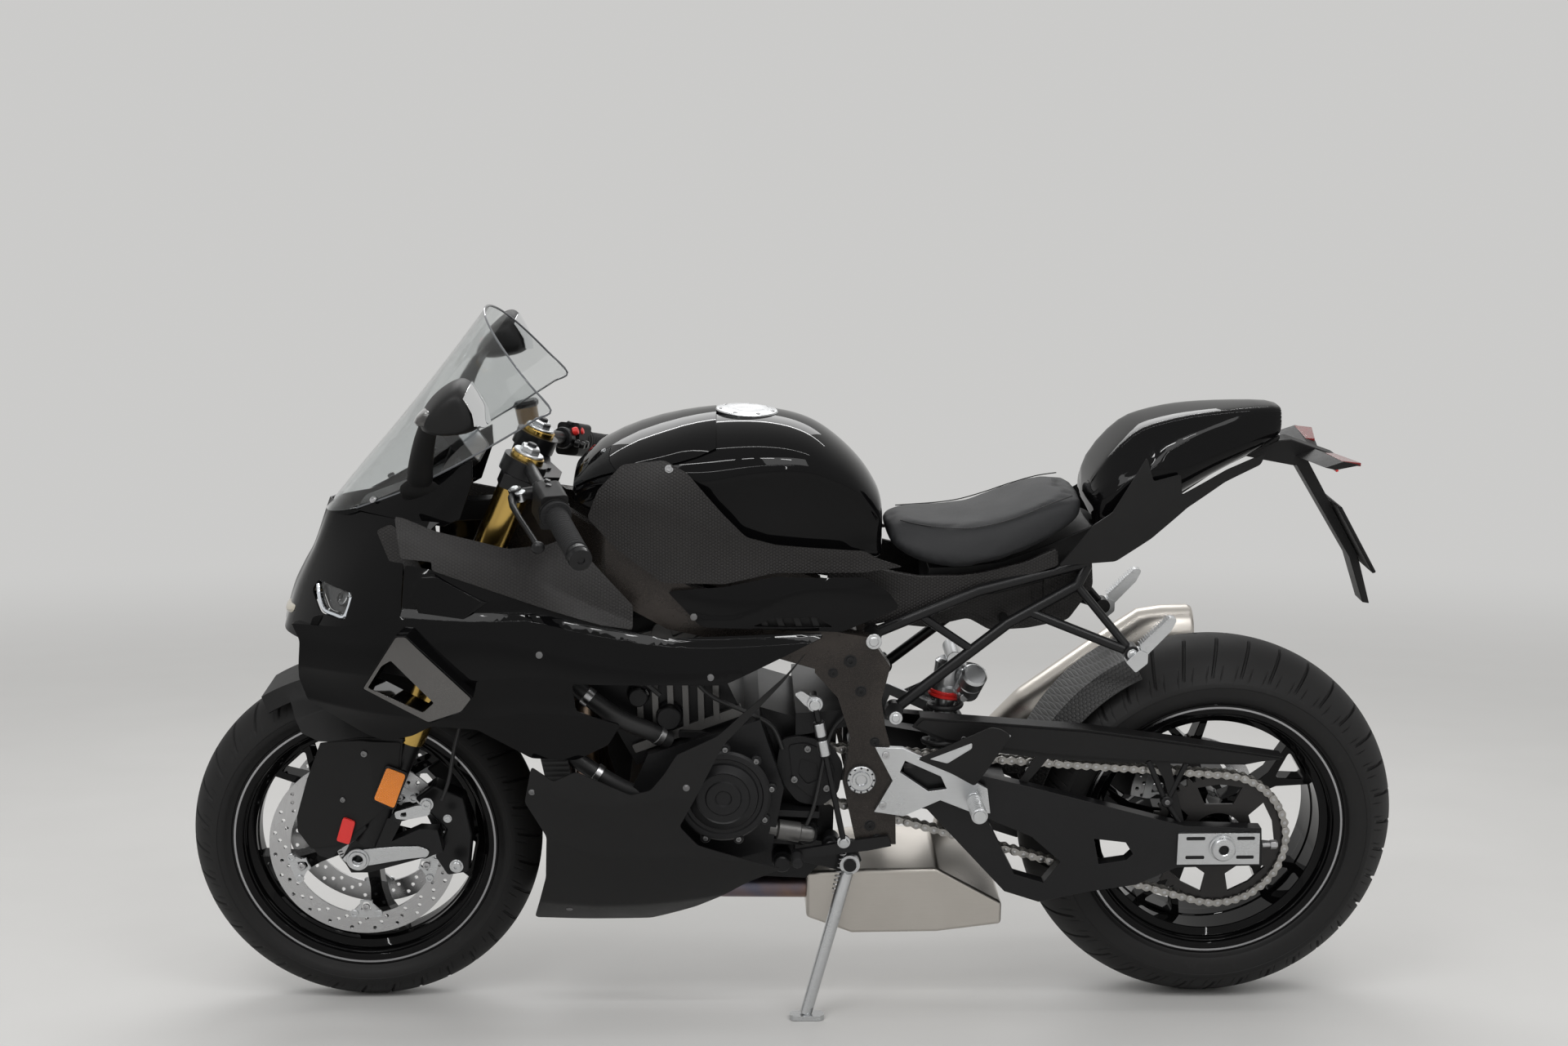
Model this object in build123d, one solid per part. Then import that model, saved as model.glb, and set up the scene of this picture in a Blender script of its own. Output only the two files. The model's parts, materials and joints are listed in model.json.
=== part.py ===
"""Sport motorcycle, parked leaning on its side stand.

Everything is modelled upright first: +X forward, +Y to the rider's left, +Z up, the rear axle above x = 0
and the ground at z = 0, in millimetres. The last lines lean the finished machine over onto its stand.
"""

from build123d import *
from math import asin, atan2, cos, degrees, hypot, pi, radians, sin
import os

# ---------------------------------------------------------------- driving dimensions
WHEELBASE = 1457.0
FRONT_X = 1457.0  # where the tables below place the front axle
RAKE = radians(23.6)
FORK_OFFSET = 28.6
FORK_SPREAD = 105.0  # each fork leg's distance from the middle plane

FRONT_TYRE_R, FRONT_TYRE_HALF, FRONT_TYRE_SAG = 300.0, 60.0, 42.0
REAR_TYRE_R, REAR_TYRE_HALF, REAR_TYRE_SAG = 326.0, 98.0, 56.0
BEAD_R = 216.0  # a 17 inch rim
FLANGE_H, FLANGE_T, RIM_T = 14.0, 5.4, 7.0
FRONT_RIM_HALF, REAR_RIM_HALF = 50.0, 83.0
SPOKES = 5

LEAN = radians(10.0)  # onto the side stand
SEAT_FIT = 0.3  # between pieces that seat on each other
RUNNING_FIT = 0.08  # a bearing on its shaft

AXLE_R, AXLE_BORE_R = 12.5, 9.0
CRANK_Y, CASE_Y = 165.0, 98.0  # half width of the crankcases, left face of the gearbox
DISC_R, DISC_BAND, DISC_T, DISC_Y = 160.0, 36.0, 4.6, 66.0
REAR_DISC_R, REAR_DISC_BAND, REAR_DISC_Y = 110.0, 30.0, 84.0

PITCH = 15.875  # chain pitch
REAR_TEETH, FRONT_TEETH = 46, 17
CHAIN_Y = 115.0
SPROCKET_T, LINK_T, LINK_GAP = 6.4, 2.2, 10.4  # gap: clear width between the inner plates
LINK_H, TOOTH_H = 14.6, 4.2  # plate height, tooth tip above the pitch circle
FRONT_SPROCKET = (690.0, 452.0)

PANEL_T = 3.0
FRAME_Y = 146.0  # inner face of the frame spars
FRAME_T = 30.0

rear_axle = (0.0, REAR_TYRE_R)
front_axle = (FRONT_X, FRONT_TYRE_R)
AHEAD = WHEELBASE - FRONT_X  # how far the front end moves from where its tables place it
GROWS = (1050.0, 1090.0)  # the frame and side panels lengthen between these, ahead of the engine
PIVOT = (612.0, 456.0)  # swingarm pivot
PIVOT_R = 12.0
FRAME_REAR_Y = 132.0  # inner face of the pivot plates
SHOCK_SLOT = 45.0  # half width of the slot that the damper passes through
ARM_Y, ARM_T = 128.0, 24.0  # swingarm beams: inner face and thickness
HUGGER_FROM, HUGGER_TO = 14.0, 64.0  # degrees above level, ahead of the rear axle
CAP, CAP_R, CAP_TILT = (800.0, 1041.0), 52.0, 0.02
LIGHT_OPENING = [(1512, 762), (1486, 742), (1442, 742), (1432, 776), (1500, 778)]
STAND_PIVOT = (627.0, 290.0)
STAND_FOOT = (704.0, 32.0)  # seen from the side
STAND_Y, STAND_FOOT_Y = 128.0, 185.0

# steering axis: local x forward, y left, z up along the axis, starting level with the axle
STEER = Plane(
    origin=(FRONT_X - FORK_OFFSET * cos(RAKE), 0, FRONT_TYRE_R - FORK_OFFSET * sin(RAKE)),
    x_dir=(cos(RAKE), 0, sin(RAKE)),
    z_dir=(-sin(RAKE), 0, cos(RAKE)),
)
LOWER_CLAMP, TOP_CLAMP = (528.0, 572.0), (698.0, 722.0)  # from, to along the steering axis
HEAD = (584.0, 688.0)
HEAD_R, HEAD_BORE, STEM_R = 34.0, 21.0, 15.0
FORK_R, FORK_BORE = 27.5, 23.5
LEG_R = FORK_BORE - SEAT_FIT
FORK_BOTTOM = 227.0
COVER_Y = FORK_SPREAD + 29  # the wheel covers beside the fork
FOOT_Y, FOOT_T = FORK_SPREAD - 13, 26.0  # inner face and thickness of the axle feet


# ---------------------------------------------------------------- helpers
def side(points, y_from, y_to):
    """A prism of the side outline (x, z), between two lateral planes."""
    plane = Plane(origin=(0, y_from, 0), x_dir=(1, 0, 0), z_dir=(0, -1, 0))
    return extrude(plane * Polygon(*points, align=None), amount=y_to - y_from, dir=(0, 1, 0))


def stretched(table):
    """A table or outline with x first, lengthened ahead of the engine as the wheelbase asks."""
    low, high = GROWS
    return [(x + AHEAD * min(max((x - low) / (high - low), 0), 1), *rest) for x, *rest in table]


def ahead(shape):
    """A piece of the front end, moved along with the front axle."""
    return Pos(AHEAD, 0, 0) * shape


def rod(start, end, radius):
    """A round bar between two points."""
    a, b = Vector(*start), Vector(*end)
    return extrude(Plane(origin=a, z_dir=b - a) * Circle(radius), amount=(b - a).length)


def tube(points, radius):
    """A round tube with mitred bends through the points."""
    a, b = Vector(*points[0]), Vector(*points[1])
    return sweep(Plane(origin=a, z_dir=b - a) * Circle(radius), Polyline(*points),
                 transition=Transition.RIGHT)


def drum(x, z, radius, y_from, y_to):
    """A round boss lying across the machine."""
    return rod((x, y_from, z), (x, y_to, z), radius)


def sections(table):
    """A ruled solid through stations (x, [(y, z), ...]) across the machine."""
    faces = []
    for x, points in table:
        plane = Plane(origin=(x, 0, 0), x_dir=(0, 1, 0), z_dir=(1, 0, 0))
        faces.append(plane * Polygon(*points, align=None))
    return loft(faces, ruled=True)


def inset(points, wall):
    """The open outline (u, v) moved to its right hand side by the wall."""
    moved = []
    last = len(points) - 1
    for i, (u, v) in enumerate(points):
        before, after = points[max(i - 1, 0)], points[min(i + 1, last)]
        du, dv = after[0] - before[0], after[1] - before[1]
        length = hypot(du, dv)
        moved.append((u + wall * dv / length, v - wall * du / length))
    return moved


def skin(table, wall=PANEL_T):
    """A thin panel through stations (x, outer (y, z) points from top to bottom)."""
    return sections([(x, points + inset(points, wall)[::-1]) for x, points in table])


def level_skin(table, wall=PANEL_T):
    """A thin panel through levels (z, outer (x, y) points from front to back)."""
    faces = []
    for z, points in sorted(table):
        ring = points + inset(points, -wall)[::-1]
        faces.append(Plane(origin=(0, 0, z)) * Polygon(*ring, align=None))
    return loft(faces, ruled=True)


def both(shape):
    """The left piece and its mirror image on the right."""
    return Compound(list(shape.solids()) + list(mirror(shape, about=Plane.XZ).solids()))


def group(*shapes):
    """Pieces of one node that do not touch."""
    return Compound([solid for shape in shapes for solid in shape.solids()])


def wheel_turn(points, axle):
    """A ring turned about an axle from a profile (radius, lateral)."""
    return Pos(axle[0], 0, axle[1]) * revolve(Polygon(*points, align=None), Axis.Y)


# ---------------------------------------------------------------- wheels
def tyre(axle, radius, half, sag, rim_half):
    """A tyre's cross-section: a crowned tread, two walls and the beads that sit in the rim."""
    shoulder = radius - sag
    seat = BEAD_R + SEAT_FIT
    inside = rim_half - FLANGE_T - SEAT_FIT
    over = BEAD_R + FLANGE_H + 2
    crown = ThreePointArc((shoulder, -half), (radius, 0), (shoulder, half))
    wall = [
        (shoulder, half), (over + 8, half - 5), (over, rim_half + 1), (over, inside), (seat, inside),
        (seat, inside - 8), (over, inside - 7), (shoulder, half - 9), (radius - 14, half * 0.45),
    ]
    loop = wall + [(radius - 9, 0)] + [(r, -y) for r, y in wall[::-1]]
    face = make_face(crown.edges() + Polyline(*loop).edges())
    return Pos(axle[0], 0, axle[1]) * revolve(face, Axis.Y)


def rim(axle, rim_half, hub_half, spacer, spoke_half, hub_r, lugs):
    """A cast wheel: barrel with flanges, five forked spokes, hub, spacers, and lugs (radius, y_from, y_to)."""
    flange = BEAD_R + FLANGE_H
    inner = rim_half - FLANGE_T
    well = BEAD_R - 16
    half = [
        (flange, inner), (flange, rim_half), (BEAD_R - RIM_T, rim_half), (BEAD_R - RIM_T, inner - 6),
        (well - RIM_T, inner - 24),
    ]
    back = [(well, inner - 26), (BEAD_R, inner - 14), (BEAD_R, inner)]
    loop = half + [(r, -y) for r, y in half[::-1]] + [(r, -y) for r, y in back[::-1]] + back
    body = wheel_turn(loop, (0, 0))
    reach = well - 3
    y_shape = [(hub_r - 8, -15), (88, -17), (reach * 0.95, -reach * 0.31), (reach * 0.977, -reach * 0.2),
               (116, 0)]
    outline = y_shape + [(u, -v) for u, v in y_shape[-2::-1]]
    for i in range(SPOKES):
        arm = side(outline, -spoke_half, spoke_half)
        for lug_r, y_from, y_to in lugs:
            arm += drum(lug_r, 0, 10, y_from, y_to)
        body += Rot(0, 90 + i * 360 / SPOKES, 0) * arm
    body += drum(0, 0, hub_r, -hub_half, hub_half) + drum(0, 0, 19, -spacer, spacer)
    body -= drum(0, 0, AXLE_R + RUNNING_FIT, -spacer - 1, spacer + 1)
    return Pos(axle[0], 0, axle[1]) * body


def disc(axle, radius, band, y, lug_r):
    """A brake disc ring with five lugs that bolt to the wheel."""
    ring = wheel_turn(
        [(radius - band, y - DISC_T / 2), (radius, y - DISC_T / 2), (radius, y + DISC_T / 2),
         (radius - band, y + DISC_T / 2)], (0, 0))
    for i in range(SPOKES):
        lug = side([(lug_r - 10, -9), (radius - band + 2, -15), (radius - band + 2, 15), (lug_r - 10, 9)],
                   y - DISC_T / 2, y + DISC_T / 2)
        ring += Rot(0, 90 + i * 360 / SPOKES, 0) * lug
    return Pos(axle[0], 0, axle[1]) * ring


def sprocket(axle):
    """A toothed ring on five arms that bolt to the carrier."""
    pitch_r = PITCH / 2 / sin(pi / REAR_TEETH)
    root, tip = pitch_r - 5.4, pitch_r + TOOTH_H
    outline = []
    for i in range(REAR_TEETH):
        for share, r in ((-0.36, root), (-0.12, tip), (0.12, tip), (0.36, root)):
            angle = 2 * pi * (i + share) / REAR_TEETH
            outline.append((r * cos(angle), r * sin(angle)))
    ring = side(outline, CHAIN_Y - SPROCKET_T / 2, CHAIN_Y + SPROCKET_T / 2)
    window = [(62, -24), (92, -38), (98, 0), (92, 38), (62, 24)]
    for i in range(SPOKES):
        ring -= Rot(0, 54 + i * 72, 0) * side(window, CHAIN_Y - 10, CHAIN_Y + 10)
    ring -= drum(0, 0, 46, CHAIN_Y - 10, CHAIN_Y + 10)
    return Pos(axle[0], 0, axle[1]) * ring


# ---------------------------------------------------------------- drive chain
def chain_frame():
    """Tangent geometry of the loop: two pitch circles and the two straight runs between them."""
    big, small = (PITCH / 2 / sin(pi / n) for n in (REAR_TEETH, FRONT_TEETH))
    dx, dz = FRONT_SPROCKET[0] - rear_axle[0], FRONT_SPROCKET[1] - rear_axle[1]
    span = hypot(dx, dz)
    heading = atan2(dz, dx)
    tilt = asin((big - small) / span)
    return big, small, span, heading, tilt


def chain_path(count):
    """Points and headings at every pin, evenly along the loop."""
    big, small, span, heading, tilt = chain_frame()
    run = span * cos(tilt)
    front_arc, rear_arc = small * (pi - 2 * tilt), big * (pi + 2 * tilt)
    total = 2 * run + front_arc + rear_arc
    pins = []
    for i in range(count):
        s = total * i / count
        if s < run:  # upper run, from the rear sprocket forward
            a = heading + pi / 2 - tilt
            x = rear_axle[0] + big * cos(a) + s * sin(a)
            z = rear_axle[1] + big * sin(a) - s * cos(a)
            pins.append((x, z, a - pi / 2, "upper"))
        elif s < run + front_arc:
            a = heading + pi / 2 - tilt - (s - run) / small
            pins.append((FRONT_SPROCKET[0] + small * cos(a), FRONT_SPROCKET[1] + small * sin(a), a - pi / 2,
                         "front"))
        elif s < 2 * run + front_arc:  # lower run, back to the rear
            a = heading - pi / 2 + tilt
            t = s - run - front_arc
            x = FRONT_SPROCKET[0] + small * cos(a) + t * sin(a)
            z = FRONT_SPROCKET[1] + small * sin(a) - t * cos(a)
            pins.append((x, z, a - pi / 2, "lower"))
        else:
            a = heading - pi / 2 + tilt - (s - 2 * run - front_arc) / big
            pins.append((rear_axle[0] + big * cos(a), rear_axle[1] + big * sin(a), a - pi / 2, "rear"))
    return pins


def chain():
    """Two loops of waisted link plates, joined by rollers wherever no sprocket tooth passes."""
    count = 2 * round(sum((2 * chain_frame()[2] / PITCH, (REAR_TEETH + FRONT_TEETH) / 2)) / 2)
    pins = chain_path(count)
    outer, inner = [], []
    for i, (x, z, a, _) in enumerate(pins):
        nx, nz = -sin(a), cos(a)
        after = pins[(i + 1) % count]
        middle = ((x + after[0]) / 2, (z + after[1]) / 2)
        for share, edge in ((0.5, outer), (-0.5, inner)):
            full, waist = LINK_H * share, LINK_H * share * 0.66
            edge.append((x + nx * full, z + nz * full))
            edge.append((middle[0] + nx * waist, middle[1] + nz * waist))
    plates = []
    for low in (-LINK_GAP / 2 - 2 * LINK_T, LINK_GAP / 2):
        plane = Plane(origin=(0, CHAIN_Y + low, 0), x_dir=(1, 0, 0), z_dir=(0, -1, 0))
        rims = [Wire.make_polygon([plane.from_local_coords((u, v, 0)) for u,
                                   v in edge]) for edge in (outer, inner)]
        plates.append(extrude(Face(rims[0], [rims[1]]), amount=2 * LINK_T, dir=(0, 1, 0)))
    roller = [(5.0 * cos(pi * k / 3), 5.0 * sin(pi * k / 3)) for k in range(6)]
    clear = chain_frame()[0] + TOOTH_H + 11.5
    half = LINK_GAP / 2 + 0.5
    rollers = [
        side([(x + u, z + v) for u, v in roller], CHAIN_Y - half, CHAIN_Y + half)
        for x, z, _, run in pins
        if run in ("upper", "lower") and hypot(x - rear_axle[0], z - rear_axle[1]) > clear
    ]
    return plates[0] + [plates[1], *rollers]


# ---------------------------------------------------------------- chassis
def main_frame():
    """Twin-spar frame: head tube, two spars over the engine and two pivot plates with their cross tubes."""
    spar = sections(stretched([
        (1196, [(20, 812), (44, 812), (40, 918), (18, 918)]),
        (1112, [(46, 796), (76, 796), (68, 904), (40, 904)]),
        (1030, [(122, 768), (154, 770), (150, 872), (120, 872)]),
        (930, [(FRAME_Y, 720), (FRAME_Y + FRAME_T, 720), (FRAME_Y + FRAME_T - 2, 811.4), (FRAME_Y, 811.4)]),
        (884, [(FRAME_Y, 710), (FRAME_Y + FRAME_T, 710), (FRAME_Y + FRAME_T - 2, 786), (FRAME_Y, 786)]),
        (668, [(FRAME_REAR_Y, 640), (FRAME_REAR_Y + FRAME_T, 640), (FRAME_REAR_Y + FRAME_T, 716),
               (FRAME_REAR_Y, 716)]),
    ]))
    plate = side([(690, 716), (600, 700), (566, 650), (580, 592), (572, 540), (556, 484), (552, 338),
                  (618, 336), (642, 448), (630, 527), (652, 597), (690, 640)], FRAME_REAR_Y, FRAME_REAR_Y + FRAME_T)
    left = spar + plate
    steer = ahead(Location(STEER))
    head = steer * (Pos(0, 0, HEAD[0]) * extrude(Circle(HEAD_R), amount=HEAD[1] - HEAD[0]))
    bore = steer * (Pos(0, 0, HEAD[0] - 5) * extrude(Circle(HEAD_BORE), amount=HEAD[1] - HEAD[0] + 10))
    frame = left + mirror(left, about=Plane.XZ) + head
    for x, z, r in ((632, 660, 20), (586, 350, 10)):
        frame += drum(x, z, r, -FRAME_REAR_Y - 1, FRAME_REAR_Y + 1)
    clear = steer * (Pos(0, 0, HEAD[1]) * extrude(Circle(70), amount=60))
    clear_low = steer * (Pos(0, 0, HEAD[0] - 60) * extrude(Circle(60), amount=60))
    frame = frame - clear - clear_low - bore
    pivot_hole = drum(*PIVOT, PIVOT_R + SEAT_FIT, -200, 200)
    return frame - pivot_hole


def swingarm():
    """Two box arms with a triangular window, a cross box in front of the tyre and two lugs at the pivot."""
    outline = [(540, 470), (420, 458), (328, 435), (65, 363), (-66, 358), (-71, 291), (74, 288),
               (142, 257), (224, 245), (307, 227), (366, 247), (414, 300), (500, 396), (540, 404)]
    window = [(217, 341), (163, 334), (150, 313), (161, 302), (207, 295)]
    arm = side(outline, ARM_Y, ARM_Y + ARM_T) - side(window, 100, 200)
    arm -= drum(*rear_axle, AXLE_R + SEAT_FIT, 100, 200)
    arm -= side([(400, 380), (322, 345), (272, 300), (300, 262), (350, 278)], 100, 200)
    body = arm + mirror(arm, about=Plane.XZ)
    body += side([(366, 360), (366, 440), (480, 455), (480, 366)], -ARM_Y - 1, ARM_Y + 1)
    body -= side([(432, 330), (432, 480), (600, 480), (600, 330)], -SHOCK_SLOT, SHOCK_SLOT)
    lug = side([(470, 370), (470, 452), (590, 474), (630, 470), (630, 440), (590, 432)], 62, 96)
    body += lug + mirror(lug, about=Plane.XZ)
    return body - drum(*PIVOT, PIVOT_R + SEAT_FIT, -200, 200)


def pivot_bolt():
    """The hollow swingarm spindle with its two flanged nuts outside the frame plates."""
    spindle = drum(*PIVOT, PIVOT_R, -170, 170)
    outside = FRAME_REAR_Y + FRAME_T + SEAT_FIT
    for sign in (1, -1):
        spindle += drum(*PIVOT, 24, sign * outside, sign * (outside + 7))
    return spindle


def subframe():
    """A trellis of two upper and two lower tubes a side, tied across, with the passenger peg hangers."""
    top, low, tie = (594, 694), (556, 562), (236, 806)
    left = tube([(top[0], 121, top[1]), (420, 116, 766), (tie[0], 88, tie[1])], 9.5)
    left += tube([(low[0], 121, low[1]), (369, 116, 710), (254, 98, 770), (tie[0], 88, tie[1] - 4)], 9.5)
    left += rod((517, 118, 726), (427, 118, 664), 7)
    left += rod((334, 111, 728), (167, 138, 666), 8)
    left += rod((254, 98, 770), (167, 138, 668), 7)
    left += drum(167, 667, 13, 124, 152)
    for x, z in (top, low):
        left += drum(x, z, 15, 112, FRAME_REAR_Y - SEAT_FIT)
    frame = left + mirror(left, about=Plane.XZ)
    for x, z, half in ((240, 794, 88), (372, 708, 115)):
        frame += rod((x, -half, z), (x, half, z), 8)
    return frame


def engine():
    """The power unit as one block: crankcases, a bank of cylinders canted forward, gearbox behind."""
    case = side([(600 + 50, 520), (780, 560), (960, 500), (1000, 420), (980, 330), (900, 262), (700, 250),
                 (655, 300)], -120, CASE_Y)
    crank = side([(780, 560), (965, 500), (1000, 420), (975, 340), (880, 300), (760, 330), (740, 440)],
                 -CRANK_Y, CRANK_Y)
    bank = side([(800, 540), (985, 470), (1075, 640), (1060, 700), (930, 745), (880, 715)], -130, 130)
    rear_lug = side([(720, 560), (616, 566), (612, 540), (720, 520)], SEAT_FIT - FRAME_REAR_Y,
                    FRAME_REAR_Y - SEAT_FIT)
    front_lug = drum(904, 732, 14, SEAT_FIT - FRAME_Y, FRAME_Y - SEAT_FIT)
    return case + crank + bank + rear_lug + front_lug + front_sprocket()


def engine_covers():
    """Round covers: the generator on the left, clutch and timing on the right."""
    left = drum(840, 442, 74, CRANK_Y + SEAT_FIT, 208) + drum(840, 442, 62, 208, 216)
    right = drum(800, 432, 88, -CRANK_Y - SEAT_FIT, -200) + drum(800, 432, 72, -200, -214)
    return group(left, right)


def radiator():
    """A bowed water radiator with side tanks, leaning behind the front wheel."""
    core = side([(1098, 470), (1130, 462), (1176, 692), (1144, 699)], -150, 150)
    tank = side([(1090, 466), (1132, 456), (1180, 697), (1138, 704)], 150, 176)
    arm = side([(1068.1, 668), (1145, 668), (1148, 684), (1064.1, 684)], 64, 76)
    left = tank + arm
    return core + left + mirror(left, about=Plane.XZ)


def tank_section(x, top, low, half, rise):
    """A domed section: flat base, flanks leaning in, a round top."""
    shoulder = top - rise
    arc = ThreePointArc((-half * 0.86, shoulder), (0, top), (half * 0.86, shoulder))
    sides = Polyline((half * 0.86, shoulder), (half, shoulder - (shoulder - low) * 0.4), (half * 0.94, low),
                     (-half * 0.94, low), (-half, shoulder - (shoulder - low) * 0.4),
                     (-half * 0.86, shoulder))
    plane = Plane(origin=(x, 0, 0), x_dir=(0, 1, 0), z_dir=(1, 0, 0))
    return plane * make_face(arc.edges() + sides.edges())


# tank stations: x, top, base, half width, how far the shoulders lie below the top
TANK = [
    (1088, 946, 912, 84, 12),
    (1020, 999, 890, 132, 40),
    (930, 1032, 812, 158, 58),
    (810, 1048, 806, 158, 62),
    (700, 1032, 806, 138, 64),
    (620, 972, 806, 108, 62),
    (572, 900, 806, 84, 44),
]


def fuel_tank():
    """The tank under its cover, with a seat for the cap."""
    body = loft([tank_section(*row) for row in TANK], ruled=True)
    seat = Plane(origin=(*CAP[:1], 0, CAP[1]), z_dir=(sin(CAP_TILT), 0, cos(CAP_TILT)))
    return body - extrude(seat * Circle(CAP_R + 1),
                          amount=60) - extrude(seat * Circle(CAP_R - 12), amount=-60)


def fuel_cap():
    """The round filler cap that hinges at its front edge."""
    seat = Plane(origin=(*CAP[:1], 0, CAP[1]), z_dir=(sin(CAP_TILT), 0, cos(CAP_TILT)))
    lid = extrude(seat.offset(SEAT_FIT) * Circle(CAP_R), amount=7)
    return lid + extrude(seat.offset(SEAT_FIT) * Circle(CAP_R - 14), amount=-16)


def tank_trims():
    """The matt side covers over the tank's flanks, left and right."""
    shell = skin([
        (1060, [(118, 960), (152, 900), (162, 830)]),
        (930, [(152, 1010), (178, 900), (187, 780)]),
        (800, [(156, 980), (176, 880), (180, 780)]),
        (690, [(142, 960), (166, 860), (172, 790)]),
        (540, [(112, 920), (136, 850), (146, 790)]),
    ])
    outline = [(1058, 900), (1040, 945), (1001, 985), (933, 996), (896, 977), (841, 913), (802, 872),
               (755, 858),
               (609, 841), (585, 826), (545, 812), (612, 806), (755, 812), (837, 796), (937, 800),
               (1015, 856)]
    boss = rod((930, 158.4, 916), (930, 177, 916), 6)
    return both((shell & side(outline, 60, 240)) + boss)


def frame_covers():
    """The gloss covers between the tank trims and the frame."""
    shell = skin([
        (940, [(178, 812), (184, 720)]),
        (760, [(172, 830), (182, 700)]),
        (560, [(140, 840), (150, 690)]),
    ])
    outline = [(930, 786), (834, 792), (755, 808), (612, 802), (572, 777), (551, 748), (604, 728),
               (647, 712),
               (760, 722), (874, 727)]
    vent = [(790, 728), (755, 745), (690, 742), (664, 722)]
    return both((shell & side(outline, 60, 240)) - side(vent, 60, 240))


# seat stations: x, crown, lower edge, half width at the crown, half width below
SEAT = [
    (571.7, 876, 834, 50, 84),
    (510, 872, 806, 92, 122),
    (440, 872, 800, 120, 142),
    (370, 890, 820, 132, 146),
    (300, 918, 848, 122, 132),
    (238, 926, 888, 92, 100),
]


def seat():
    """The rider's seat, waisted at the tank and rising at the back."""
    rows = [(x, [(-low_half, low), (-low_half, low + 22), (-half, top), (half, top), (low_half, low + 22),
                 (low_half, low)]) for x, top, low, half, low_half in SEAT]
    return sections(rows)


# tail stations: x, top, lower edge, half width at the top, half width at the crease, crease height
TAIL = [
    (232, 940, 850, 60, 100, 900),
    (165, 1026, 852, 66, 116, 950),
    (80, 1050, 916, 64, 100, 972),
    (0, 1058, 956, 52, 76, 992),
    (-100, 1060, 1006, 30, 42, 1030),
]


def tail_cowl():
    """The hollow hump behind the seat, open below."""
    rows = [(x, [(-half, top), (half, top), (wide, crease), (wide - 8, low), (8 - wide, low),
                 (-wide, crease)])
            for x, top, low, half, wide, crease in TAIL]
    inner = [(x, [(4 - half, top - 4), (half - 4, top - 4), (wide - 4, crease), (wide - 12, low - 12),
                  (12 - wide, low - 12), (4 - wide, crease)]) for x, top, low, half, wide, crease in TAIL]
    inner = [inner[0], *inner[1:-1], (-96, inner[-1][1])]
    post = rod((80, 30, 934), (80, 30, 1048), 6)
    return (sections(rows) - sections(inner)) + post + mirror(post, about=Plane.XZ)


def undertail():
    """The inner mudguard tray between the subframe tubes."""
    rows = [(x, [(-w, z), (w, z), (w, z + h), (-w, z + h)]) for x, z, w, h in (
        (500, 740, 88, 58), (440, 746, 86, 53.7), (380, 752, 84, 54), (300, 770, 72, 62), (150, 866, 62, 30),
        (20, 950, 44, 10), (-90, 1000, 24, 8))]
    return sections(rows)


def tail_trims():
    """The matt wedges under the hump, running forward beside the seat."""
    shell = skin([
        (300, [(135.6, 900), (135.6, 806)]),
        (165, [(119.4, 1000), (119.4, 850)]),
        (80, [(103.4, 1010), (103.4, 880)]),
        (0, [(79.4, 1030), (79.4, 940)]),
        (-80, [(52.4, 1040), (52.4, 960)]),
    ])
    outline = [(290, 812), (236, 880), (205, 900), (150, 990), (138, 950), (92, 960), (88, 925), (10, 962),
               (-58, 985),
               (-50, 966), (13, 941), (77, 903), (136, 853), (195, 816)]
    return both(shell & side(outline, 20, 240))


def nose():
    """The upper front fairing: a wedge round the steering head, with the two headlight openings."""
    shell = level_skin([
        (884, [(1500, 0.5), (1462, 58), (1392, 108), (1262, 150)]),
        (820, [(1524, 0.5), (1488, 84), (1396, 154), (1262, 194)]),
        (752, [(1558, 0.5), (1512, 110), (1404, 190), (1262, 230)]),
        (694, [(1576, 0.5), (1532, 130), (1424, 214), (1262, 246)]),
    ])
    outline = [(1600, 690), (1440, 694), (1335, 738), (1351, 765), (1351, 842), (1300, 886), (1270, 900),
               (1600, 900)]
    cheek = skin([
        (1440, [(70, 901), (80, 878)]),
        (1350, [(108, 946), (127, 878)]),
        (1240, [(148, 996), (156, 878)]),
    ])
    cheek -= side([(1500, 884), (1440, 896), (1262, 985), (1200, 1015), (1200, 1100), (1500, 1100)], 0, 300)
    left = (shell & side(outline, 0, 300)) + cheek
    left -= side(LIGHT_OPENING, 20, 300)
    right = mirror(left, about=Plane.XZ)
    brow = side([(1500, 878), (1562, 745), (1578, 700), (1560, 700), (1544, 745), (1484, 876)], -1, 1)
    return left + right + brow


def headlights():
    """The two lamp units that fill the openings either side of the nose."""
    shell = level_skin([
        (800, [(1527, 8), (1494, 90), (1400, 162), (1300, 188)]),
        (752, [(1552, 8), (1506, 108), (1400, 186), (1300, 216)]),
        (715, [(1562, 8), (1514, 118), (1410, 200), (1300, 228)]),
    ], 14)
    inner = [(x + (1470 - x) * 0.03, z + (752 - z) * 0.04) for x, z in LIGHT_OPENING]
    return both(shell & side(inner, 24, 300))


def windscreen():
    """The clear bubble screen: three bowed sections from the nose back to its rear lip."""
    rows = [((1440, 76, 896.2), (1500, 0, 885.2)), ((1262, 152, 990), (1372, 0, 1044)),
            ((1110, 172, 1078), (1228, 0, 1220))]
    faces = []
    for edge, middle in rows:
        a, b, m = Vector(*edge), Vector(edge[0], -edge[1], edge[2]), Vector(*middle)
        chord = (a + b) * 0.5
        inward = (chord - m).normalized()
        outer = ThreePointArc(a, m, b)
        inner = ThreePointArc(b + Vector(0, 3, 0), m + inward * 3, a - Vector(0, 3, 0))
        ends = [Line(b, b + Vector(0, 3, 0)), Line(a - Vector(0, 3, 0), a)]
        faces.append(Face(Wire([*outer.edges(), *ends[0].edges(), *inner.edges(), *ends[1].edges()])))
    return loft(faces, ruled=True)


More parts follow.
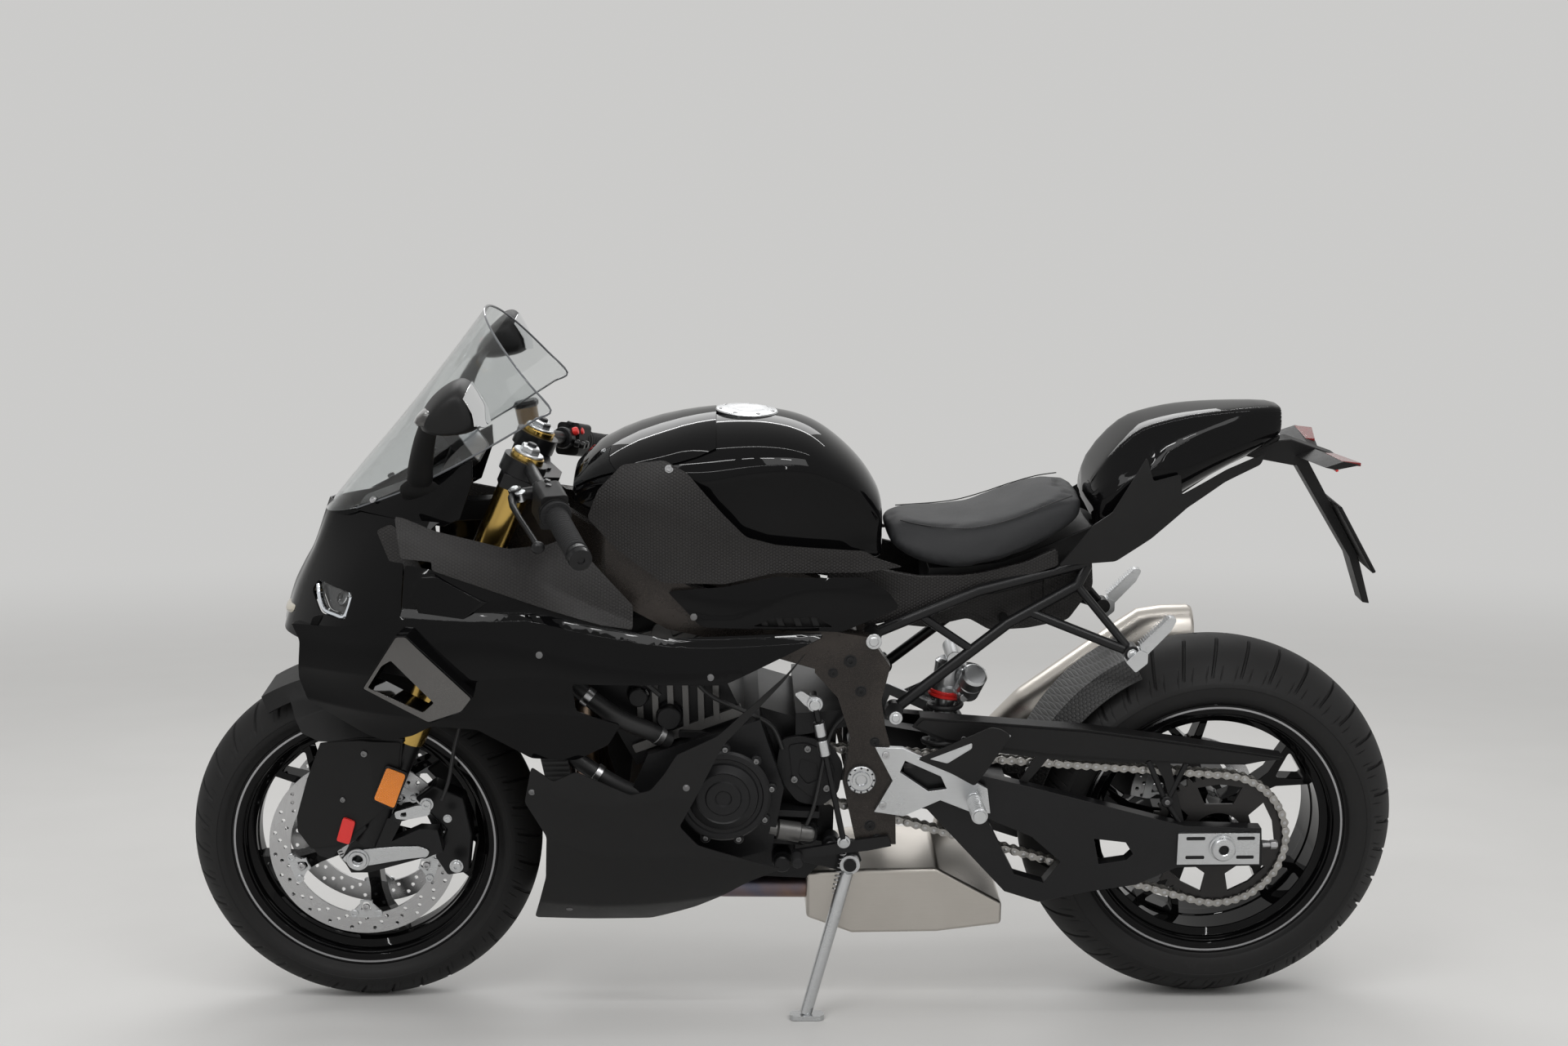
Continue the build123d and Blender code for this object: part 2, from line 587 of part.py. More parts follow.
# the side panels' outer surface: x, (y, z) from top to bottom
FLANK = [
    (1530, [(150, 800), (168, 720), (186, 640), (176, 550)]),
    (1400, [(196, 830), (226, 740), (236, 660), (220, 550)]),
    (1240, [(212, 850), (246, 750), (252, 680), (232, 500)]),
    (1080, [(208, 830), (240, 740), (246, 660), (232, 500)]),
    (900, [(196, 800), (226, 720), (232, 660), (224, 500)]),
    (670, [(176, 780), (196, 720), (202, 680), (200, 500)]),
]


def side_fairings():
    """The big gloss side panels, from beside the radiator back to the frame."""
    shell = skin(stretched(FLANK))
    outline = [(1512, 690), (1430, 690), (1335, 732), (1345, 765), (1345, 836), (1301, 830), (1177, 790),
               (1036, 742),
               (933, 716), (681, 716), (679, 710), (841, 640), (1080, 644), (1076, 604), (1005, 576),
               (1026, 538),
               (1079, 510), (1151, 514), (1235, 571), (1308, 584), (1340, 565), (1384, 555), (1416, 564),
               (1512, 620)]
    boss = rod((860, 174.9, 708), (860, 220, 708),
               5) + ahead(rod((1170, 176 + SEAT_FIT, 700), (1170, 246, 700), 5))
    return both((shell & side(stretched(outline), 100, 300)) + boss)


def upper_trims():
    """The matt textured covers on top of the side panels, beside the handlebars."""
    shell = skin(stretched([
        (1400, [(150, 915), (195, 840), (212, 780)]),
        (1240, [(160, 910), (212, 850), (240, 770)]),
        (1080, [(160, 890), (208, 830), (241, 740)]),
        (900, [(170, 850), (196, 800), (228, 720)]),
    ]))
    outline = [(1364, 906), (1348, 903), (1299, 886), (1223, 869), (1182, 859), (1123, 861), (1094, 870),
               (1055, 841),
               (984, 766), (984, 730.2), (1036, 742.4), (1177, 790.4), (1301, 830.4), (1301, 843),
               (1351, 846)]
    return both(shell & side(stretched(outline), 100, 300))


def winglets():
    """The small wings on the side panels, each with its upright end plate."""
    plate = side([(1350, 741), (1404, 658), (1304, 602), (1252, 620), (1236, 641), (1335, 741)], 284, 288)
    blade = loft([
        side_face([(1395, 664), (1345, 738), (1338, 736), (1386, 660)], 284),
        side_face([(1385, 664), (1335, 738), (1328, 736), (1376, 660)], 246),
    ], ruled=True)
    under = loft([
        side_face([(1392, 660), (1304, 606), (1256, 622), (1258, 626), (1304, 611), (1389, 665)], 284),
        side_face([(1376, 656), (1296, 610), (1256, 622), (1258, 626), (1296, 615), (1373, 661)], 238),
    ], ruled=True)
    behind = skin([(x, inset(points, -SEAT_FIT)) for x, points in FLANK], 60)
    return both((plate + blade + under) - behind)


def side_face(points, y):
    """A face of the side outline (x, z) at one lateral place."""
    return Plane(origin=(0, y, 0), x_dir=(1, 0, 0), z_dir=(0, -1, 0)) * Polygon(*points, align=None)


def belly_pan():
    """The matt lower panels, left and right, and the keel that joins them under the sump."""
    shell = skin(stretched([
        (1165, [(230, 520), (226, 420), (160, 240), (110, 186)]),
        (1050, [(230, 560), (228, 370), (176, 230), (112, 180)]),
        (900, [(226, 640), (228, 350), (186, 240), (112, 190)]),
        (700, [(206, 720), (222, 350), (200, 300), (112, 230)]),
    ]))
    outline = [(1163, 442), (1150, 506), (1115, 481), (1078, 498), (990, 458), (958, 466), (935, 494),
               (915, 526),
               (849, 556), (741, 651), (705, 690), (745, 640), (841, 540), (912, 399), (882, 364),
               (823, 344),
               (745, 317), (800, 290), (888, 225), (965, 182), (1157, 188), (1161, 192), (1135, 296),
               (1129, 382)]
    left = (shell & side(stretched(outline), 60,
                         300)) + rod((950, CRANK_Y + SEAT_FIT, 440), (950, 226, 440), 6)
    keel = skin(stretched([(1150, [(112, 190), (112, 184), (-112, 184), (-112, 190)]),
                 (960, [(112, 186), (112, 180), (-112, 180), (-112, 186)])]))
    return left + mirror(left, about=Plane.XZ) + keel


def dashboard():
    """The flat instrument panel in front of the handlebars."""
    plane = Plane(origin=(1266, 0, 1012), x_dir=(0, 1, 0), z_dir=(-cos(radians(35)), 0, sin(radians(35))))
    case = extrude(plane * RectangleRounded(156, 96, 12), amount=-20)
    stay = side([(1266, 1000), (1290, 990), (1330, 896.3), (1312, 896.3)], -15, 15)
    return case + stay


def mirrors():
    """The two mirrors on short stalks from the nose, with the indicators in their housings."""
    shell = loft([
        side_face([(1296, 1086), (1276, 1128), (1240, 1150), (1222, 1146), (1206, 1100)], 292),
        side_face([(1301, 1082), (1268, 1146), (1226, 1170), (1210, 1166), (1184, 1086)], 352),
        side_face([(1280, 1090), (1262, 1136), (1228, 1156), (1212, 1150), (1200, 1094)], 422),
    ], ruled=True)
    stalk = loft([
        Plane(origin=(1290, 300, 1100), x_dir=(1, 0, 0), z_dir=(0.2, 1, 0.72)) * Rectangle(30, 16),
        Plane(origin=(1322, 160, 976), x_dir=(1, 0, 0), z_dir=(0.2, 1, 0.72)) * Rectangle(46, 18),
        Plane(origin=(1330, 112, 926), x_dir=(1, 0, 0), z_dir=(0.2, 1, 0.72)) * Rectangle(46, 18),
    ], ruled=True)
    cheek = skin([(1440, [(70, 901), (80, 878)]), (1350, [(108, 946), (127, 878)]),
                  (1240, [(148, 996), (156, 878)])], 60)
    return both(shell + stalk - cheek.moved(Location((0, SEAT_FIT, SEAT_FIT))))


def headstock_stay():
    """The stay that carries nose, screen, dashboard and mirrors ahead of the steering head."""
    beam = side([(1170, 902), (1170, 866), (1330, 860), (1480, 866), (1480, 878), (1340, 894)], -16, 16)
    beam -= STEER * (Pos(0, 0, HEAD[0]) * extrude(Circle(HEAD_R + SEAT_FIT), amount=HEAD[1] - HEAD[0]))
    cross = side([(1310, 880), (1334, 880), (1334, 896), (1310, 896)], -123.4, 123.4)
    return beam + cross


def exhaust():
    """Four header pipes from the cylinder head, down and back under the engine to the collector."""
    pipes = None
    for y in (-105, -35, 35, 105):
        pipe = tube([(1046.3, y, 585.2), (1074, y, 571), (1066, y, 400), (1030, y * 0.8, 290),
                     (960, y * 0.6, 232), (840, y * 0.42, 214), (698.3, y * 0.42, 212)], 20)
        pipes = pipe if pipes is None else pipes + pipe
    return pipes


def silencer():
    """The folded sheet silencer box behind the collector."""
    box = loft([
        Plane(origin=(698, 0, 0), x_dir=(0, 1, 0), z_dir=(1, 0, 0)) * Pos(0, 208) * Rectangle(150, 84),
        Plane(origin=(620, 0, 0), x_dir=(0, 1, 0), z_dir=(1, 0, 0)) * Pos(0, 205) * Rectangle(196, 118),
        Plane(origin=(474, 0, 0), x_dir=(0, 1, 0), z_dir=(1, 0, 0)) * Pos(0, 207) * Rectangle(200, 118),
        Plane(origin=(362, 0, 0), x_dir=(0, 1, 0), z_dir=(1, 0, 0)) * Pos(0, 182) * Rectangle(200, 40),
    ], ruled=True)
    return box


def end_can():
    """The short end can on the right with its link pipe from the silencer box."""
    link = tube([(440, -100 - SEAT_FIT, 214), (440, -156, 214), (408, -186, 300), (350, -199, 378)], 24)
    can = loft([
        Plane(origin=(352, -198, 376), x_dir=(0, 1, 0), z_dir=(-0.82, -0.02, 0.57)) * Ellipse(32, 40),
        Plane(origin=(270, -202, 432), x_dir=(0, 1, 0), z_dir=(-0.82, -0.02, 0.57)) * Ellipse(48, 62),
        Plane(origin=(26, -208, 601), x_dir=(0, 1, 0), z_dir=(-0.82, -0.02, 0.57)) * Ellipse(46, 60),
    ], ruled=True)
    mouth = rod((26, -208, 601), (-8, -209, 625), 30)
    return link + can + mouth - rod((20, -208, 605), (-30, -210, 641), 27)


def shock():
    """The rear damper with its spring and the red preload collar."""
    top = (446, 0, 622)
    body = rod((452, 0, 566), (448, 0, 610), 26) + rod((468, 0, 460), (452, 0, 566), 33)
    body += rod((471, 0, 425), (468, 0, 460), 20) + rod((448, 0, 600), top, 12)
    body += rod((474, 0, 392), (471, 0, 426), 14)
    body += drum(474, 392, 12, SEAT_FIT - SHOCK_SLOT, SHOCK_SLOT - SEAT_FIT)
    body += drum(446, 622, 14, -40, 40)
    body += rod((424, 22, 560), (414, 62, 604), 22)
    return body


def hugger():
    """The rear mudguard that follows the tyre's front quarter, carried on the swingarm."""
    inner = REAR_TYRE_R + 12
    profile = Polygon((inner - 30, -92), (inner, -60), (inner, 60), (inner - 30, 92), (inner - 28, 95),
                      (inner + PANEL_T, 62), (inner + PANEL_T, -62), (inner - 28, -95), align=None)
    quarter = revolve(profile, Axis.Y, HUGGER_TO - HUGGER_FROM)
    arch = Pos(0, 0, REAR_TYRE_R) * (Rot(0, -HUGGER_TO, 0) * quarter)
    foot = side([(326, 424), (326, 452), (424, 463), (424, 448), (366, 440.4), (352, 424)], -60, 60)
    return arch + (foot - drum(*rear_axle, inner + 2, -200, 200))


def chain_guard():
    """The guard over the upper chain run, with its struts to the swingarm."""
    guard = side([(526, 536), (513, 553), (235, 530), (88, 509), (-100, 479), (-35, 466), (159, 470),
                  (297, 478),
                  (400, 492), (480, 512)], ARM_Y + 4, ARM_Y + 8)
    lip = side([(513, 553), (235, 530), (88, 509), (-100, 479), (-94, 477), (88, 505), (235, 526),
                (512, 549)], 104, ARM_Y + 8)
    strut = side([(120, 476), (92, 474), (62, 363.3), (78, 367.3), (100, 440)], ARM_Y + 4, ARM_Y + 8)
    brace = side([(318, 482), (296, 480), (330, 436.2), (344, 439.4)], ARM_Y + 4, ARM_Y + 8)
    return guard + lip + strut + brace


def front_sprocket():
    """The small sprocket on the gearbox shaft; the plates run on its shoulders."""
    shoulder = PITCH / 2 / sin(pi / FRONT_TEETH) - LINK_H / 2 - SEAT_FIT
    return drum(*FRONT_SPROCKET, shoulder, CASE_Y - 1, CHAIN_Y + 9)


def hangers():
    """Rider footrest hangers with their pegs and flat heel guards, left and right."""
    y0 = FRAME_REAR_Y + FRAME_T + SEAT_FIT
    plate = side([(590, 514), (544, 512), (470, 478), (402, 440), (396, 396), (432, 400), (480, 420),
                  (542, 392),
                  (590, 400), (560, 455)], y0, y0 + 10)
    plate -= side([(540, 490), (480, 462), (470, 440), (500, 436), (548, 470)], y0 - 5, y0 + 20)
    peg = rod((424, y0 + 8, 420), (424, y0 + 92, 424), 12)
    guard = side([(520, 494), (399, 548), (366, 534), (404, 474), (424, 446), (462, 468)],
                 y0 + 10 + SEAT_FIT, y0 + 13)
    return group(both(plate + peg), both(guard))


def shift_lever():
    """Gear lever and its rod up to the quick-shift sensor."""
    y0 = FRAME_REAR_Y + FRAME_T + SEAT_FIT
    lever = side([(560, 338), (600, 330), (724, 316), (726, 330), (612, 350), (566, 356)], y0, y0 + 8)
    toe = rod((718, y0 + 4, 322), (718, y0 + 40, 322), 8)
    pin = rod((584, FRAME_REAR_Y + 20, 376 - 32), (584, y0 + 1, 376 - 32), 7)
    link = rod((640, y0 + 12, 348), (690, y0 + 12, 590),
               5) + rod((672, y0 + 12, 500), (684, y0 + 12, 560), 9)
    link += rod((640, y0 + 2, 348), (640, y0 + 16, 348), 7)
    link += rod((690, 130, 590), (690, y0 + 16, 590), 8)
    return lever + toe + link


def brake_pedal():
    """The rear brake pedal on the right."""
    y0 = FRAME_REAR_Y + FRAME_T + SEAT_FIT
    lever = side([(556, 340), (600, 330), (716, 316), (718, 328), (612, 350), (562, 358)], -y0 - 8, -y0)
    return lever + rod((710, -y0 - 4, 322), (710, -y0 - 44, 322), 8)


def passenger_pegs():
    """Folded passenger pegs, ribbed bars pointing back and up."""
    peg = side([(168, 650), (150, 690), (98, 742), (84, 736), (96, 700), (140, 644)], 139, 163)
    return both(peg - drum(167, 667, 13.3, 130, 170))


def plate_holder():
    """The arms and carrier that hold the number plate behind the tail."""
    arm = side([(-30, 972.4), (-86, 997.8), (-110, 1000), (-190, 972), (-148, 965), (-118, 955), (-60, 966)],
               -22, 22)
    spine = side([(-118, 962), (-138, 968), (-236, 800), (-262, 714), (-250, 716), (-222, 796)], -22, 22)
    plane = Plane(origin=(-187, 0, 884), x_dir=(0, 1, 0), z_dir=(-0.863, 0, 0.504))
    board = extrude(plane * Pos(0, 54) * Rectangle(150, 130), amount=3)
    return arm + spine + board


def indicators():
    """The rear lamps on their blades and the reflector between them."""
    blade = loft([
        side_face([(-118, 972), (-150, 984), (-168, 978), (-140, 966)], 22 + SEAT_FIT),
        side_face([(-132, 980), (-162, 990), (-190, 984), (-150, 976)], 150),
    ], ruled=True)
    return both(blade)


def rear_caliper():
    """The rear brake caliper over its disc, on the right arm."""
    y = -REAR_DISC_Y
    block = side([(40, 400), (120, 380), (108, 330), (84, 330), (30, 366)], y - 26, y + 22)
    block = side([(98, 372), (72, 408), (150, 440), (172, 392)], -ARM_Y + 0.3, y + 20)
    slot = drum(*rear_axle, REAR_DISC_R + 6, y - DISC_T / 2 - 3, y + DISC_T / 2 + 3)
    return block - slot


def rear_spindle():
    """The hollow rear spindle with its nut, and the milled adjuster blocks on both arms."""
    outside = ARM_Y + ARM_T + SEAT_FIT
    body = drum(*rear_axle, AXLE_R, -outside - 3, outside + 3)
    for sign in (1, -1):
        block = side([(76, 352), (-62, 352), (-64, 296), (76, 296)],
                     min(sign * outside, sign * (outside + 6)),
                     max(sign * outside, sign * (outside + 6)))
        body += block + drum(*rear_axle, 20, sign * (outside + 5), sign * (outside + 14))
    return body - drum(*rear_axle, AXLE_BORE_R, -200, 200)


def stand_bracket():
    """The stand's bracket on the crankcase, with its pivot bolt."""
    x, z = STAND_PIVOT
    ear = side([(720, 330), (618, 322), (606, 290), (627, 272), (650, 274), (720, 292)], CASE_Y + SEAT_FIT,
               STAND_Y - 10)
    return ear + drum(x, z, 6, STAND_Y - 11, STAND_Y + 12) + drum(x, z, 11, STAND_Y + 10, STAND_Y + 14)


def side_stand():
    """The side stand: a head round its pivot bolt, a tapering leg and a flat foot."""
    x, z = STAND_PIVOT
    top = Vector(x, STAND_Y, z)
    foot = Vector(STAND_FOOT[0], STAND_FOOT_Y, STAND_FOOT[1])
    along = (foot - top).normalized()
    leg = loft([Plane(origin=top + along * 10, z_dir=along) * Circle(11.5),
                Plane(origin=foot - along * 8, z_dir=along) * Circle(10)])
    head = drum(x, z, 17, STAND_Y - 9.5, STAND_Y + 9.5) - drum(x, z, 6 + RUNNING_FIT, 0, 200)
    c, s = cos(LEAN), sin(LEAN)
    sole = Plane(origin=(foot.X, foot.Y, foot.Z), x_dir=(1, 0, 0), z_dir=(0, s, -c))
    pad = extrude(sole * Pos(-4, 0) * RectangleRounded(58, 34, 12), amount=-8)
    return (leg - drum(x, z, 15, 0, STAND_Y + 40)) + head + pad


# ---------------------------------------------------------------- steering
def clamp(low_high):
    """A fork clamp: a waisted plate round both fork tubes and the stem."""
    low, high = low_high
    tip = FORK_SPREAD + 35
    points = [(-34, -22), (-34, 22), (-10, 60), (0, tip), (52, tip), (60, tip - 40), (36, 60), (36, -60),
              (60, 40 - tip),
              (52, -tip), (0, -tip), (-10, -60)]
    plate = Pos(0, 0, low) * extrude(Polygon(*points, align=None), amount=high - low, dir=(0, 0, 1))
    for y in (-FORK_SPREAD, FORK_SPREAD):
        plate -= Pos(FORK_OFFSET, y, low - 1) * extrude(Circle(FORK_R + SEAT_FIT), amount=high - low + 2)
    return plate


def triple_clamps():
    """Both fork clamps and the steering stem between them."""
    stem = Pos(0, 0, LOWER_CLAMP[0] + 5) * extrude(Circle(STEM_R), amount=TOP_CLAMP[1] - LOWER_CLAMP[0])
    for low in (HEAD[0] + 1, HEAD[1] - 13):
        stem += Pos(0, 0, low) * extrude(Circle(HEAD_BORE - RUNNING_FIT), amount=12)
    return STEER * (clamp(LOWER_CLAMP) + clamp(TOP_CLAMP) + stem)


def fork_tubes():
    """The gold upper fork tubes, bored from below for the sliders."""
    tube_ = Pos(FORK_OFFSET, FORK_SPREAD, FORK_BOTTOM) * extrude(Circle(FORK_R),
                                                                 amount=TOP_CLAMP[1] + 36 - FORK_BOTTOM)
    tube_ -= Pos(FORK_OFFSET, FORK_SPREAD, FORK_BOTTOM - 1) * extrude(Circle(FORK_BORE), amount=121)
    return both(STEER * tube_)


def fork_legs():
    """The sliders with their axle feet and caliper arms."""
    leg = STEER * (Pos(FORK_OFFSET, FORK_SPREAD, 30) * extrude(Circle(LEG_R), amount=FORK_BOTTOM + 50))
    foot = side([(1484, 300), (1470, 326), (1440, 350), (1404, 372), (1384, 360), (1400, 330), (1352, 352),
                 (1322, 350), (1314, 310), (1340, 302), (1440, 274), (1470, 274)], FOOT_Y, FOOT_Y + FOOT_T)
    leg = leg + foot - drum(*front_axle, AXLE_R + SEAT_FIT, 80, 130)
    return both(leg)


def front_spindle():
    """The hollow front spindle through both feet."""
    outside = FOOT_Y + FOOT_T + SEAT_FIT
    body = drum(*front_axle, AXLE_R, -outside - 4, outside + 4)
    for sign in (1, -1):
        body += drum(*front_axle, 17, sign * outside, sign * (outside + 6))
    return body - drum(*front_axle, AXLE_BORE_R, -200, 200)


def front_calipers():
    """Radial brake calipers, each straddling its disc on the fork's caliper arm."""
    block = side([(1362, 396), (1330, 420), (1280, 396), (1268, 330), (1276, 262), (1312, 256), (1332, 290),
                  (1312, 340)],
                 48, FOOT_Y - SEAT_FIT)
    slot = drum(*front_axle, DISC_R + 5, DISC_Y - DISC_T / 2 - 3, DISC_Y + DISC_T / 2 + 3)
    clear = drum(*front_axle, 128, 40, 63)
    return both(block - slot - clear)


def bar_line():
    """Inner and outer ends of the left handlebar tube."""
    return Vector(1152, FORK_SPREAD + 21, 979), Vector(1056, FORK_SPREAD + 291, 905)


def clip_ons():
    """The two handlebar tubes on their fork clamps."""
    a, b = bar_line()
    ring = Pos(FORK_OFFSET, FORK_SPREAD, TOP_CLAMP[1] + SEAT_FIT) * extrude(Circle(37), amount=27)
    bore = Pos(FORK_OFFSET, FORK_SPREAD, 600) * extrude(Circle(FORK_R + SEAT_FIT), amount=200)
    return both(STEER * ring + rod(a, b, 11) - STEER * bore)


def grips():
    """Rubber grips over the bar ends."""
    a, b = bar_line()
    along = (b - a).normalized()
    start = b - along * 125
    body = rod(start, b + along * 6, 17)
    body -= rod(start - along * 5, b + along * 0.3, 11 + SEAT_FIT)
    return both(body)


def switchgear():
    """The switch housings beside the grips."""
    a, b = bar_line()
    along = (b - a).normalized()
    start = b - along * 186
    body = extrude(Plane(origin=start, x_dir=(0, 0, 1), z_dir=along) * RectangleRounded(58, 44, 8),
                   amount=52)
    body -= rod(start - along * 5, start + along * 60, 11 + SEAT_FIT)
    return both(body)


def levers():
    """Clutch and brake levers, bent to run ahead of the grips."""
    a, b = bar_line()
    along = (b - a).normalized()
    root = b - along * 204
    ahead = Vector(0.92, 0.18, 0.0)
    perch = rod(root, root + ahead * 46, 9) - rod(a, b, 11 + SEAT_FIT)
    collar = rod(root - along * 9, root + along * 9, 17) - rod(a, b, 11 + SEAT_FIT)
    lever = tube([root + ahead * 40, root + ahead * 62 + along * 50, root + ahead * 52 + along * 180], 6)
    return both(perch + collar + lever)


def front_fender():
    """The front mudguard arch over the tyre with the wheel covers beside the fork legs."""
    inner = FRONT_TYRE_R + 9
    profile = Polygon((inner - 26, -72), (inner, -56), (inner, 56), (inner - 26, 72), (inner - 24, 75),
                      (inner + 3, 58), (inner + 3, -58), (inner - 24, -75), align=None)
    arch = Pos(front_axle[0], 0, front_axle[1]) * (Rot(0, -125, 0) * revolve(profile, Axis.Y, 66))
    cover = side([(1507, 513), (1532, 449), (1552, 384), (1552, 358), (1531, 326), (1484, 330), (1440, 366),
                  (1400, 400), (1376, 470), (1370, 520), (1440, 522)], COVER_Y, COVER_Y + PANEL_T)
    shoulder = skin([
        (1570, [(65, 575), (COVER_Y - 28, 540), (COVER_Y + 2.4, 492)]),
        (1470, [(65, 597), (COVER_Y - 28, 572), (COVER_Y + 2.4, 512)]),
        (1366, [(65, 583), (COVER_Y - 28, 560), (COVER_Y + 2.4, 512)]),
    ], 2)
    shoulder &= side([(1580, 590), (1540, 525), (1510, 514), (1368, 514), (1368, 620), (1580, 620)], 60, 200)
    tube_gap = STEER * (Pos(FORK_OFFSET, FORK_SPREAD, 100) * extrude(Circle(FORK_R + SEAT_FIT), amount=300))
    left = cover + (shoulder - tube_gap)
    return arch + left + mirror(left, about=Plane.XZ)


# ---------------------------------------------------------------- the machine, upright
def build():
    """Every piece by its name."""
    return {
        "main_frame": main_frame(),
        "subframe": subframe(),
        "swingarm": swingarm(),
        "engine": engine(),
        "engine_covers": engine_covers(),
        "radiator": ahead(radiator()),
        "fuel_tank": fuel_tank(),
        "fuel_cap": fuel_cap(),
        "tank_trims": tank_trims(),
        "frame_covers": frame_covers(),
        "seat": seat(),
        "tail_cowl": tail_cowl(),
        "undertail": undertail(),
        "tail_trims": tail_trims(),
        "nose_fairing": ahead(nose()),
        "headlights": ahead(headlights()),
        "windscreen": ahead(windscreen()),
        "side_fairings": side_fairings(),
        "upper_trims": upper_trims(),
        "winglets": ahead(winglets()),
        "belly_pan": belly_pan(),
        "dashboard": ahead(dashboard()),
        "mirrors": ahead(mirrors()),
        "front_stay": ahead(headstock_stay()),
        "exhaust_headers": exhaust(),
        "silencer_box": silencer(),
        "end_can": end_can(),
        "shock_absorber": shock(),
        "rear_hugger": hugger(),
        "chain_guard": chain_guard(),
        "drive_chain": chain(),
        "footrest_hangers": hangers(),
        "foot_controls": group(shift_lever(), brake_pedal()),
        "passenger_pegs": passenger_pegs(),
        "plate_holder": plate_holder(),
        "rear_indicators": indicators(),
        "rear_caliper": rear_caliper(),
        "rear_spindles": group(rear_spindle(), pivot_bolt()),
        "stand_bracket": stand_bracket(),
        "side_stand": side_stand(),
        "triple_clamps": ahead(triple_clamps()),
        "fork_tubes": ahead(fork_tubes()),
        "fork_legs": ahead(fork_legs()),
        "front_spindle": ahead(front_spindle()),
        "front_calipers": ahead(front_calipers()),
        "clip_ons": ahead(clip_ons()),
        "grips": ahead(grips()),
        "switchgear": ahead(switchgear()),
        "levers": ahead(levers()),
        "front_fender": ahead(front_fender()),
        "front_tyre": ahead(tyre(front_axle, FRONT_TYRE_R, FRONT_TYRE_HALF, FRONT_TYRE_SAG, FRONT_RIM_HALF)),
        "front_rim": ahead(rim(front_axle, FRONT_RIM_HALF, 72, FOOT_Y - SEAT_FIT, 15, 36,
                               ((112, 0, DISC_Y - DISC_T / 2 - SEAT_FIT),
                                (112, -DISC_Y + DISC_T / 2 + SEAT_FIT, 0)))),
        "front_discs": ahead(group(disc(front_axle, DISC_R, DISC_BAND, DISC_Y, 112),
                                   disc(front_axle, DISC_R, DISC_BAND, -DISC_Y, 112))),
        "rear_tyre": tyre(rear_axle, REAR_TYRE_R, REAR_TYRE_HALF, REAR_TYRE_SAG, REAR_RIM_HALF),
        "rear_rim": rim(rear_axle, REAR_RIM_HALF, 104, ARM_Y - SEAT_FIT, 15, 44,
                        ((66, 0, CHAIN_Y - SPROCKET_T / 2 - SEAT_FIT),
                         (66, -REAR_DISC_Y + DISC_T / 2 + SEAT_FIT, 0))),
        "rear_disc": disc(rear_axle, REAR_DISC_R, REAR_DISC_BAND, -REAR_DISC_Y, 66),
        "rear_sprocket": sprocket(rear_axle),
    }


# ---------------------------------------------------------------- leaning onto the stand
def crown_radius(half, sag):
    """The radius of a tyre's tread across its width."""
    return (half * half + sag * sag) / (2 * sag)


def parked():
    """The lean to the left about the ground line, and the drop of both crowns back to the ground."""
    front_drop = crown_radius(FRONT_TYRE_HALF, FRONT_TYRE_SAG) * (1 - cos(LEAN))
    rear_drop = crown_radius(REAR_TYRE_HALF, REAR_TYRE_SAG) * (1 - cos(LEAN))
    pitch = degrees(atan2(rear_drop - front_drop, WHEELBASE))
    lean = Location((0, 0, 0), (-degrees(LEAN), 0, 0))
    return Location((0, 0, rear_drop)) * Location((0, 0, 0), (0, pitch, 0)) * lean


def main():
    """Writes each piece of the parked machine."""
    os.makedirs("parts", exist_ok=True)
    place = parked()
    for name, shape in build().items():
        export_step(Compound(list(shape.solids())).moved(place), f"parts/{name}.step")


if __name__ == "__main__":
    main()
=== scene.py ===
import json
import logging
import math
from dataclasses import dataclass, field
from enum import Enum
from typing import Callable, Sequence

import bmesh
import bpy
from mathutils import Matrix, Vector
from mathutils.geometry import delaunay_2d_cdt


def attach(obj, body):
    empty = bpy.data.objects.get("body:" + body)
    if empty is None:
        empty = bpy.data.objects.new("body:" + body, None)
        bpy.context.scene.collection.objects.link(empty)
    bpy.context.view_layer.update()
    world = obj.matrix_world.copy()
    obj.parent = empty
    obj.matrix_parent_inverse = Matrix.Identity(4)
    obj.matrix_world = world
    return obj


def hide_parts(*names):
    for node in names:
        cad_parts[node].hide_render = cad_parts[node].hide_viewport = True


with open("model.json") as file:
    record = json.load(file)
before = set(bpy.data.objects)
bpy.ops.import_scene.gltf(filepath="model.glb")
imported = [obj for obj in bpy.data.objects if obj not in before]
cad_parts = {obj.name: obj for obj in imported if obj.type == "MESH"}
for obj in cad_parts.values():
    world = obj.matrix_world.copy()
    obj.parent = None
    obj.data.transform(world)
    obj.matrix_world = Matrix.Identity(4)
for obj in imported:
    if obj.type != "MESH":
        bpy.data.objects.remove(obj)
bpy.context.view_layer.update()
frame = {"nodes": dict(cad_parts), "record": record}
LOG = logging.getLogger("motorcycle")

Point = tuple[float, float, float]
Flat = tuple[float, float]

# ---------------------------------------------------------------- sizes, upright, in millimetres
WHEELBASE = 1457.0
LEAN = math.radians(10.0)
FRONT_AXLE: Flat = (WHEELBASE, 300.0)
REAR_AXLE: Flat = (0.0, 326.0)
RISE = 1.728  # the rear crown's drop as it leans
PITCH = math.radians(0.0298)
RAKE = math.radians(23.6)
FORK_Y = 105.0
MM = 0.001
MERGE = 0.01  # a piece's points closer than this become one
PANEL_MERGE = 0.02  # the same for a panel's flat points
PART_MERGE = 0.005  # the same for a repeated part
CAD_MERGE = 1e-6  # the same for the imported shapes, in metres
FLAT_ANGLE = math.radians(0.6)  # packed faces closer to level than this are joined
CORNER_REACH = 0.45  # the most of a run that a rounded corner takes
CORNER_STEPS = 4
ROW_STEP = 0.87  # a panel's row spacing as a share of its step
EDGE_GAP = 0.55  # how near the outline a panel's inner points may come, as a share of its step
TREAD_LAG = 0.55  # how far the tread's columns slant back at the shoulder, in pitches

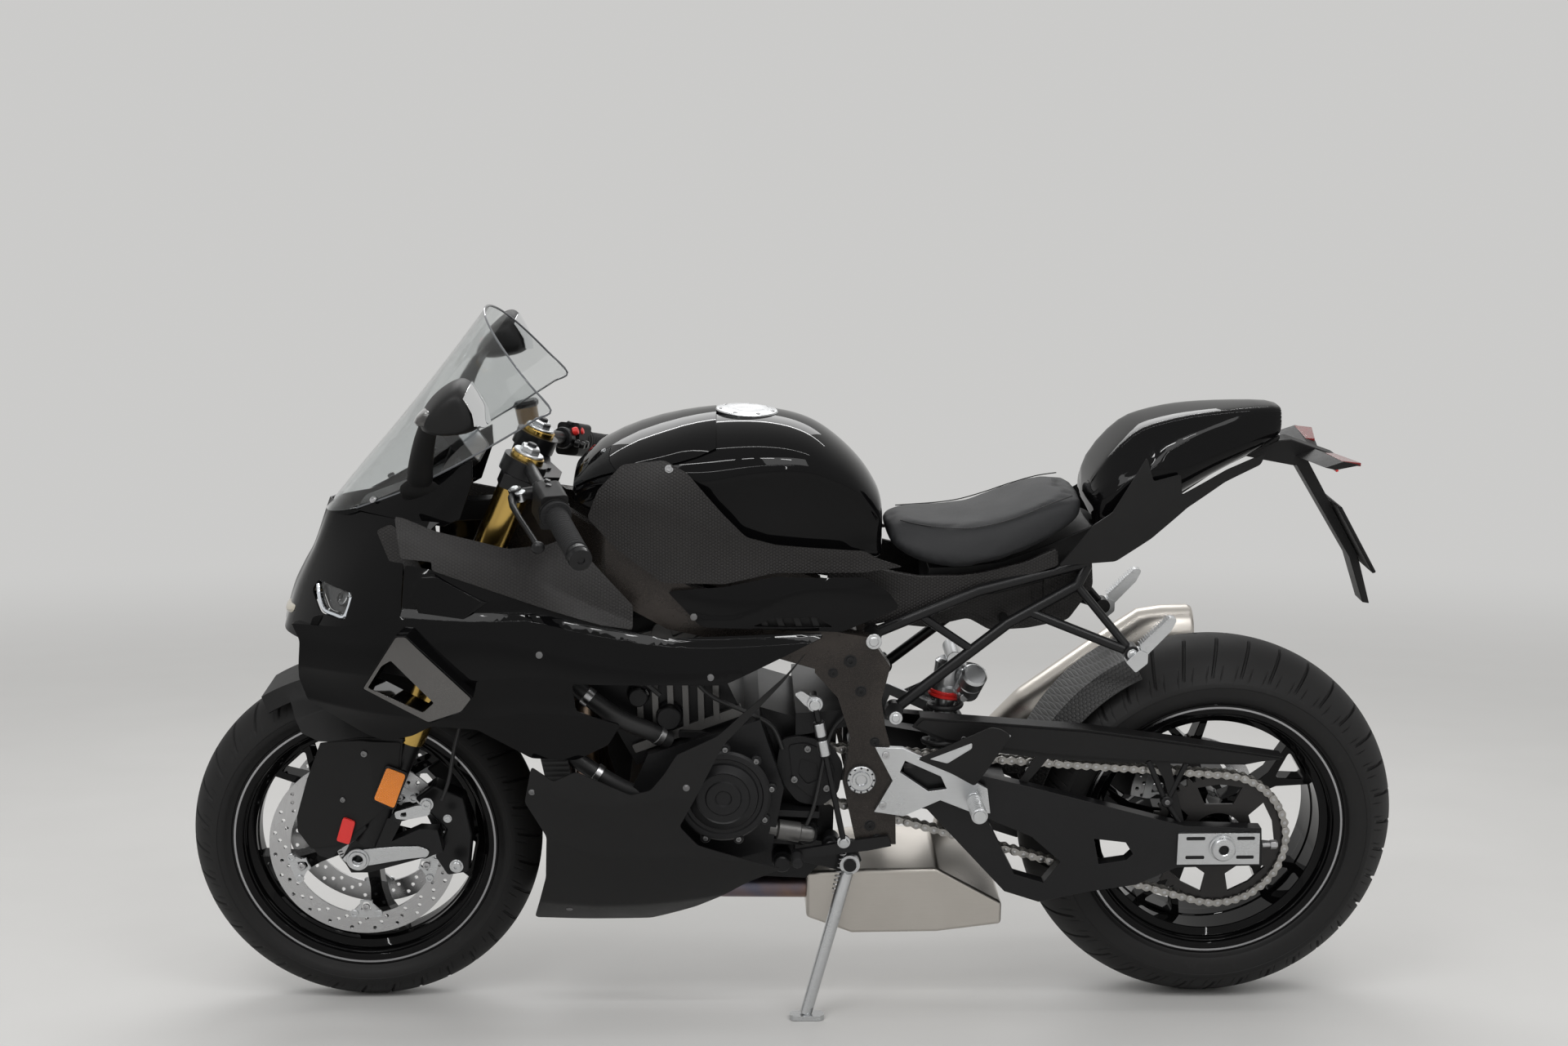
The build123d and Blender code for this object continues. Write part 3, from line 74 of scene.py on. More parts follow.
PARK = (
    Matrix.Translation((0.0, 0.0, RISE * MM))
    @ Matrix.Rotation(PITCH, 4, "Y")
    @ Matrix.Rotation(-LEAN, 4, "X")
    @ Matrix.Scale(MM, 4)
)


def fork_point(ahead: float, left: float, up: float) -> Point:
    """A point given along the fork: ahead of the fork line, to the left, and up it from the front axle."""
    c, s = math.cos(RAKE), math.sin(RAKE)
    return FRONT_AXLE[0] + ahead * c - up * s, left, FRONT_AXLE[1] + ahead * s + up * c


# ---------------------------------------------------------------- shader language
@dataclass(frozen=True)
class Tree:
    """A node tree that nodes are made in."""

    tree: bpy.types.NodeTree

    def node(self, kind: str, settings: dict | None = None, **values: object) -> bpy.types.Node:
        """Makes one node.

        Args:
            kind: The node's type.
            settings: Its properties, set first; "stops" gives a ramp's (place, colour) pairs.
            values: Its sockets' values or links, by name with _ for a space, or by number as n0, n1.

        Returns:
            The node.
        """
        made = self.tree.nodes.new(kind)
        for key, value in (settings or {}).items():
            if key == "stops":
                ramp = made.color_ramp
                while len(ramp.elements) < len(value):
                    ramp.elements.new(0.5)
                for element, (place, colour) in zip(ramp.elements, value):
                    element.position, element.color = place, colour
            else:
                setattr(made, key, value)
        for key, value in values.items():
            number = key[1:]
            which = int(number) if key[0] == "n" and number.isdigit() else key.replace("_", " ")
            socket = made.inputs[which]
            if isinstance(value, Value):
                self.tree.links.new(value.socket, socket)
            elif isinstance(value, bpy.types.NodeSocket):
                self.tree.links.new(value, socket)
            else:
                socket.default_value = value
        return made

    def value(self, kind: str, settings: dict | None = None, out: int | str = 0, **values: object) -> "Value":
        """Makes a node and wraps one of its outputs."""
        return Value(self, self.node(kind, settings, **values).outputs[out])


@dataclass(frozen=True)
class Value:
    """A number that a node gives, with the operators of arithmetic."""

    maker: Tree
    socket: bpy.types.NodeSocket

    def math(self, operation: str, *others: object, clamp: bool = False) -> "Value":
        """One Math node on this value and the others."""
        sockets = {f"n{i}": v for i, v in enumerate((self, *others))}
        return self.maker.value("ShaderNodeMath", {"operation": operation, "use_clamp": clamp}, **sockets)

    def __add__(self, other: object) -> "Value":
        """Sum."""
        return self.math("ADD", other)

    __radd__ = __add__

    def __mul__(self, other: object) -> "Value":
        """Product."""
        return self.math("MULTIPLY", other)

    __rmul__ = __mul__

    def __sub__(self, other: object) -> "Value":
        """Difference."""
        return self.math("SUBTRACT", other)

    def __rsub__(self, other: float) -> "Value":
        """A number less this value."""
        return self.maker.value("ShaderNodeMath", {"operation": "SUBTRACT"}, n0=other, n1=self)

    def __truediv__(self, other: object) -> "Value":
        """Quotient."""
        return self.math("DIVIDE", other)

    def step(self, low: float, high: float) -> "Value":
        """0 below low, 1 above high, and a smooth rise between them.

        Args:
            low: Where the rise starts.
            high: Where it ends.

        Returns:
            The share.
        """
        return self.maker.value(
            "ShaderNodeMapRange", {"interpolation_type": "SMOOTHSTEP"}, Value=self, From_Min=low, From_Max=high
        )

    def mix(self, a: object, b: object) -> bpy.types.NodeSocket:
        """The colour between a and b at this factor."""
        return self.maker.node("ShaderNodeMix", {"data_type": "RGBA"}, n0=self, n6=a, n7=b).outputs[2]


class Grain(Enum):
    """The fine relief of a finish."""

    PEEL = "peel"
    SPECK = "speck"
    HEX = "hex"
    BRUSHED = "brushed"
    TURNED = "turned"
    LEATHER = "leather"
    CAST = "cast"
    KNURL = "knurl"
    RIBS = "ribs"
    BRAID = "braid"


MADE: dict[str, bpy.types.Material] = {}  # the finishes made so far, by name


@dataclass(frozen=True)
class Finish:
    """One surface finish of the machine."""

    name: str
    slot: str
    colour: Point
    second: Point  # the colour that it varies towards
    rough: Flat  # lowest and highest roughness
    metal: float = 0.0
    coat: float = 0.0
    specular: float = 0.5
    grain: Grain = Grain.CAST
    pitch: float = 1.0  # of the fine relief, in millimetres
    depth: float = 0.05  # of the fine relief, in millimetres
    dust: float = 0.1  # share of grey dust and rub marks
    centre: Flat = (0.0, 0.0)  # axle that a turned finish runs round
    clear: float = 0.0  # transmission
    heat: bool = False

    def relief(self, t: Tree, place: bpy.types.NodeSocket) -> tuple[Value, Value]:
        """The fine relief's height, and a mask that shades its colour, both from 0 to 1.

        Args:
            t: The tree that the nodes are made in.
            place: The point that is shaded.

        Returns:
            The height and the mask.
        """
        scale = 1000.0 / self.pitch
        if self.grain == Grain.HEX:
            split = t.node("ShaderNodeSeparateXYZ", None, Vector=place)
            x, _, z = (Value(t, s) * (2 * math.pi * scale / 0.866) for s in split.outputs)
            waves = [x.math("COSINE"), (x * 0.5 + z * 0.866).math("COSINE"), (x * 0.5 - z * 0.866).math("COSINE")]
            pit = (waves[0] + waves[1] + waves[2]).step(-1.2, 0.4)
            return pit, pit
        if self.grain in (Grain.BRUSHED, Grain.TURNED):
            if self.grain == Grain.TURNED:
                wheel = t.value("ShaderNodeMapping", None, 0, Vector=place, Location=(-self.centre[0] * MM, 0, 0))
                split = t.node("ShaderNodeSeparateXYZ", None, Vector=wheel)
                x, y, z = (Value(t, s) for s in split.outputs)
                c, s = math.cos(LEAN), math.sin(LEAN)
                up = z * c + y * -s - self.centre[1] * MM
                radius = (x * x + up * up).math("SQRT")
                vector = t.value("ShaderNodeCombineXYZ", None, 0, X=radius * scale, Y=y * 3.0)
            else:
                vector = t.value("ShaderNodeMapping", None, 0, Vector=place, Scale=(scale * 0.02, scale, scale))
            line = t.value("ShaderNodeTexNoise", None, 0, Vector=vector, Scale=1.0, Detail=3.0, Roughness=0.7)
            return line, line
        if self.grain == Grain.LEATHER:
            cell = t.value("ShaderNodeTexVoronoi", {"feature": "SMOOTH_F1"}, "Distance", Vector=place, Scale=scale)
            fine = t.value("ShaderNodeTexNoise", None, 0, Vector=place, Scale=scale * 2.5, Detail=2.0)
            return cell * 0.7 + fine * 0.3, cell
        if self.grain in (Grain.KNURL, Grain.RIBS, Grain.BRAID):
            split = t.node("ShaderNodeSeparateXYZ", None, Vector=place)
            x, y, z = (Value(t, s) for s in split.outputs)
            turn = 2 * math.pi * scale
            a = ((y + (z if self.grain != Grain.RIBS else y) * 1.0) * turn).math("SINE")
            b = ((y - z) * turn).math("SINE")
            wave = (a * b if self.grain != Grain.RIBS else a) * 0.5 + 0.5
            return wave, wave
        noise = t.value(
            "ShaderNodeTexNoise", None, 0, Vector=place, Scale=scale,
            Detail=4.0 if self.grain == Grain.CAST else 2.0, Roughness=0.6,
        )
        if self.grain == Grain.SPECK:
            return noise.step(0.4, 0.6), noise.step(0.52, 0.66)
        return noise, noise

    def build(self) -> bpy.types.Material:
        """The finish as a material, made once.

        Returns:
            The material.
        """
        if self.name in MADE:
            return MADE[self.name]
        made = MADE[self.name] = bpy.data.materials.new(f"finish_{self.name}")
        made.use_nodes = True
        t = Tree(made.node_tree)
        shader = made.node_tree.nodes["Principled BSDF"]
        place = t.node("ShaderNodeTexCoord").outputs["Object"]
        height, mask = self.relief(t, place)
        cloud = t.value("ShaderNodeTexNoise", None, 0, Vector=place, Scale=7.0, Detail=5.0, Roughness=0.62)
        patch = cloud.step(0.35, 0.7)
        fine = t.value("ShaderNodeTexNoise", None, 0, Vector=place, Scale=38.0, Detail=8.0, Roughness=0.75)
        rub = fine.step(0.56, 0.76)
        body = (mask * 0.7 + patch * 0.3).mix((*self.colour, 1.0), (*self.second, 1.0))
        if self.heat:
            body = self.tint(t, place, body)
        grey = tuple(min(1.0, c * 1.6 + 0.05) for c in self.colour)
        dirty = (rub * patch * self.dust).mix(body, (*grey, 1.0))
        low, high = self.rough
        rough = patch * ((high - low) * 0.5) + mask * ((high - low) * 0.5) + rub * (self.dust * 0.4) + low
        bump = t.node("ShaderNodeBump", None, Strength=1.0, Distance=self.depth * MM, Height=height)
        made.node_tree.links.new(dirty, shader.inputs["Base Color"])
        made.node_tree.links.new(rough.socket, shader.inputs["Roughness"])
        made.node_tree.links.new(bump.outputs[0], shader.inputs["Normal"])
        shader.inputs["Metallic"].default_value = self.metal
        shader.inputs["Coat Weight"].default_value = self.coat
        shader.inputs["Coat Roughness"].default_value = 0.03
        shader.inputs["Coat IOR"].default_value = 1.27
        shader.inputs["Specular IOR Level"].default_value = self.specular
        shader.inputs["Transmission Weight"].default_value = self.clear
        return made

    def tint(self, t: Tree, place: bpy.types.NodeSocket, body: bpy.types.NodeSocket) -> bpy.types.NodeSocket:
        """The straw, bronze and blue bands that heat leaves on bare steel.

        Args:
            t: The tree that the nodes are made in.
            place: The point that is shaded.
            body: The bare steel's colour.

        Returns:
            The tinted colour.
        """
        waves = t.value("ShaderNodeTexNoise", None, 0, Vector=place, Scale=5.5, Detail=3.0, Distortion=0.6)
        ramp = t.node(
            "ShaderNodeValToRGB",
            {"stops": [(0.25, (0.42, 0.40, 0.37, 1)), (0.42, (0.30, 0.20, 0.10, 1)), (0.55, (0.22, 0.15, 0.13, 1)),
                       (0.68, (0.13, 0.13, 0.17, 1)), (0.8, (0.20, 0.18, 0.16, 1))]},
            Fac=waves,
        )
        return t.value("ShaderNodeTexNoise", None, 0, Vector=place, Scale=3.0).step(0.3, 0.6).mix(body, ramp.outputs[0])


# ---------------------------------------------------------------- finishes
GLOSS = Finish("gloss_black", "gloss_black", (0.0022, 0.0022, 0.0024), (0.0034, 0.0033, 0.0036), (0.30, 0.36), coat=0.9,
               specular=0.0, grain=Grain.PEEL, pitch=3.0, depth=0.0012, dust=0.015)
TRIM = Finish("matt_trim", "matt_trim", (0.0095, 0.0088, 0.0088), (0.021, 0.0195, 0.019), (0.36, 0.5), specular=0.26,
              grain=Grain.HEX, pitch=5.4, depth=0.35, dust=0.06)
PLAIN_TRIM = Finish("matt_moulding", "matt_trim", (0.0065, 0.0065, 0.0068), (0.0115, 0.0112, 0.0112), (0.40, 0.56),
                    specular=0.22, grain=Grain.CAST, pitch=0.9, depth=0.05, dust=0.08)
FRAME = Finish("frame_black", "frame_black", (0.016, 0.0135, 0.012), (0.075, 0.062, 0.054), (0.24, 0.36), metal=0.5,
               grain=Grain.SPECK, pitch=0.7, depth=0.03, dust=0.05)
ENGINE = Finish("engine_black", "engine_black", (0.0075, 0.0075, 0.008), (0.015, 0.015, 0.016), (0.34, 0.46),
                metal=0.3, specular=0.3,
                grain=Grain.CAST, pitch=2.4, depth=0.08, dust=0.12)
CAST = Finish("cast_black", "cast_black", (0.007, 0.007, 0.0075), (0.013, 0.013, 0.0138), (0.26, 0.38), metal=0.3,
              specular=0.35,
              grain=Grain.CAST, pitch=1.6, depth=0.03, dust=0.06)
MACHINED = Finish("machined_alloy", "machined", (0.50, 0.51, 0.52), (0.66, 0.67, 0.68), (0.22, 0.38), metal=1.0,
                  grain=Grain.BRUSHED, pitch=0.5, depth=0.012, dust=0.08)
GOLD = Finish("gold_anodised", "gold", (0.50, 0.33, 0.085), (0.60, 0.41, 0.13), (0.16, 0.26), metal=1.0,
              grain=Grain.BRUSHED, pitch=0.6, depth=0.004, dust=0.04)
DISC_FRONT = Finish("disc_steel_front", "steel", (0.40, 0.40, 0.405), (0.62, 0.62, 0.625), (0.2, 0.38), metal=1.0,
                    grain=Grain.TURNED, pitch=0.7, depth=0.02, centre=FRONT_AXLE, dust=0.05)
DISC_REAR = Finish("disc_steel_rear", "steel", (0.40, 0.40, 0.405), (0.62, 0.62, 0.625), (0.2, 0.38), metal=1.0,
                   grain=Grain.TURNED, pitch=0.7, depth=0.02, centre=REAR_AXLE, dust=0.05)
SCREW = Finish("screw_steel", "steel", (0.16, 0.16, 0.162), (0.24, 0.24, 0.243), (0.3, 0.42), metal=1.0,
               grain=Grain.BRUSHED, pitch=0.7, depth=0.01, dust=0.1)
STEEL = Finish("steel", "steel", (0.42, 0.42, 0.425), (0.55, 0.55, 0.56), (0.26, 0.4), metal=1.0, grain=Grain.BRUSHED,
               pitch=0.7, depth=0.01, dust=0.1)
CHAIN = Finish("chain_plated", "chain", (0.30, 0.29, 0.275), (0.44, 0.43, 0.41), (0.32, 0.5), metal=1.0,
               grain=Grain.CAST, pitch=3.0, depth=0.03, dust=0.3)
HEADER = Finish("header_steel", "exhaust", (0.30, 0.26, 0.22), (0.36, 0.31, 0.26), (0.26, 0.42), metal=1.0,
                grain=Grain.BRUSHED, pitch=0.8, depth=0.01, heat=True, dust=0.15)
SILENCER = Finish("silencer_steel", "exhaust", (0.50, 0.47, 0.43), (0.60, 0.57, 0.53), (0.24, 0.4), metal=1.0,
                  grain=Grain.BRUSHED, pitch=0.8, depth=0.012, dust=0.1)
RUBBER = Finish("grip_rubber", "rubber", (0.009, 0.009, 0.0095), (0.016, 0.016, 0.017), (0.62, 0.8), specular=0.26,
                grain=Grain.KNURL,
                pitch=4.0, depth=0.5, dust=0.2)
TYRE = Finish("tyre_rubber", "tyre", (0.0068, 0.0068, 0.0072), (0.0135, 0.013, 0.0128), (0.55, 0.74), specular=0.28,
              grain=Grain.CAST,
              pitch=3.0, depth=0.06, dust=0.35)
VINYL = Finish("seat_vinyl", "seat", (0.0125, 0.0128, 0.0140), (0.019, 0.0195, 0.021), (0.55, 0.68), specular=0.28,
               grain=Grain.LEATHER,
               pitch=2.4, depth=0.14, dust=0.05)
SCREEN = Finish("screen_clear", "glass_clear", (0.80, 0.82, 0.82), (0.84, 0.86, 0.86), (0.02, 0.05), grain=Grain.PEEL,
                pitch=40.0, depth=0.01, dust=0.0, clear=1.0)
LENS = Finish("lamp_lens", "lamp", (0.85, 0.87, 0.88), (0.9, 0.91, 0.92), (0.02, 0.05), grain=Grain.PEEL, pitch=30.0,
              depth=0.01, dust=0.0, clear=1.0)
BLANK = Finish("blank_board", "matt_trim", (0.045, 0.045, 0.047), (0.06, 0.06, 0.062), (0.45, 0.6), grain=Grain.CAST,
               pitch=1.2, depth=0.02)
FINS = Finish("radiator_fins", "radiator_black", (0.020, 0.020, 0.021), (0.05, 0.05, 0.05), (0.45, 0.6), metal=0.3,
              grain=Grain.RIBS, pitch=3.0, depth=0.8, dust=0.2)
# A bright metallic copy of the rim's gloss black: a painted highlight round each rim flange.
RIM_HIGHLIGHT = Finish("rim_painted_highlight", "gloss_black", (0.30, 0.30, 0.31), (0.42, 0.42, 0.43), (0.18, 0.28), metal=1.0,
                  grain=Grain.BRUSHED, pitch=0.5, depth=0.008, dust=0.03)
WING_FACE = Finish("winglet_satin", "gloss_black", (0.105, 0.102, 0.099), (0.145, 0.14, 0.136), (0.2, 0.3), metal=0.85,
                   coat=0.6, grain=Grain.SPECK, pitch=1.0, depth=0.01, dust=0.04)
LAMP_STRIP = Finish("lamp_strip", "lamp", (0.80, 0.84, 0.90), (0.86, 0.90, 0.95), (0.08, 0.16), metal=0.9, coat=0.8,
                    grain=Grain.CAST, pitch=2.0, depth=0.01, dust=0.0)
PALE_TIP = Finish("pale_lip", "gloss_black", (0.46, 0.43, 0.36), (0.54, 0.50, 0.43), (0.3, 0.42), coat=0.3,
                  grain=Grain.CAST, pitch=1.6, depth=0.02, dust=0.06)
SCREEN_RIM = Finish("screen_rim", "gloss_black", (0.09, 0.095, 0.105), (0.14, 0.145, 0.155), (0.12, 0.2), coat=0.8,
                    grain=Grain.CAST, pitch=2.0, depth=0.01)
STITCH = Finish("seat_thread", "seat", (0.010, 0.010, 0.011), (0.018, 0.018, 0.019), (0.6, 0.75), grain=Grain.BRAID,
                pitch=3.0, depth=0.3)
SPROCKET = Finish("sprocket_dark", "steel", (0.022, 0.021, 0.021), (0.036, 0.034, 0.033), (0.3, 0.44), metal=0.6,
                  grain=Grain.CAST, pitch=1.2, depth=0.02, dust=0.12)
HUGGER = Finish("hugger_hex", "matt_trim", (0.014, 0.014, 0.0145), (0.026, 0.0255, 0.025), (0.42, 0.58),
                grain=Grain.HEX,
                pitch=7.0, depth=0.5, dust=0.1)
HOSE = Finish("hose_rubber", "rubber", (0.012, 0.012, 0.013), (0.020, 0.020, 0.021), (0.4, 0.55), grain=Grain.BRAID,
              pitch=2.4, depth=0.25, dust=0.05)
BLUE_CAP = Finish("adjuster_dark", "cast_black", (0.03, 0.03, 0.032), (0.05, 0.05, 0.053), (0.2, 0.32), metal=0.8,
                  grain=Grain.BRUSHED, pitch=0.5, depth=0.01, dust=0.04)
ORANGE = Finish("reflector_orange", "matt_trim", (0.78, 0.20, 0.012), (0.86, 0.28, 0.02), (0.12, 0.24), coat=1.0,
                grain=Grain.HEX, pitch=3.0, depth=0.3, dust=0.02)
RED = Finish("red_moulding", "matt_trim", (0.62, 0.02, 0.018), (0.72, 0.035, 0.03), (0.25, 0.4), grain=Grain.CAST,
             pitch=1.4, depth=0.03, dust=0.05)
MIRROR = Finish("mirror_silvered", "glass_clear", (0.78, 0.79, 0.80), (0.82, 0.83, 0.84), (0.02, 0.04), metal=1.0,
                grain=Grain.PEEL, pitch=30.0, depth=0.01, dust=0.0)
SMOKED = Finish("lens_smoked", "lamp", (0.030, 0.029, 0.028), (0.055, 0.052, 0.05), (0.06, 0.12), coat=1.0,
                specular=0.6,
                grain=Grain.RIBS, pitch=6.0, depth=0.3, dust=0.0)
DISPLAY = Finish("display_glass", "lamp", (0.30, 0.32, 0.34), (0.42, 0.44, 0.46), (0.08, 0.14), coat=1.0,
                 grain=Grain.PEEL, pitch=30.0, depth=0.01, dust=0.0)
FLUID = Finish("reservoir_amber", "gold", (0.13, 0.075, 0.02), (0.20, 0.12, 0.04), (0.12, 0.2), coat=0.9,
               grain=Grain.PEEL, pitch=20.0, depth=0.02, dust=0.03)
RAW_CASTING = Finish("casting_grey", "machined", (0.085, 0.084, 0.082), (0.17, 0.166, 0.162), (0.36, 0.52), metal=0.7,
                     grain=Grain.CAST, pitch=1.8, depth=0.08, dust=0.15)
SMOOTH_RUBBER = Finish("rubber_smooth", "rubber", (0.010, 0.010, 0.0105), (0.017, 0.017, 0.0175), (0.42, 0.56),
                       grain=Grain.CAST, pitch=2.0, depth=0.04, dust=0.15)
REAR_LAMP = Finish("rear_lamp", "lamp", (0.16, 0.006, 0.006), (0.24, 0.012, 0.012), (0.08, 0.14), coat=1.0,
                   grain=Grain.RIBS, pitch=4.0, depth=0.3, dust=0.0)

SLOTS = {
    "gloss_black": GLOSS, "matt_trim": PLAIN_TRIM, "frame_black": FRAME, "engine_black": ENGINE, "cast_black": CAST,
    "machined": MACHINED, "gold": GOLD, "steel": STEEL, "chain": CHAIN, "exhaust": HEADER, "rubber": RUBBER,
    "tyre": TYRE, "seat": VINYL, "glass_clear": SCREEN, "lamp": LENS, "radiator_black": FINS,
}
NODE_FINISH = {
    "tank_trims": TRIM, "upper_trims": TRIM, "silencer_box": SILENCER, "end_can": SILENCER, "front_discs": DISC_FRONT,
    "rear_disc": DISC_REAR,
}


def dress_nodes() -> None:
    """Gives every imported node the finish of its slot."""
    slots = {row["node"]: row["material_slot"] for row in frame["record"]["subparts"]}
    for name, node in frame["nodes"].items():
        finish = NODE_FINISH.get(name) or SLOTS[slots[name]]
        node.data.materials.clear()
        node.data.materials.append(finish.build())


# ---------------------------------------------------------------- studio
@dataclass(frozen=True)
class Studio:
    """The pale floor, the soft lamps and the camera."""

    eye: Point = (827.9, 3625.0, 1090.6)
    yaw: float = math.radians(1.488)
    dip: float = math.radians(4.106)
    lens: float = 47.43
    floor_size: float = 60.0
    sky: float = 0.60
    tint: tuple[float, float, float, float] = (1.0, 0.995, 0.98, 1.0)
    lamps: tuple[tuple[Point, Point, Flat, float], ...] = (
        ((2500.0, 3000.0, 3600.0), (900.0, 0.0, 500.0), (2.2, 1.2), 34.0),
        ((-900.0, 2700.0, 3300.0), (300.0, 0.0, 500.0), (1.8, 1.0), 24.0),
        ((800.0, -2600.0, 3200.0), (800.0, 0.0, 500.0), (3.0, 1.2), 34.0),
        ((750.0, 700.0, 3300.0), (750.0, 300.0, 600.0), (3.6, 0.022), 9.0),
        ((750.0, -1700.0, 3000.0), (750.0, -200.0, 600.0), (3.6, 0.025), 9.0),
        ((800.0, 2900.0, 2480.0), (850.0, 240.0, 700.0), (3.4, 0.02), 7.0),
        *(((-450.0 + 520.0 * k, 2200.0, 3050.0), (-100.0 + 380.0 * k, 100.0, 700.0), (0.34, 0.05), 2.6)
          for k in range(6)),
        ((-700.0, 3300.0, 1700.0), (300.0, 100.0, 600.0), (0.025, 1.1), 3.6),
        ((2500.0, 3300.0, 1700.0), (1300.0, 100.0, 600.0), (0.025, 1.1), 3.6),
    )

    def build(self) -> None:
        """Makes the whole studio."""
        self.floor()
        self.world()
        for place, target, size, power in self.lamps:
            self.lamp(place, target, size, power)
        self.camera()

    def floor(self) -> None:
        """A wide pale floor with a faint mottle."""
        half = self.floor_size / 2
        mesh = bpy.data.meshes.new("floor")
        mesh.from_pydata([(-half, -half, 0), (half, -half, 0), (half, half, 0), (-half, half, 0)], [], [(0, 1, 2, 3)])
        material = bpy.data.materials.new("floor")
        material.use_nodes = True
        t = Tree(material.node_tree)
        shader = material.node_tree.nodes["Principled BSDF"]
        place = t.node("ShaderNodeTexCoord").outputs["Object"]
        colour = t.value("ShaderNodeTexNoise", None, 0, Vector=place, Scale=3.0, Detail=6.0).mix(
            (0.60, 0.595, 0.585, 1), (0.65, 0.645, 0.635, 1))
        split = t.node("ShaderNodeSeparateXYZ", None, Vector=place)
        x, y = (Value(t, split.outputs[k]) for k in (0, 1))
        far = ((x - 0.7) * (x - 0.7) + y * y).math("SQRT").step(2.2, 9.0)
        sky = t.node("ShaderNodeEmission", None, Color=self.tint, Strength=self.sky)
        both = t.node("ShaderNodeMixShader", None, n0=far, n1=shader.outputs[0], n2=sky.outputs[0])
        out = material.node_tree.nodes["Material Output"]
        material.node_tree.links.new(both.outputs[0], out.inputs["Surface"])
        material.node_tree.links.new(colour, shader.inputs["Base Color"])
        shader.inputs["Roughness"].default_value = 0.42
        shader.inputs["Specular IOR Level"].default_value = 0.4
        mesh.materials.append(material)
        floor = bpy.data.objects.new("floor", mesh)
        bpy.context.scene.collection.objects.link(floor)

    def world(self) -> None:
        """An even pale surround."""
        world = bpy.data.worlds.new("studio")
        world.use_nodes = True
        back = world.node_tree.nodes["Background"]
        back.inputs["Color"].default_value = self.tint
        back.inputs["Strength"].default_value = self.sky
        bpy.context.scene.world = world

    def lamp(self, place: Point, target: Point, size: Flat, power: float) -> None:
        """One soft box, aimed at a point of the machine.

        Args:
            place: Where it stands, in millimetres.
            target: The point that it faces, in millimetres.
            size: Its width and height, in metres.
            power: Its power, in watts.
        """
        light = bpy.data.lights.new("soft_box", "AREA")
        light.shape, light.size, light.size_y, light.energy = "RECTANGLE", *size, power
        made = bpy.data.objects.new("soft_box", light)
        bpy.context.scene.collection.objects.link(made)
        made.location = Vector(place) * MM
        made.rotation_euler = (Vector(target) - Vector(place)).to_track_quat("-Z", "Y").to_euler()

    def camera(self) -> None:
        """The camera on the machine's left."""
        camera = bpy.data.cameras.new("camera")
        camera.lens, camera.sensor_width = self.lens, 36.0
        made = bpy.data.objects.new("camera", camera)
        bpy.context.scene.collection.objects.link(made)
        ahead = Vector((-math.sin(self.yaw) * math.cos(self.dip), -math.cos(self.yaw) * math.cos(self.dip),
                        -math.sin(self.dip)))
        made.location = Vector(self.eye) * MM
        made.rotation_euler = ahead.to_track_quat("-Z", "Y").to_euler()
        bpy.context.scene.camera = made


# ---------------------------------------------------------------- shapes
def smooth_between(table: Sequence[tuple[float, float]], at: float) -> float:
    """A smooth curve through (place, value) pairs in rising order, held straight past its ends.

    Args:
        table: The pairs.
        at: The place.

    Returns:
        The value there.
    """
    last = len(table) - 1
    i = min(max(sum(1 for row in table if row[0] <= at) - 1, 0), last - 1)
    (x0, v0), (x1, v1) = table[i], table[i + 1]
    span = x1 - x0
    before = (v1 - table[i - 1][1]) / (x1 - table[i - 1][0]) if i > 0 else (v1 - v0) / span
    after = (table[i + 2][1] - v0) / (table[i + 2][0] - x0) if i + 2 <= last else (v1 - v0) / span
    t = (at - x0) / span
    if t < 0:
        return v0 + before * (at - x0)
    if t > 1:
        return v1 + after * (at - x1)
    return ((2 * t**3 - 3 * t**2 + 1) * v0 + (t**3 - 2 * t**2 + t) * span * before
            + (3 * t**2 - 2 * t**3) * v1 + (t**3 - t**2) * span * after)


def circle(count: int) -> list[Flat]:
    """The cosine and sine of each of the equal steps round a circle."""
    return [(math.cos(2 * math.pi * k / count), math.sin(2 * math.pi * k / count)) for k in range(count)]


def coil(low: Vector, high: Vector, radius: float, turns: int, steps: int) -> list[Point]:
    """The line of a coil spring.

    Args:
        low: The middle of its lower end.
        high: The middle of its upper end.
        radius: From its axis to the middle of the wire.
        turns: How often it goes round.
        steps: Points to a turn.

    Returns:
        Its points.
    """
    u = (high - low).normalized().orthogonal().normalized()
    w = (high - low).normalized().cross(u)
    count, line = turns * steps, []
    for k in range(count + 1):
        a = 2 * math.pi * k / steps
        line.append(tuple(low + (high - low) * (k / count) + (u * math.cos(a) + w * math.sin(a)) * radius))
    return line


def inside(point: Flat, loop: Sequence[Flat]) -> bool:
    """Whether a flat point lies in a closed loop.

    Args:
        point: The point.
        loop: The loop's corners.

    Returns:
        True if it does.
    """
    x, z = point
    hit = False
    for (x0, z0), (x1, z1) in zip(loop, [*loop[1:], loop[0]]):
        if (z0 > z) != (z1 > z) and x < (x1 - x0) * (z - z0) / (z1 - z0) + x0:
            hit = not hit
    return hit


def rounded(loop: Sequence[Flat], radius: float) -> list[Flat]:
    """A closed loop with its corners rounded.

    Args:
        loop: The loop's corners.
        radius: How far from a corner its rounding starts, at most.

    Returns:
        The new loop.
    """
    out: list[Flat] = []
    count = len(loop)
    for i, corner in enumerate(loop):
        here, before, after = Vector(corner), Vector(loop[i - 1]), Vector(loop[(i + 1) % count])
        reach = min(radius, (before - here).length * CORNER_REACH, (after - here).length * CORNER_REACH)
        a = here + (before - here).normalized() * reach
        b = here + (after - here).normalized() * reach
        for k in range(CORNER_STEPS + 1):
            t = k / CORNER_STEPS
            p = a * (1 - t) ** 2 + here * (2 * t * (1 - t)) + b * t * t
            out.append((p.x, p.y))
    return out


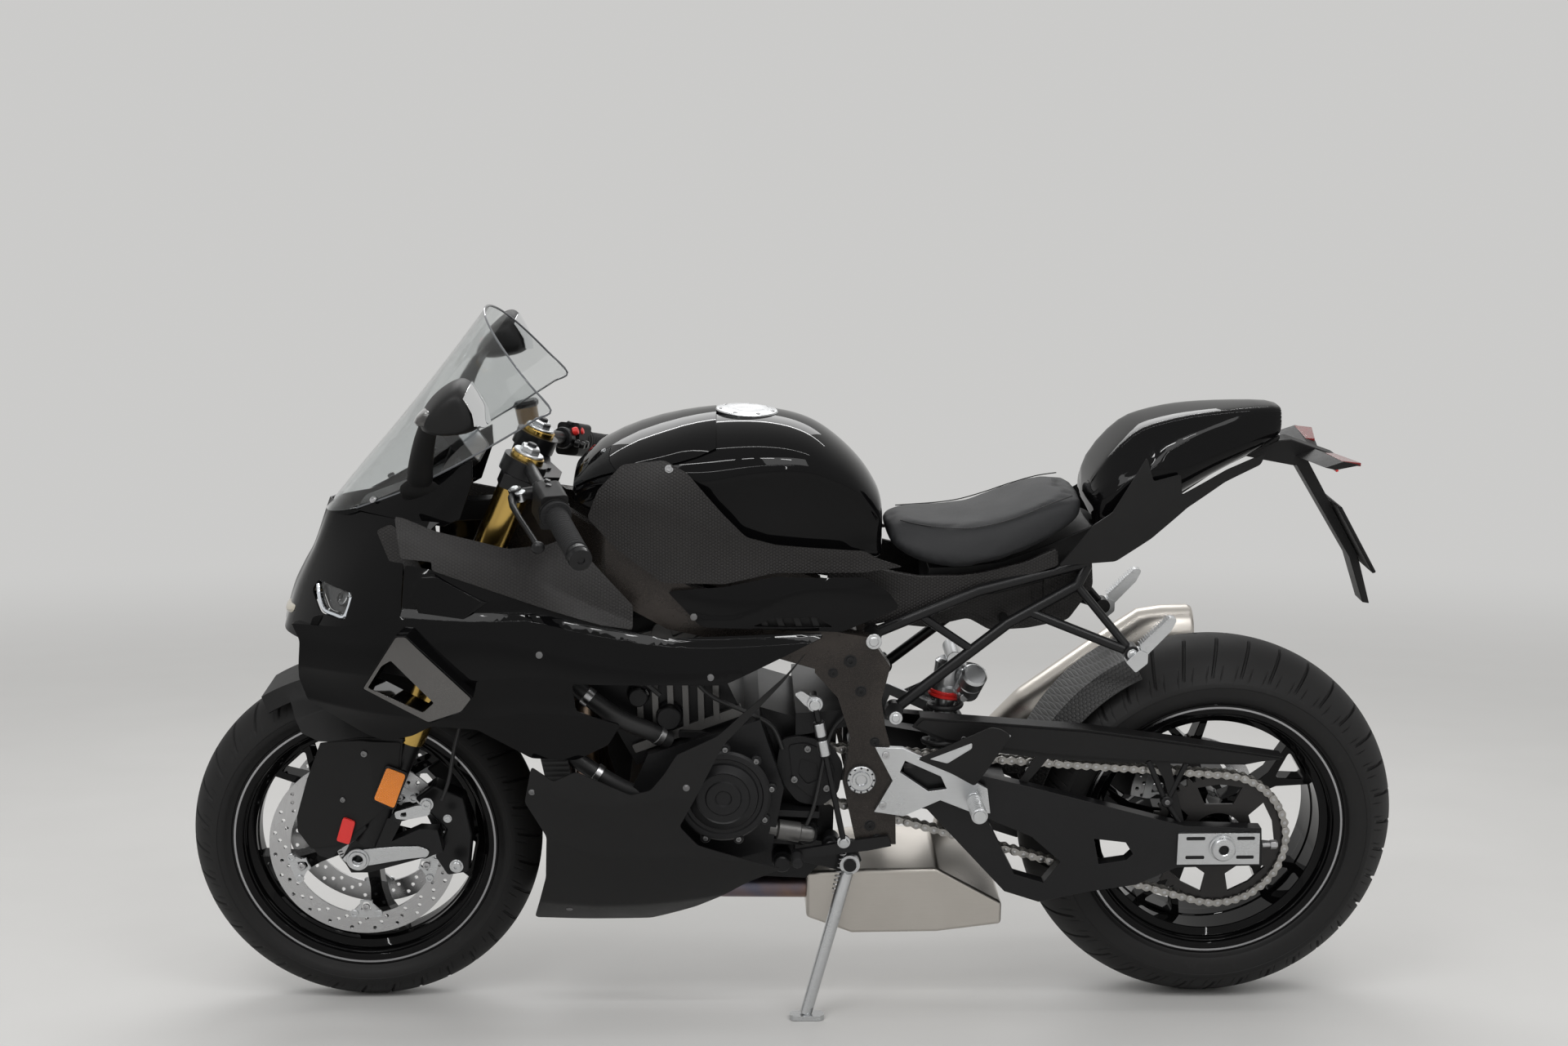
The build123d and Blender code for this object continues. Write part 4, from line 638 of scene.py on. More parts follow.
def spaced(line: Sequence[Flat], step: float, closed: bool = True) -> list[Flat]:
    """A line with points added so that none of its runs is longer than the step.

    Args:
        line: The line's points.
        step: The longest run allowed.
        closed: Whether its end joins its start.

    Returns:
        The new line.
    """
    out: list[Flat] = []
    ends = [*line, line[0]] if closed else list(line)
    for a, b in zip(ends, ends[1:]):
        count = max(1, math.ceil(math.dist(a, b) / step))
        out += [(a[0] + (b[0] - a[0]) * k / count, a[1] + (b[1] - a[1]) * k / count) for k in range(count)]
    return out if closed else [*out, ends[-1]]


def loop_edges(loops: Sequence[Sequence[Flat]]) -> tuple[list[Vector], list[tuple[int, int]]]:
    """The corners and edges of closed loops, numbered through.

    Args:
        loops: The loops.

    Returns:
        The points, and the edges as pairs of point numbers.
    """
    points: list[Vector] = []
    edges: list[tuple[int, int]] = []
    for loop in loops:
        base = len(points)
        points += [Vector(p) for p in loop]
        edges += [(base + i, base + (i + 1) % len(loop)) for i in range(len(loop))]
    return points, edges


def filled(points: Sequence[Vector], edges: Sequence[tuple[int, int]], outline: Sequence[Flat],
           holes: Sequence[Sequence[Flat]], merge: float) -> tuple[list[Vector], list[tuple[int, int, int]]]:
    """Fills an outline with triangles that wind one way.

    Args:
        points: The points to use.
        edges: The pairs of points that stay joined.
        outline: The closed outline.
        holes: Closed outlines left open.
        merge: The distance under which points become one.

    Returns:
        The points and the triangles.
    """
    flat, _, tris, *_ = delaunay_2d_cdt(points, edges, [], 1, merge)
    kept = []
    for a, b, c in tris:
        middle = (flat[a] + flat[b] + flat[c]) / 3
        if inside(middle, outline) and not any(inside(middle, hole) for hole in holes):
            wind = (flat[b] - flat[a]).cross(flat[c] - flat[a])
            kept.append((a, c, b) if wind > 0 else (a, b, c))
    return flat, kept


@dataclass
class Skin:
    """A body surface seen from the side: lateral place as a function of x and z, with soft creases along it."""

    rows: list[tuple[float, list[Flat]]]  # x, then (y, z) from top to bottom
    bulge: tuple[float, ...] = ()  # how far each band swells between its creases
    soft: float = 3.0  # half width of a crease

    def __post_init__(self) -> None:
        """Sorts the rows and fills in the bulges."""
        self.rows = sorted(self.rows)
        if not self.bulge:
            self.bulge = (4.0,) * (len(self.rows[0][1]) - 1)

    def line(self, number: int, x: float) -> Flat:
        """The (y, z) place of one lengthwise line at x.

        Args:
            number: Which line, from the top.
            x: The lengthwise place.

        Returns:
            The place.
        """
        y = smooth_between([(row, points[number][0]) for row, points in self.rows], x)
        z = smooth_between([(row, points[number][1]) for row, points in self.rows], x)
        return y, z

    def at(self, x: float, z: float) -> float:
        """The lateral place at (x, z), creases not yet softened.

        Args:
            x: The lengthwise place.
            z: The height.

        Returns:
            The lateral place.
        """
        lines = [self.line(k, x) for k in range(len(self.rows[0][1]))]
        band = 0
        while band < len(lines) - 2 and z < lines[band + 1][1]:
            band += 1
        (y0, z0), (y1, z1) = lines[band], lines[band + 1]
        t = (z0 - z) / max(z0 - z1, 1e-6)
        return y0 + (y1 - y0) * t + self.bulge[band] * 4 * max(t, 0.0) * max(1 - t, 0.0)

    def place(self, x: float, z: float) -> float:
        """The lateral place at (x, z) with the creases softened.

        Args:
            x: The lengthwise place.
            z: The height.

        Returns:
            The lateral place.
        """
        for k in range(1, len(self.rows[0][1]) - 1):
            middle = self.line(k, x)[1]
            if abs(z - middle) < self.soft:
                low, high = self.at(x, middle - self.soft), self.at(x, middle + self.soft)
                t = (z - middle + self.soft) / (2 * self.soft)
                return low + (high - low) * t + (self.at(x, middle) - (low + high) / 2) * 2 * t * (1 - t)
        return self.at(x, z)

    def spot(self, x: float, z: float) -> Point:
        """The point of the surface at (x, z)."""
        return x, self.place(x, z), z

    def seams(self) -> list[list[Flat]]:
        """The lines beside each crease, which the mesh follows.

        Returns:
            The lines, as (x, z) points.
        """
        lines = []
        first, last = self.rows[0][0], self.rows[-1][0]
        for k in range(1, len(self.rows[0][1]) - 1):
            for offset in (-self.soft, 0.0, self.soft):
                lines.append([(x, self.line(k, x)[1] + offset) for x in
                              (first + (last - first) * i / 40 for i in range(-4, 45))])
        return lines


def park(made: bpy.types.Object, body: str, finish: Finish, replaces: Sequence[str]) -> bpy.types.Object:
    """Leans an upright object with the machine and gives it its finish and body.

    Args:
        made: The object, upright and in millimetres.
        body: The body that it rides on.
        finish: Its finish.
        replaces: CAD nodes that it stands for.

    Returns:
        The object.
    """
    made.data.transform(PARK)
    made.data.materials.clear()
    made.data.materials.append(finish.build())
    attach(made, body)
    if replaces:
        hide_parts(*replaces)
    LOG.info("  %s: %d faces", made.name, len(made.data.polygons))
    return made


@dataclass
class Piece:
    """A visible piece, made in upright millimetres and then parked."""

    name: str
    body: str
    finish: Finish
    verts: list[Point] = field(default_factory=list)
    faces: list[tuple[int, ...]] = field(default_factory=list)

    def add(self, verts: Sequence[Point], faces: Sequence[Sequence[int]]) -> int:
        """Adds loose geometry and returns the number of its first vertex.

        Args:
            verts: The points.
            faces: The faces, as numbers that count from the first of those points.

        Returns:
            The number of the first point in the piece.
        """
        base = len(self.verts)
        self.verts += [tuple(v) for v in verts]
        self.faces += [tuple(base + i for i in face) for face in faces]
        return base

    def mirror(self) -> "Piece":
        """Adds the same shape on the other side.

        Returns:
            The piece.
        """
        base, verts, faces = len(self.verts), list(self.verts), list(self.faces)
        self.verts += [(x, -y, z) for x, y, z in verts]
        self.faces += [tuple(base + i for i in reversed(face)) for face in faces]
        return self

    def panel(self, outline: Sequence[Flat], spot: Callable[[float, float], Point],
              seams: Sequence[Sequence[Flat]] = (), holes: Sequence[Sequence[Flat]] = (),
              step: float = 14.0) -> "Piece":
        """Adds a sheet that covers a flat outline.

        Args:
            outline: The closed outline, drawn flat.
            spot: The point of the surface at a flat place.
            seams: Lines that the mesh follows.
            holes: Closed outlines left open.
            step: The mesh's spacing.

        Returns:
            The piece.
        """
        loops = [spaced(outline, step), *(spaced(hole, step) for hole in holes)]
        points, edges = loop_edges(loops)
        for seam in seams:
            run = spaced(seam, step, closed=False)
            for a, b in zip(run, run[1:]):
                if inside(a, outline) and inside(b, outline) and not any(
                        inside(a, hole) or inside(b, hole) for hole in holes):
                    edges.append((len(points), len(points) + 1))
                    points += [Vector(a), Vector(b)]
        xs, zs = [p[0] for p in outline], [p[1] for p in outline]
        z, odd = min(zs) + step / 2, False
        while z < max(zs):
            x = min(xs) + (step / 2 if odd else 0.0)
            while x < max(xs):
                near = any((x - q.x) ** 2 + (z - q.y) ** 2 < (step * EDGE_GAP) ** 2 for q in points[:len(loops[0])])
                if inside((x, z), outline) and not near and not any(inside((x, z), hole) for hole in holes):
                    points.append(Vector((x, z)))
                x += step
            z, odd = z + step * ROW_STEP, not odd
        flat, kept = filled(points, edges, outline, holes, PANEL_MERGE)
        self.add([spot(p.x, p.y) for p in flat], kept)
        return self

    def loft(self, sections: Sequence[Sequence[Point]], closed: bool = True, caps: bool = True) -> "Piece":
        """Adds a skin through sections that have the same number of points.

        Args:
            sections: The sections in order.
            closed: Whether each section is a closed loop.
            caps: Whether the two ends are closed.

        Returns:
            The piece.
        """
        count = len(sections[0])
        faces = []
        for i in range(len(sections) - 1):
            for k in range(count if closed else count - 1):
                a, b = i * count + k, i * count + (k + 1) % count
                faces.append((a, b, b + count, a + count))
        if caps and closed:
            faces.append(tuple(range(count - 1, -1, -1)))
            faces.append(tuple(range((len(sections) - 1) * count, len(sections) * count)))
        self.add([p for section in sections for p in section], faces)
        return self

    def turned(self, profile: Sequence[Flat], axle: Flat, steps: int = 96) -> "Piece":
        """Adds a shape turned about an axle that lies across the machine; the profile is (radius, y).

        Args:
            profile: The profile's points.
            axle: The axle's (x, z).
            steps: Steps round the axle.

        Returns:
            The piece.
        """
        rings = [[(axle[0] + r * c, y, axle[1] + r * s) for r, y in profile] for c, s in circle(steps)]
        return self.loft([*rings, rings[0]], caps=False)

    def rod(self, start: Point, end: Point, radii: Sequence[Flat], sides: int = 20) -> "Piece":
        """Adds a turned bar between two points; radii are (share of the length, radius) pairs.

        Args:
            start: The middle of one end.
            end: The middle of the other.
            radii: The profile.
            sides: Steps round the bar.

        Returns:
            The piece.
        """
        a, b = Vector(start), Vector(end)
        along = (b - a).normalized()
        u = along.orthogonal().normalized()
        w = along.cross(u)
        rings = [[tuple(a + (b - a) * t + (u * c + w * s) * r) for c, s in circle(sides)] for t, r in radii]
        return self.loft(rings)

    def tube(self, line: Sequence[Point], radius: float, sides: int = 12, steps: int = 8) -> "Piece":
        """Adds a smooth tube through points.

        Args:
            line: The points.
            radius: Of the tube.
            sides: Steps round the tube.
            steps: Rings from one point to the next.

        Returns:
            The piece.
        """
        path = []
        for i in range(len(line) - 1):
            p = [Vector(line[max(i - 1, 0)]), Vector(line[i]), Vector(line[i + 1]),
                 Vector(line[min(i + 2, len(line) - 1)])]
            for k in range(steps):
                t = k / steps
                path.append(0.5 * (2 * p[1] + (p[2] - p[0]) * t + (2 * p[0] - 5 * p[1] + 4 * p[2] - p[3]) * t**2
                                   + (3 * p[1] - p[0] - 3 * p[2] + p[3]) * t**3))
        path.append(Vector(line[-1]))
        u = (path[1] - path[0]).orthogonal().normalized()
        rings = []
        for i, p in enumerate(path):
            along = (path[min(i + 1, len(path) - 1)] - path[max(i - 1, 0)]).normalized()
            u = (u - along * u.dot(along)).normalized()
            w = along.cross(u)
            rings.append([tuple(p + (u * c + w * s) * radius) for c, s in circle(sides)])
        return self.loft(rings)

    def plate(self, outline: Sequence[Flat], low: float, high: float, holes: Sequence[Sequence[Flat]] = (),
              taper: Callable[[float, float], float] | None = None) -> "Piece":
        """Adds a plate with holes, from one lateral place to another.

        Args:
            outline: The closed (x, z) outline.
            low: Its lower lateral place.
            high: Its higher lateral place.
            holes: Closed outlines cut through it.
            taper: The share of the thickness kept at a place, about the middle.

        Returns:
            The piece.
        """
        flat, kept = filled(*loop_edges([outline, *holes]), outline, holes, MERGE)
        middle, half = (low + high) / 2, (high - low) / 2
        shares = [taper(p.x, p.y) if taper else 1.0 for p in flat]
        count = len(flat)
        verts = [(p.x, middle + half * s, p.y) for p, s in zip(flat, shares)]
        verts += [(p.x, middle - half * s, p.y) for p, s in zip(flat, shares)]
        used: dict[tuple[int, int], int] = {}
        for face in kept:
            for a, b in zip(face, (*face[1:], face[0])):
                used[(a, b)] = used.get((a, b), 0) + 1
        rim = [(a, b) for a, b in used if (b, a) not in used]
        self.add(verts, [*kept, *[(c + count, b + count, a + count) for a, b, c in kept],
                         *[(b, a, a + count, b + count) for a, b in rim]])
        return self

    def spun(self, axle: Flat, count: int, phase: float) -> "Piece":
        """Copies the piece, drawn outwards along +X from the origin, round an axle, the first at phase degrees.

        Args:
            axle: The axle's (x, z).
            count: How many copies there are.
            phase: The first copy's angle.

        Returns:
            The piece.
        """
        verts, faces, self.verts, self.faces = self.verts, self.faces, [], []
        for k in range(count):
            a = math.radians(phase + 360.0 * k / count)
            self.add([(axle[0] + x * math.cos(a) - z * math.sin(a), y, axle[1] + x * math.sin(a) + z * math.cos(a))
                      for x, y, z in verts], faces)
        return self

    def prism(self, outline: Sequence[Flat], low: float, high: float) -> "Piece":
        """Adds a side outline with thickness, from one lateral place to another."""
        return self.loft([[(x, low, z) for x, z in outline], [(x, high, z) for x, z in outline]])

    def cad(self, *nodes: str) -> "Piece":
        """Adds the merged shapes of CAD nodes, brought back upright.

        Args:
            nodes: The nodes' names.

        Returns:
            The piece.
        """
        back = PARK.inverted()
        for node in nodes:
            mesh = frame["nodes"][node].data
            shape = bmesh.new()
            shape.from_mesh(mesh)
            bmesh.ops.remove_doubles(shape, verts=shape.verts, dist=CAD_MERGE)
            bmesh.ops.dissolve_limit(shape, angle_limit=FLAT_ANGLE, verts=shape.verts, edges=shape.edges)
            shape.verts.index_update()
            self.add([tuple(back @ v.co) for v in shape.verts], [[v.index for v in face.verts] for face in shape.faces])
            shape.free()
        return self

    def done(self, replaces: Sequence[str] = (), wall: float = 0.0, bevel: float = 0.0, sharp: float = 32.0,
             levels: int = 0, limit: float = 30.0, segments: int = 2) -> bpy.types.Object:
        """Finishes the piece.

        Args:
            replaces: CAD nodes that it stands for.
            wall: Thickness given inwards to a sheet.
            bevel: Width of its rounded edges.
            sharp: Edges over this angle stay sharp, in degrees.
            levels: Levels of subdivision.
            limit: Edges over this angle are rounded, in degrees.
            segments: Faces across a rounded edge.

        Returns:
            The object.
        """
        mesh = bpy.data.meshes.new(self.name)
        mesh.from_pydata(self.verts, [], self.faces)
        shape = bmesh.new()
        shape.from_mesh(mesh)
        bmesh.ops.remove_doubles(shape, verts=shape.verts, dist=MERGE)
        if not wall:
            bmesh.ops.recalc_face_normals(shape, faces=shape.faces)
        shape.to_mesh(mesh)
        shape.free()
        made = bpy.data.objects.new(self.name, mesh)
        bpy.context.scene.collection.objects.link(made)
        if levels and not wall:
            self.subdivide(made, levels)
        if wall:
            mod = made.modifiers.new("wall", "SOLIDIFY")
            mod.thickness, mod.offset, mod.use_even_offset = wall, -1.0, True
            if levels:
                self.subdivide(made, levels)
        if bevel:
            mod = made.modifiers.new("edges", "BEVEL")
            mod.width, mod.segments, mod.limit_method, mod.angle_limit = bevel, segments, "ANGLE", math.radians(limit)
            mod.use_clamp_overlap = True
        made.modifiers.new("shading", "WEIGHTED_NORMAL").keep_sharp = True
        for polygon in mesh.polygons:
            polygon.use_smooth = True
        mesh.set_sharp_from_angle(angle=math.radians(sharp))
        bpy.context.view_layer.update()
        final = bpy.data.meshes.new_from_object(made.evaluated_get(bpy.context.evaluated_depsgraph_get()))
        made.modifiers.clear()
        made.data = final
        bpy.data.meshes.remove(mesh)
        return park(made, self.body, self.finish, replaces)

    @staticmethod
    def subdivide(made: bpy.types.Object, levels: int) -> None:
        """Adds a subdivision surface."""
        mod = made.modifiers.new("curves", "SUBSURF")
        mod.levels = mod.render_levels = levels


# ---------------------------------------------------------------- repeated parts
def new_group(name: str, inputs: dict[str, str]) -> tuple[Tree, bpy.types.Node, bpy.types.Node]:
    """Starts a Geometry Nodes tree.

    Args:
        name: The tree's name.
        inputs: Its inputs' socket kinds by name.

    Returns:
        The tree, its input node and its output node.
    """
    tree = bpy.data.node_groups.new(name, "GeometryNodeTree")
    for label, kind in inputs.items():
        tree.interface.new_socket(label, in_out="INPUT", socket_type=f"NodeSocket{kind}")
    tree.interface.new_socket("Geometry", in_out="OUTPUT", socket_type="NodeSocketGeometry")
    t = Tree(tree)
    return t, t.node("NodeGroupInput"), t.node("NodeGroupOutput")


def grow(seed: bpy.types.Object, tree: bpy.types.NodeTree, values: dict[str, object]) -> bpy.types.Mesh:
    """Runs a tree on an object and takes its result.

    Args:
        seed: The object that the tree starts from, removed afterwards.
        tree: The tree.
        values: Its inputs by name.

    Returns:
        A plain mesh.
    """
    mod = seed.modifiers.new("grow", "NODES")
    mod.node_group = tree
    for item in tree.interface.items_tree:
        if item.in_out == "INPUT" and item.name in values:
            mod[item.identifier] = values[item.name]
    bpy.context.view_layer.update()
    mesh = bpy.data.meshes.new_from_object(seed.evaluated_get(bpy.context.evaluated_depsgraph_get()))
    bpy.data.objects.remove(seed)
    return mesh


def repeat_tree() -> bpy.types.NodeTree:
    """The tree that sets a part at every point of a cloud, turned and sized by the point's own values.

    Returns:
        The tree, made once.
    """
    found = bpy.data.node_groups.get("repeat_part")
    if found:
        return found
    t, source, sink = new_group("repeat_part", {"Places": "Geometry", "Part": "Object", "Scale": "Float",
                                                "Finish": "Material"})
    part = t.node("GeometryNodeObjectInfo", None, Object=source.outputs["Part"])
    turn = t.node("GeometryNodeInputNamedAttribute", {"data_type": "FLOAT_VECTOR"}, Name="turn")
    size = t.node("GeometryNodeInputNamedAttribute", {"data_type": "FLOAT"}, Name="size")
    euler = t.node("FunctionNodeEulerToRotation", None, Euler=turn.outputs[0])
    full = t.node("ShaderNodeMath", {"operation": "MULTIPLY"}, n0=size.outputs[0], n1=source.outputs["Scale"])
    placed = t.node("GeometryNodeInstanceOnPoints", None, Points=source.outputs["Places"],
                    Instance=part.outputs["Geometry"], Rotation=euler.outputs[0], Scale=full.outputs[0])
    real = t.node("GeometryNodeRealizeInstances", None, Geometry=placed.outputs[0])
    dressed = t.node("GeometryNodeSetMaterial", None, Geometry=real.outputs[0], Material=source.outputs["Finish"])
    t.tree.links.new(dressed.outputs[0], sink.inputs[0])
    return t.tree


@dataclass
class Spot:
    """A place where a part repeats: its point, the way its own +Z points and its size."""

    point: Point
    facing: Point = (0.0, 1.0, 0.0)
    size: float = 1.0
    twist: float = 0.0  # about its facing, in degrees

    def turn(self) -> tuple[float, float, float]:
        """The Euler angles that aim the part."""
        aim = Vector(self.facing).to_track_quat("Z", "Y").to_matrix()
        return tuple((aim @ Matrix.Rotation(math.radians(self.twist), 3, "Z")).to_euler())


def repeat(name: str, body: str, finish: Finish, part: Piece, spots: Sequence[Spot],
           replaces: Sequence[str] = (), sharp: float = 35.0) -> bpy.types.Object:
    """Sets copies of a part at many places as one piece.

    Args:
        name: The piece's name.
        body: The body that it rides on.
        finish: Its finish.
        part: The part, drawn about the origin with +Z outwards, in millimetres.
        spots: Where the copies stand.
        replaces: CAD nodes that it stands for.
        sharp: Edges over this angle stay sharp, in degrees.

    Returns:
        The object.
    """
    shape = bpy.data.meshes.new(f"{name}_part")
    shape.from_pydata(part.verts, [], part.faces)
    fix = bmesh.new()
    fix.from_mesh(shape)
    bmesh.ops.remove_doubles(fix, verts=fix.verts, dist=PART_MERGE)
    bmesh.ops.recalc_face_normals(fix, faces=fix.faces)
    fix.to_mesh(shape)
    fix.free()
    model = bpy.data.objects.new(f"{name}_part", shape)
    bpy.context.scene.collection.objects.link(model)
    cloud = bpy.data.meshes.new(f"{name}_places")
    cloud.from_pydata([s.point for s in spots], [], [])
    cloud.attributes.new("turn", "FLOAT_VECTOR", "POINT")
    cloud.attributes.new("size", "FLOAT", "POINT")
    for i, s in enumerate(spots):
        cloud.attributes["turn"].data[i].vector = s.turn()
        cloud.attributes["size"].data[i].value = s.size
    seed = bpy.data.objects.new(f"{name}_places", cloud)
    bpy.context.scene.collection.objects.link(seed)
    mesh = grow(seed, repeat_tree(), {"Part": model, "Scale": 1.0, "Finish": finish.build()})
    bpy.data.objects.remove(model)
    return settle(name, body, finish, mesh, replaces, sharp)


def settle(name: str, body: str, finish: Finish, mesh: bpy.types.Mesh, replaces: Sequence[str] = (),
           sharp: float = 35.0) -> bpy.types.Object:
    """Parks a finished upright mesh as a piece.

    Args:
        name: The piece's name.
        body: The body that it rides on.
        finish: Its finish.
        mesh: The mesh, upright and in millimetres.
        replaces: CAD nodes that it stands for.
        sharp: Edges over this angle stay sharp, in degrees.

    Returns:
        The object.
    """
    made = bpy.data.objects.new(name, mesh)
    bpy.context.scene.collection.objects.link(made)
    for key in ("turn", "size"):
        if key in mesh.attributes:
            mesh.attributes.remove(mesh.attributes[key])
    park(made, body, finish, replaces)
    for polygon in mesh.polygons:
        polygon.use_smooth = True
    mesh.set_sharp_from_angle(angle=math.radians(sharp))
    return made


def screw_part(radius: float, height: float = 3.0, socket: float = 0.5, washer: float = 0.0) -> Piece:
    """A socket-head screw, drawn about the origin with its head along +Z.

    Args:
        radius: Of the head.
        height: Of the head.
        socket: The socket's size as a share of the radius.
        washer: The washer's radius, or none.

    Returns:
        The part.
    """
    part = Piece("screw", "chassis", STEEL)
    sides, hexes = 24, 6
    rings = [(radius, -1.0), (radius, height - 0.5), (radius - 0.5, height), (radius * socket + 0.3, height)]
    loops = [[(r * u, r * v, z) for u, v in circle(sides)] for r, z in rings]
    for depth, ease in ((height, 1.0), (height - 0.3, 0.96), (height * 0.35, 0.96)):
        loop = []
        for k in range(sides):
            a = 2 * math.pi * k / sides
            edge = math.cos(math.pi / hexes) / math.cos((a % (2 * math.pi / hexes)) - math.pi / hexes)
            reach = radius * socket * ease * edge
            loop.append((reach * math.cos(a), reach * math.sin(a), depth))
        loops.append(loop)
    part.loft(loops)
    if washer:
        rings = ((washer, -1.0), (washer, 0.6), (washer - 0.3, 0.9), (radius, 0.9))
        part.loft([[(r * u, r * v, z) for u, v in circle(sides)] for r, z in rings])
    return part


def drilled_tree() -> bpy.types.NodeTree:
    """The tree of a drilled brake disc: a flat ring filled round staggered rows of holes, then given its thickness.

    Returns:
        The tree.
    """
    found = bpy.data.node_groups.get("drilled_disc")
    if found:
        return found
    t, source, sink = new_group("drilled_disc", {
        "Places": "Geometry", "Outer radius": "Float", "Inner radius": "Float", "Thickness": "Float",
        "Hole radius": "Float", "Rows": "Int", "Holes": "Int", "Finish": "Material"})
    out = source.outputs
    rims = [t.node("GeometryNodeCurvePrimitiveCircle", None, Resolution=180, Radius=out[key])
            for key in ("Outer radius", "Inner radius")]
    points = t.node("GeometryNodePoints", None, Count=out["Holes"])
    index = t.value("GeometryNodeInputIndex")
    row = index.math("MODULO", out["Rows"])
    share = (row + 1.0) / (Value(t, out["Rows"]) + 1.0)
    radius = Value(t, out["Inner radius"]) + (Value(t, out["Outer radius"]) - out["Inner radius"]) * share
    angle = (index / out["Holes"]) * (2 * math.pi)
    place = t.node("ShaderNodeCombineXYZ", None, X=angle.math("COSINE") * radius, Y=angle.math("SINE") * radius)
    spread = t.node("GeometryNodeSetPosition", None, Geometry=points.outputs[0], Position=place.outputs[0])
    hole = t.node("GeometryNodeCurvePrimitiveCircle", None, Resolution=14, Radius=out["Hole radius"])
    holes = t.node("GeometryNodeInstanceOnPoints", None, Points=spread.outputs[0], Instance=hole.outputs[0])
    real = t.node("GeometryNodeRealizeInstances", None, Geometry=holes.outputs[0])
    joined = t.node("GeometryNodeJoinGeometry")
    for piece in (*rims, real):
        t.tree.links.new(piece.outputs[0], joined.inputs[0])
    filled = t.node("GeometryNodeFillCurve", None, Curve=joined.outputs[0])
    thick = t.node("GeometryNodeExtrudeMesh", None, Mesh=filled.outputs[0], Offset_Scale=out["Thickness"],
                   Individual=False)
    back = t.node("GeometryNodeFlipFaces", None, Mesh=filled.outputs[0])
    closed = t.node("GeometryNodeJoinGeometry")
    for piece in (thick, back):
        t.tree.links.new(piece.outputs[0], closed.inputs[0])
    welded = t.node("GeometryNodeMergeByDistance", None, Geometry=closed.outputs[0], Distance=0.01)
    real_all = t.node("GeometryNodeRealizeInstances", None, Geometry=welded.outputs[0])
    dressed = t.node("GeometryNodeSetMaterial", None, Geometry=real_all.outputs[0], Material=out["Finish"])
    t.tree.links.new(dressed.outputs[0], sink.inputs[0])
    return t.tree


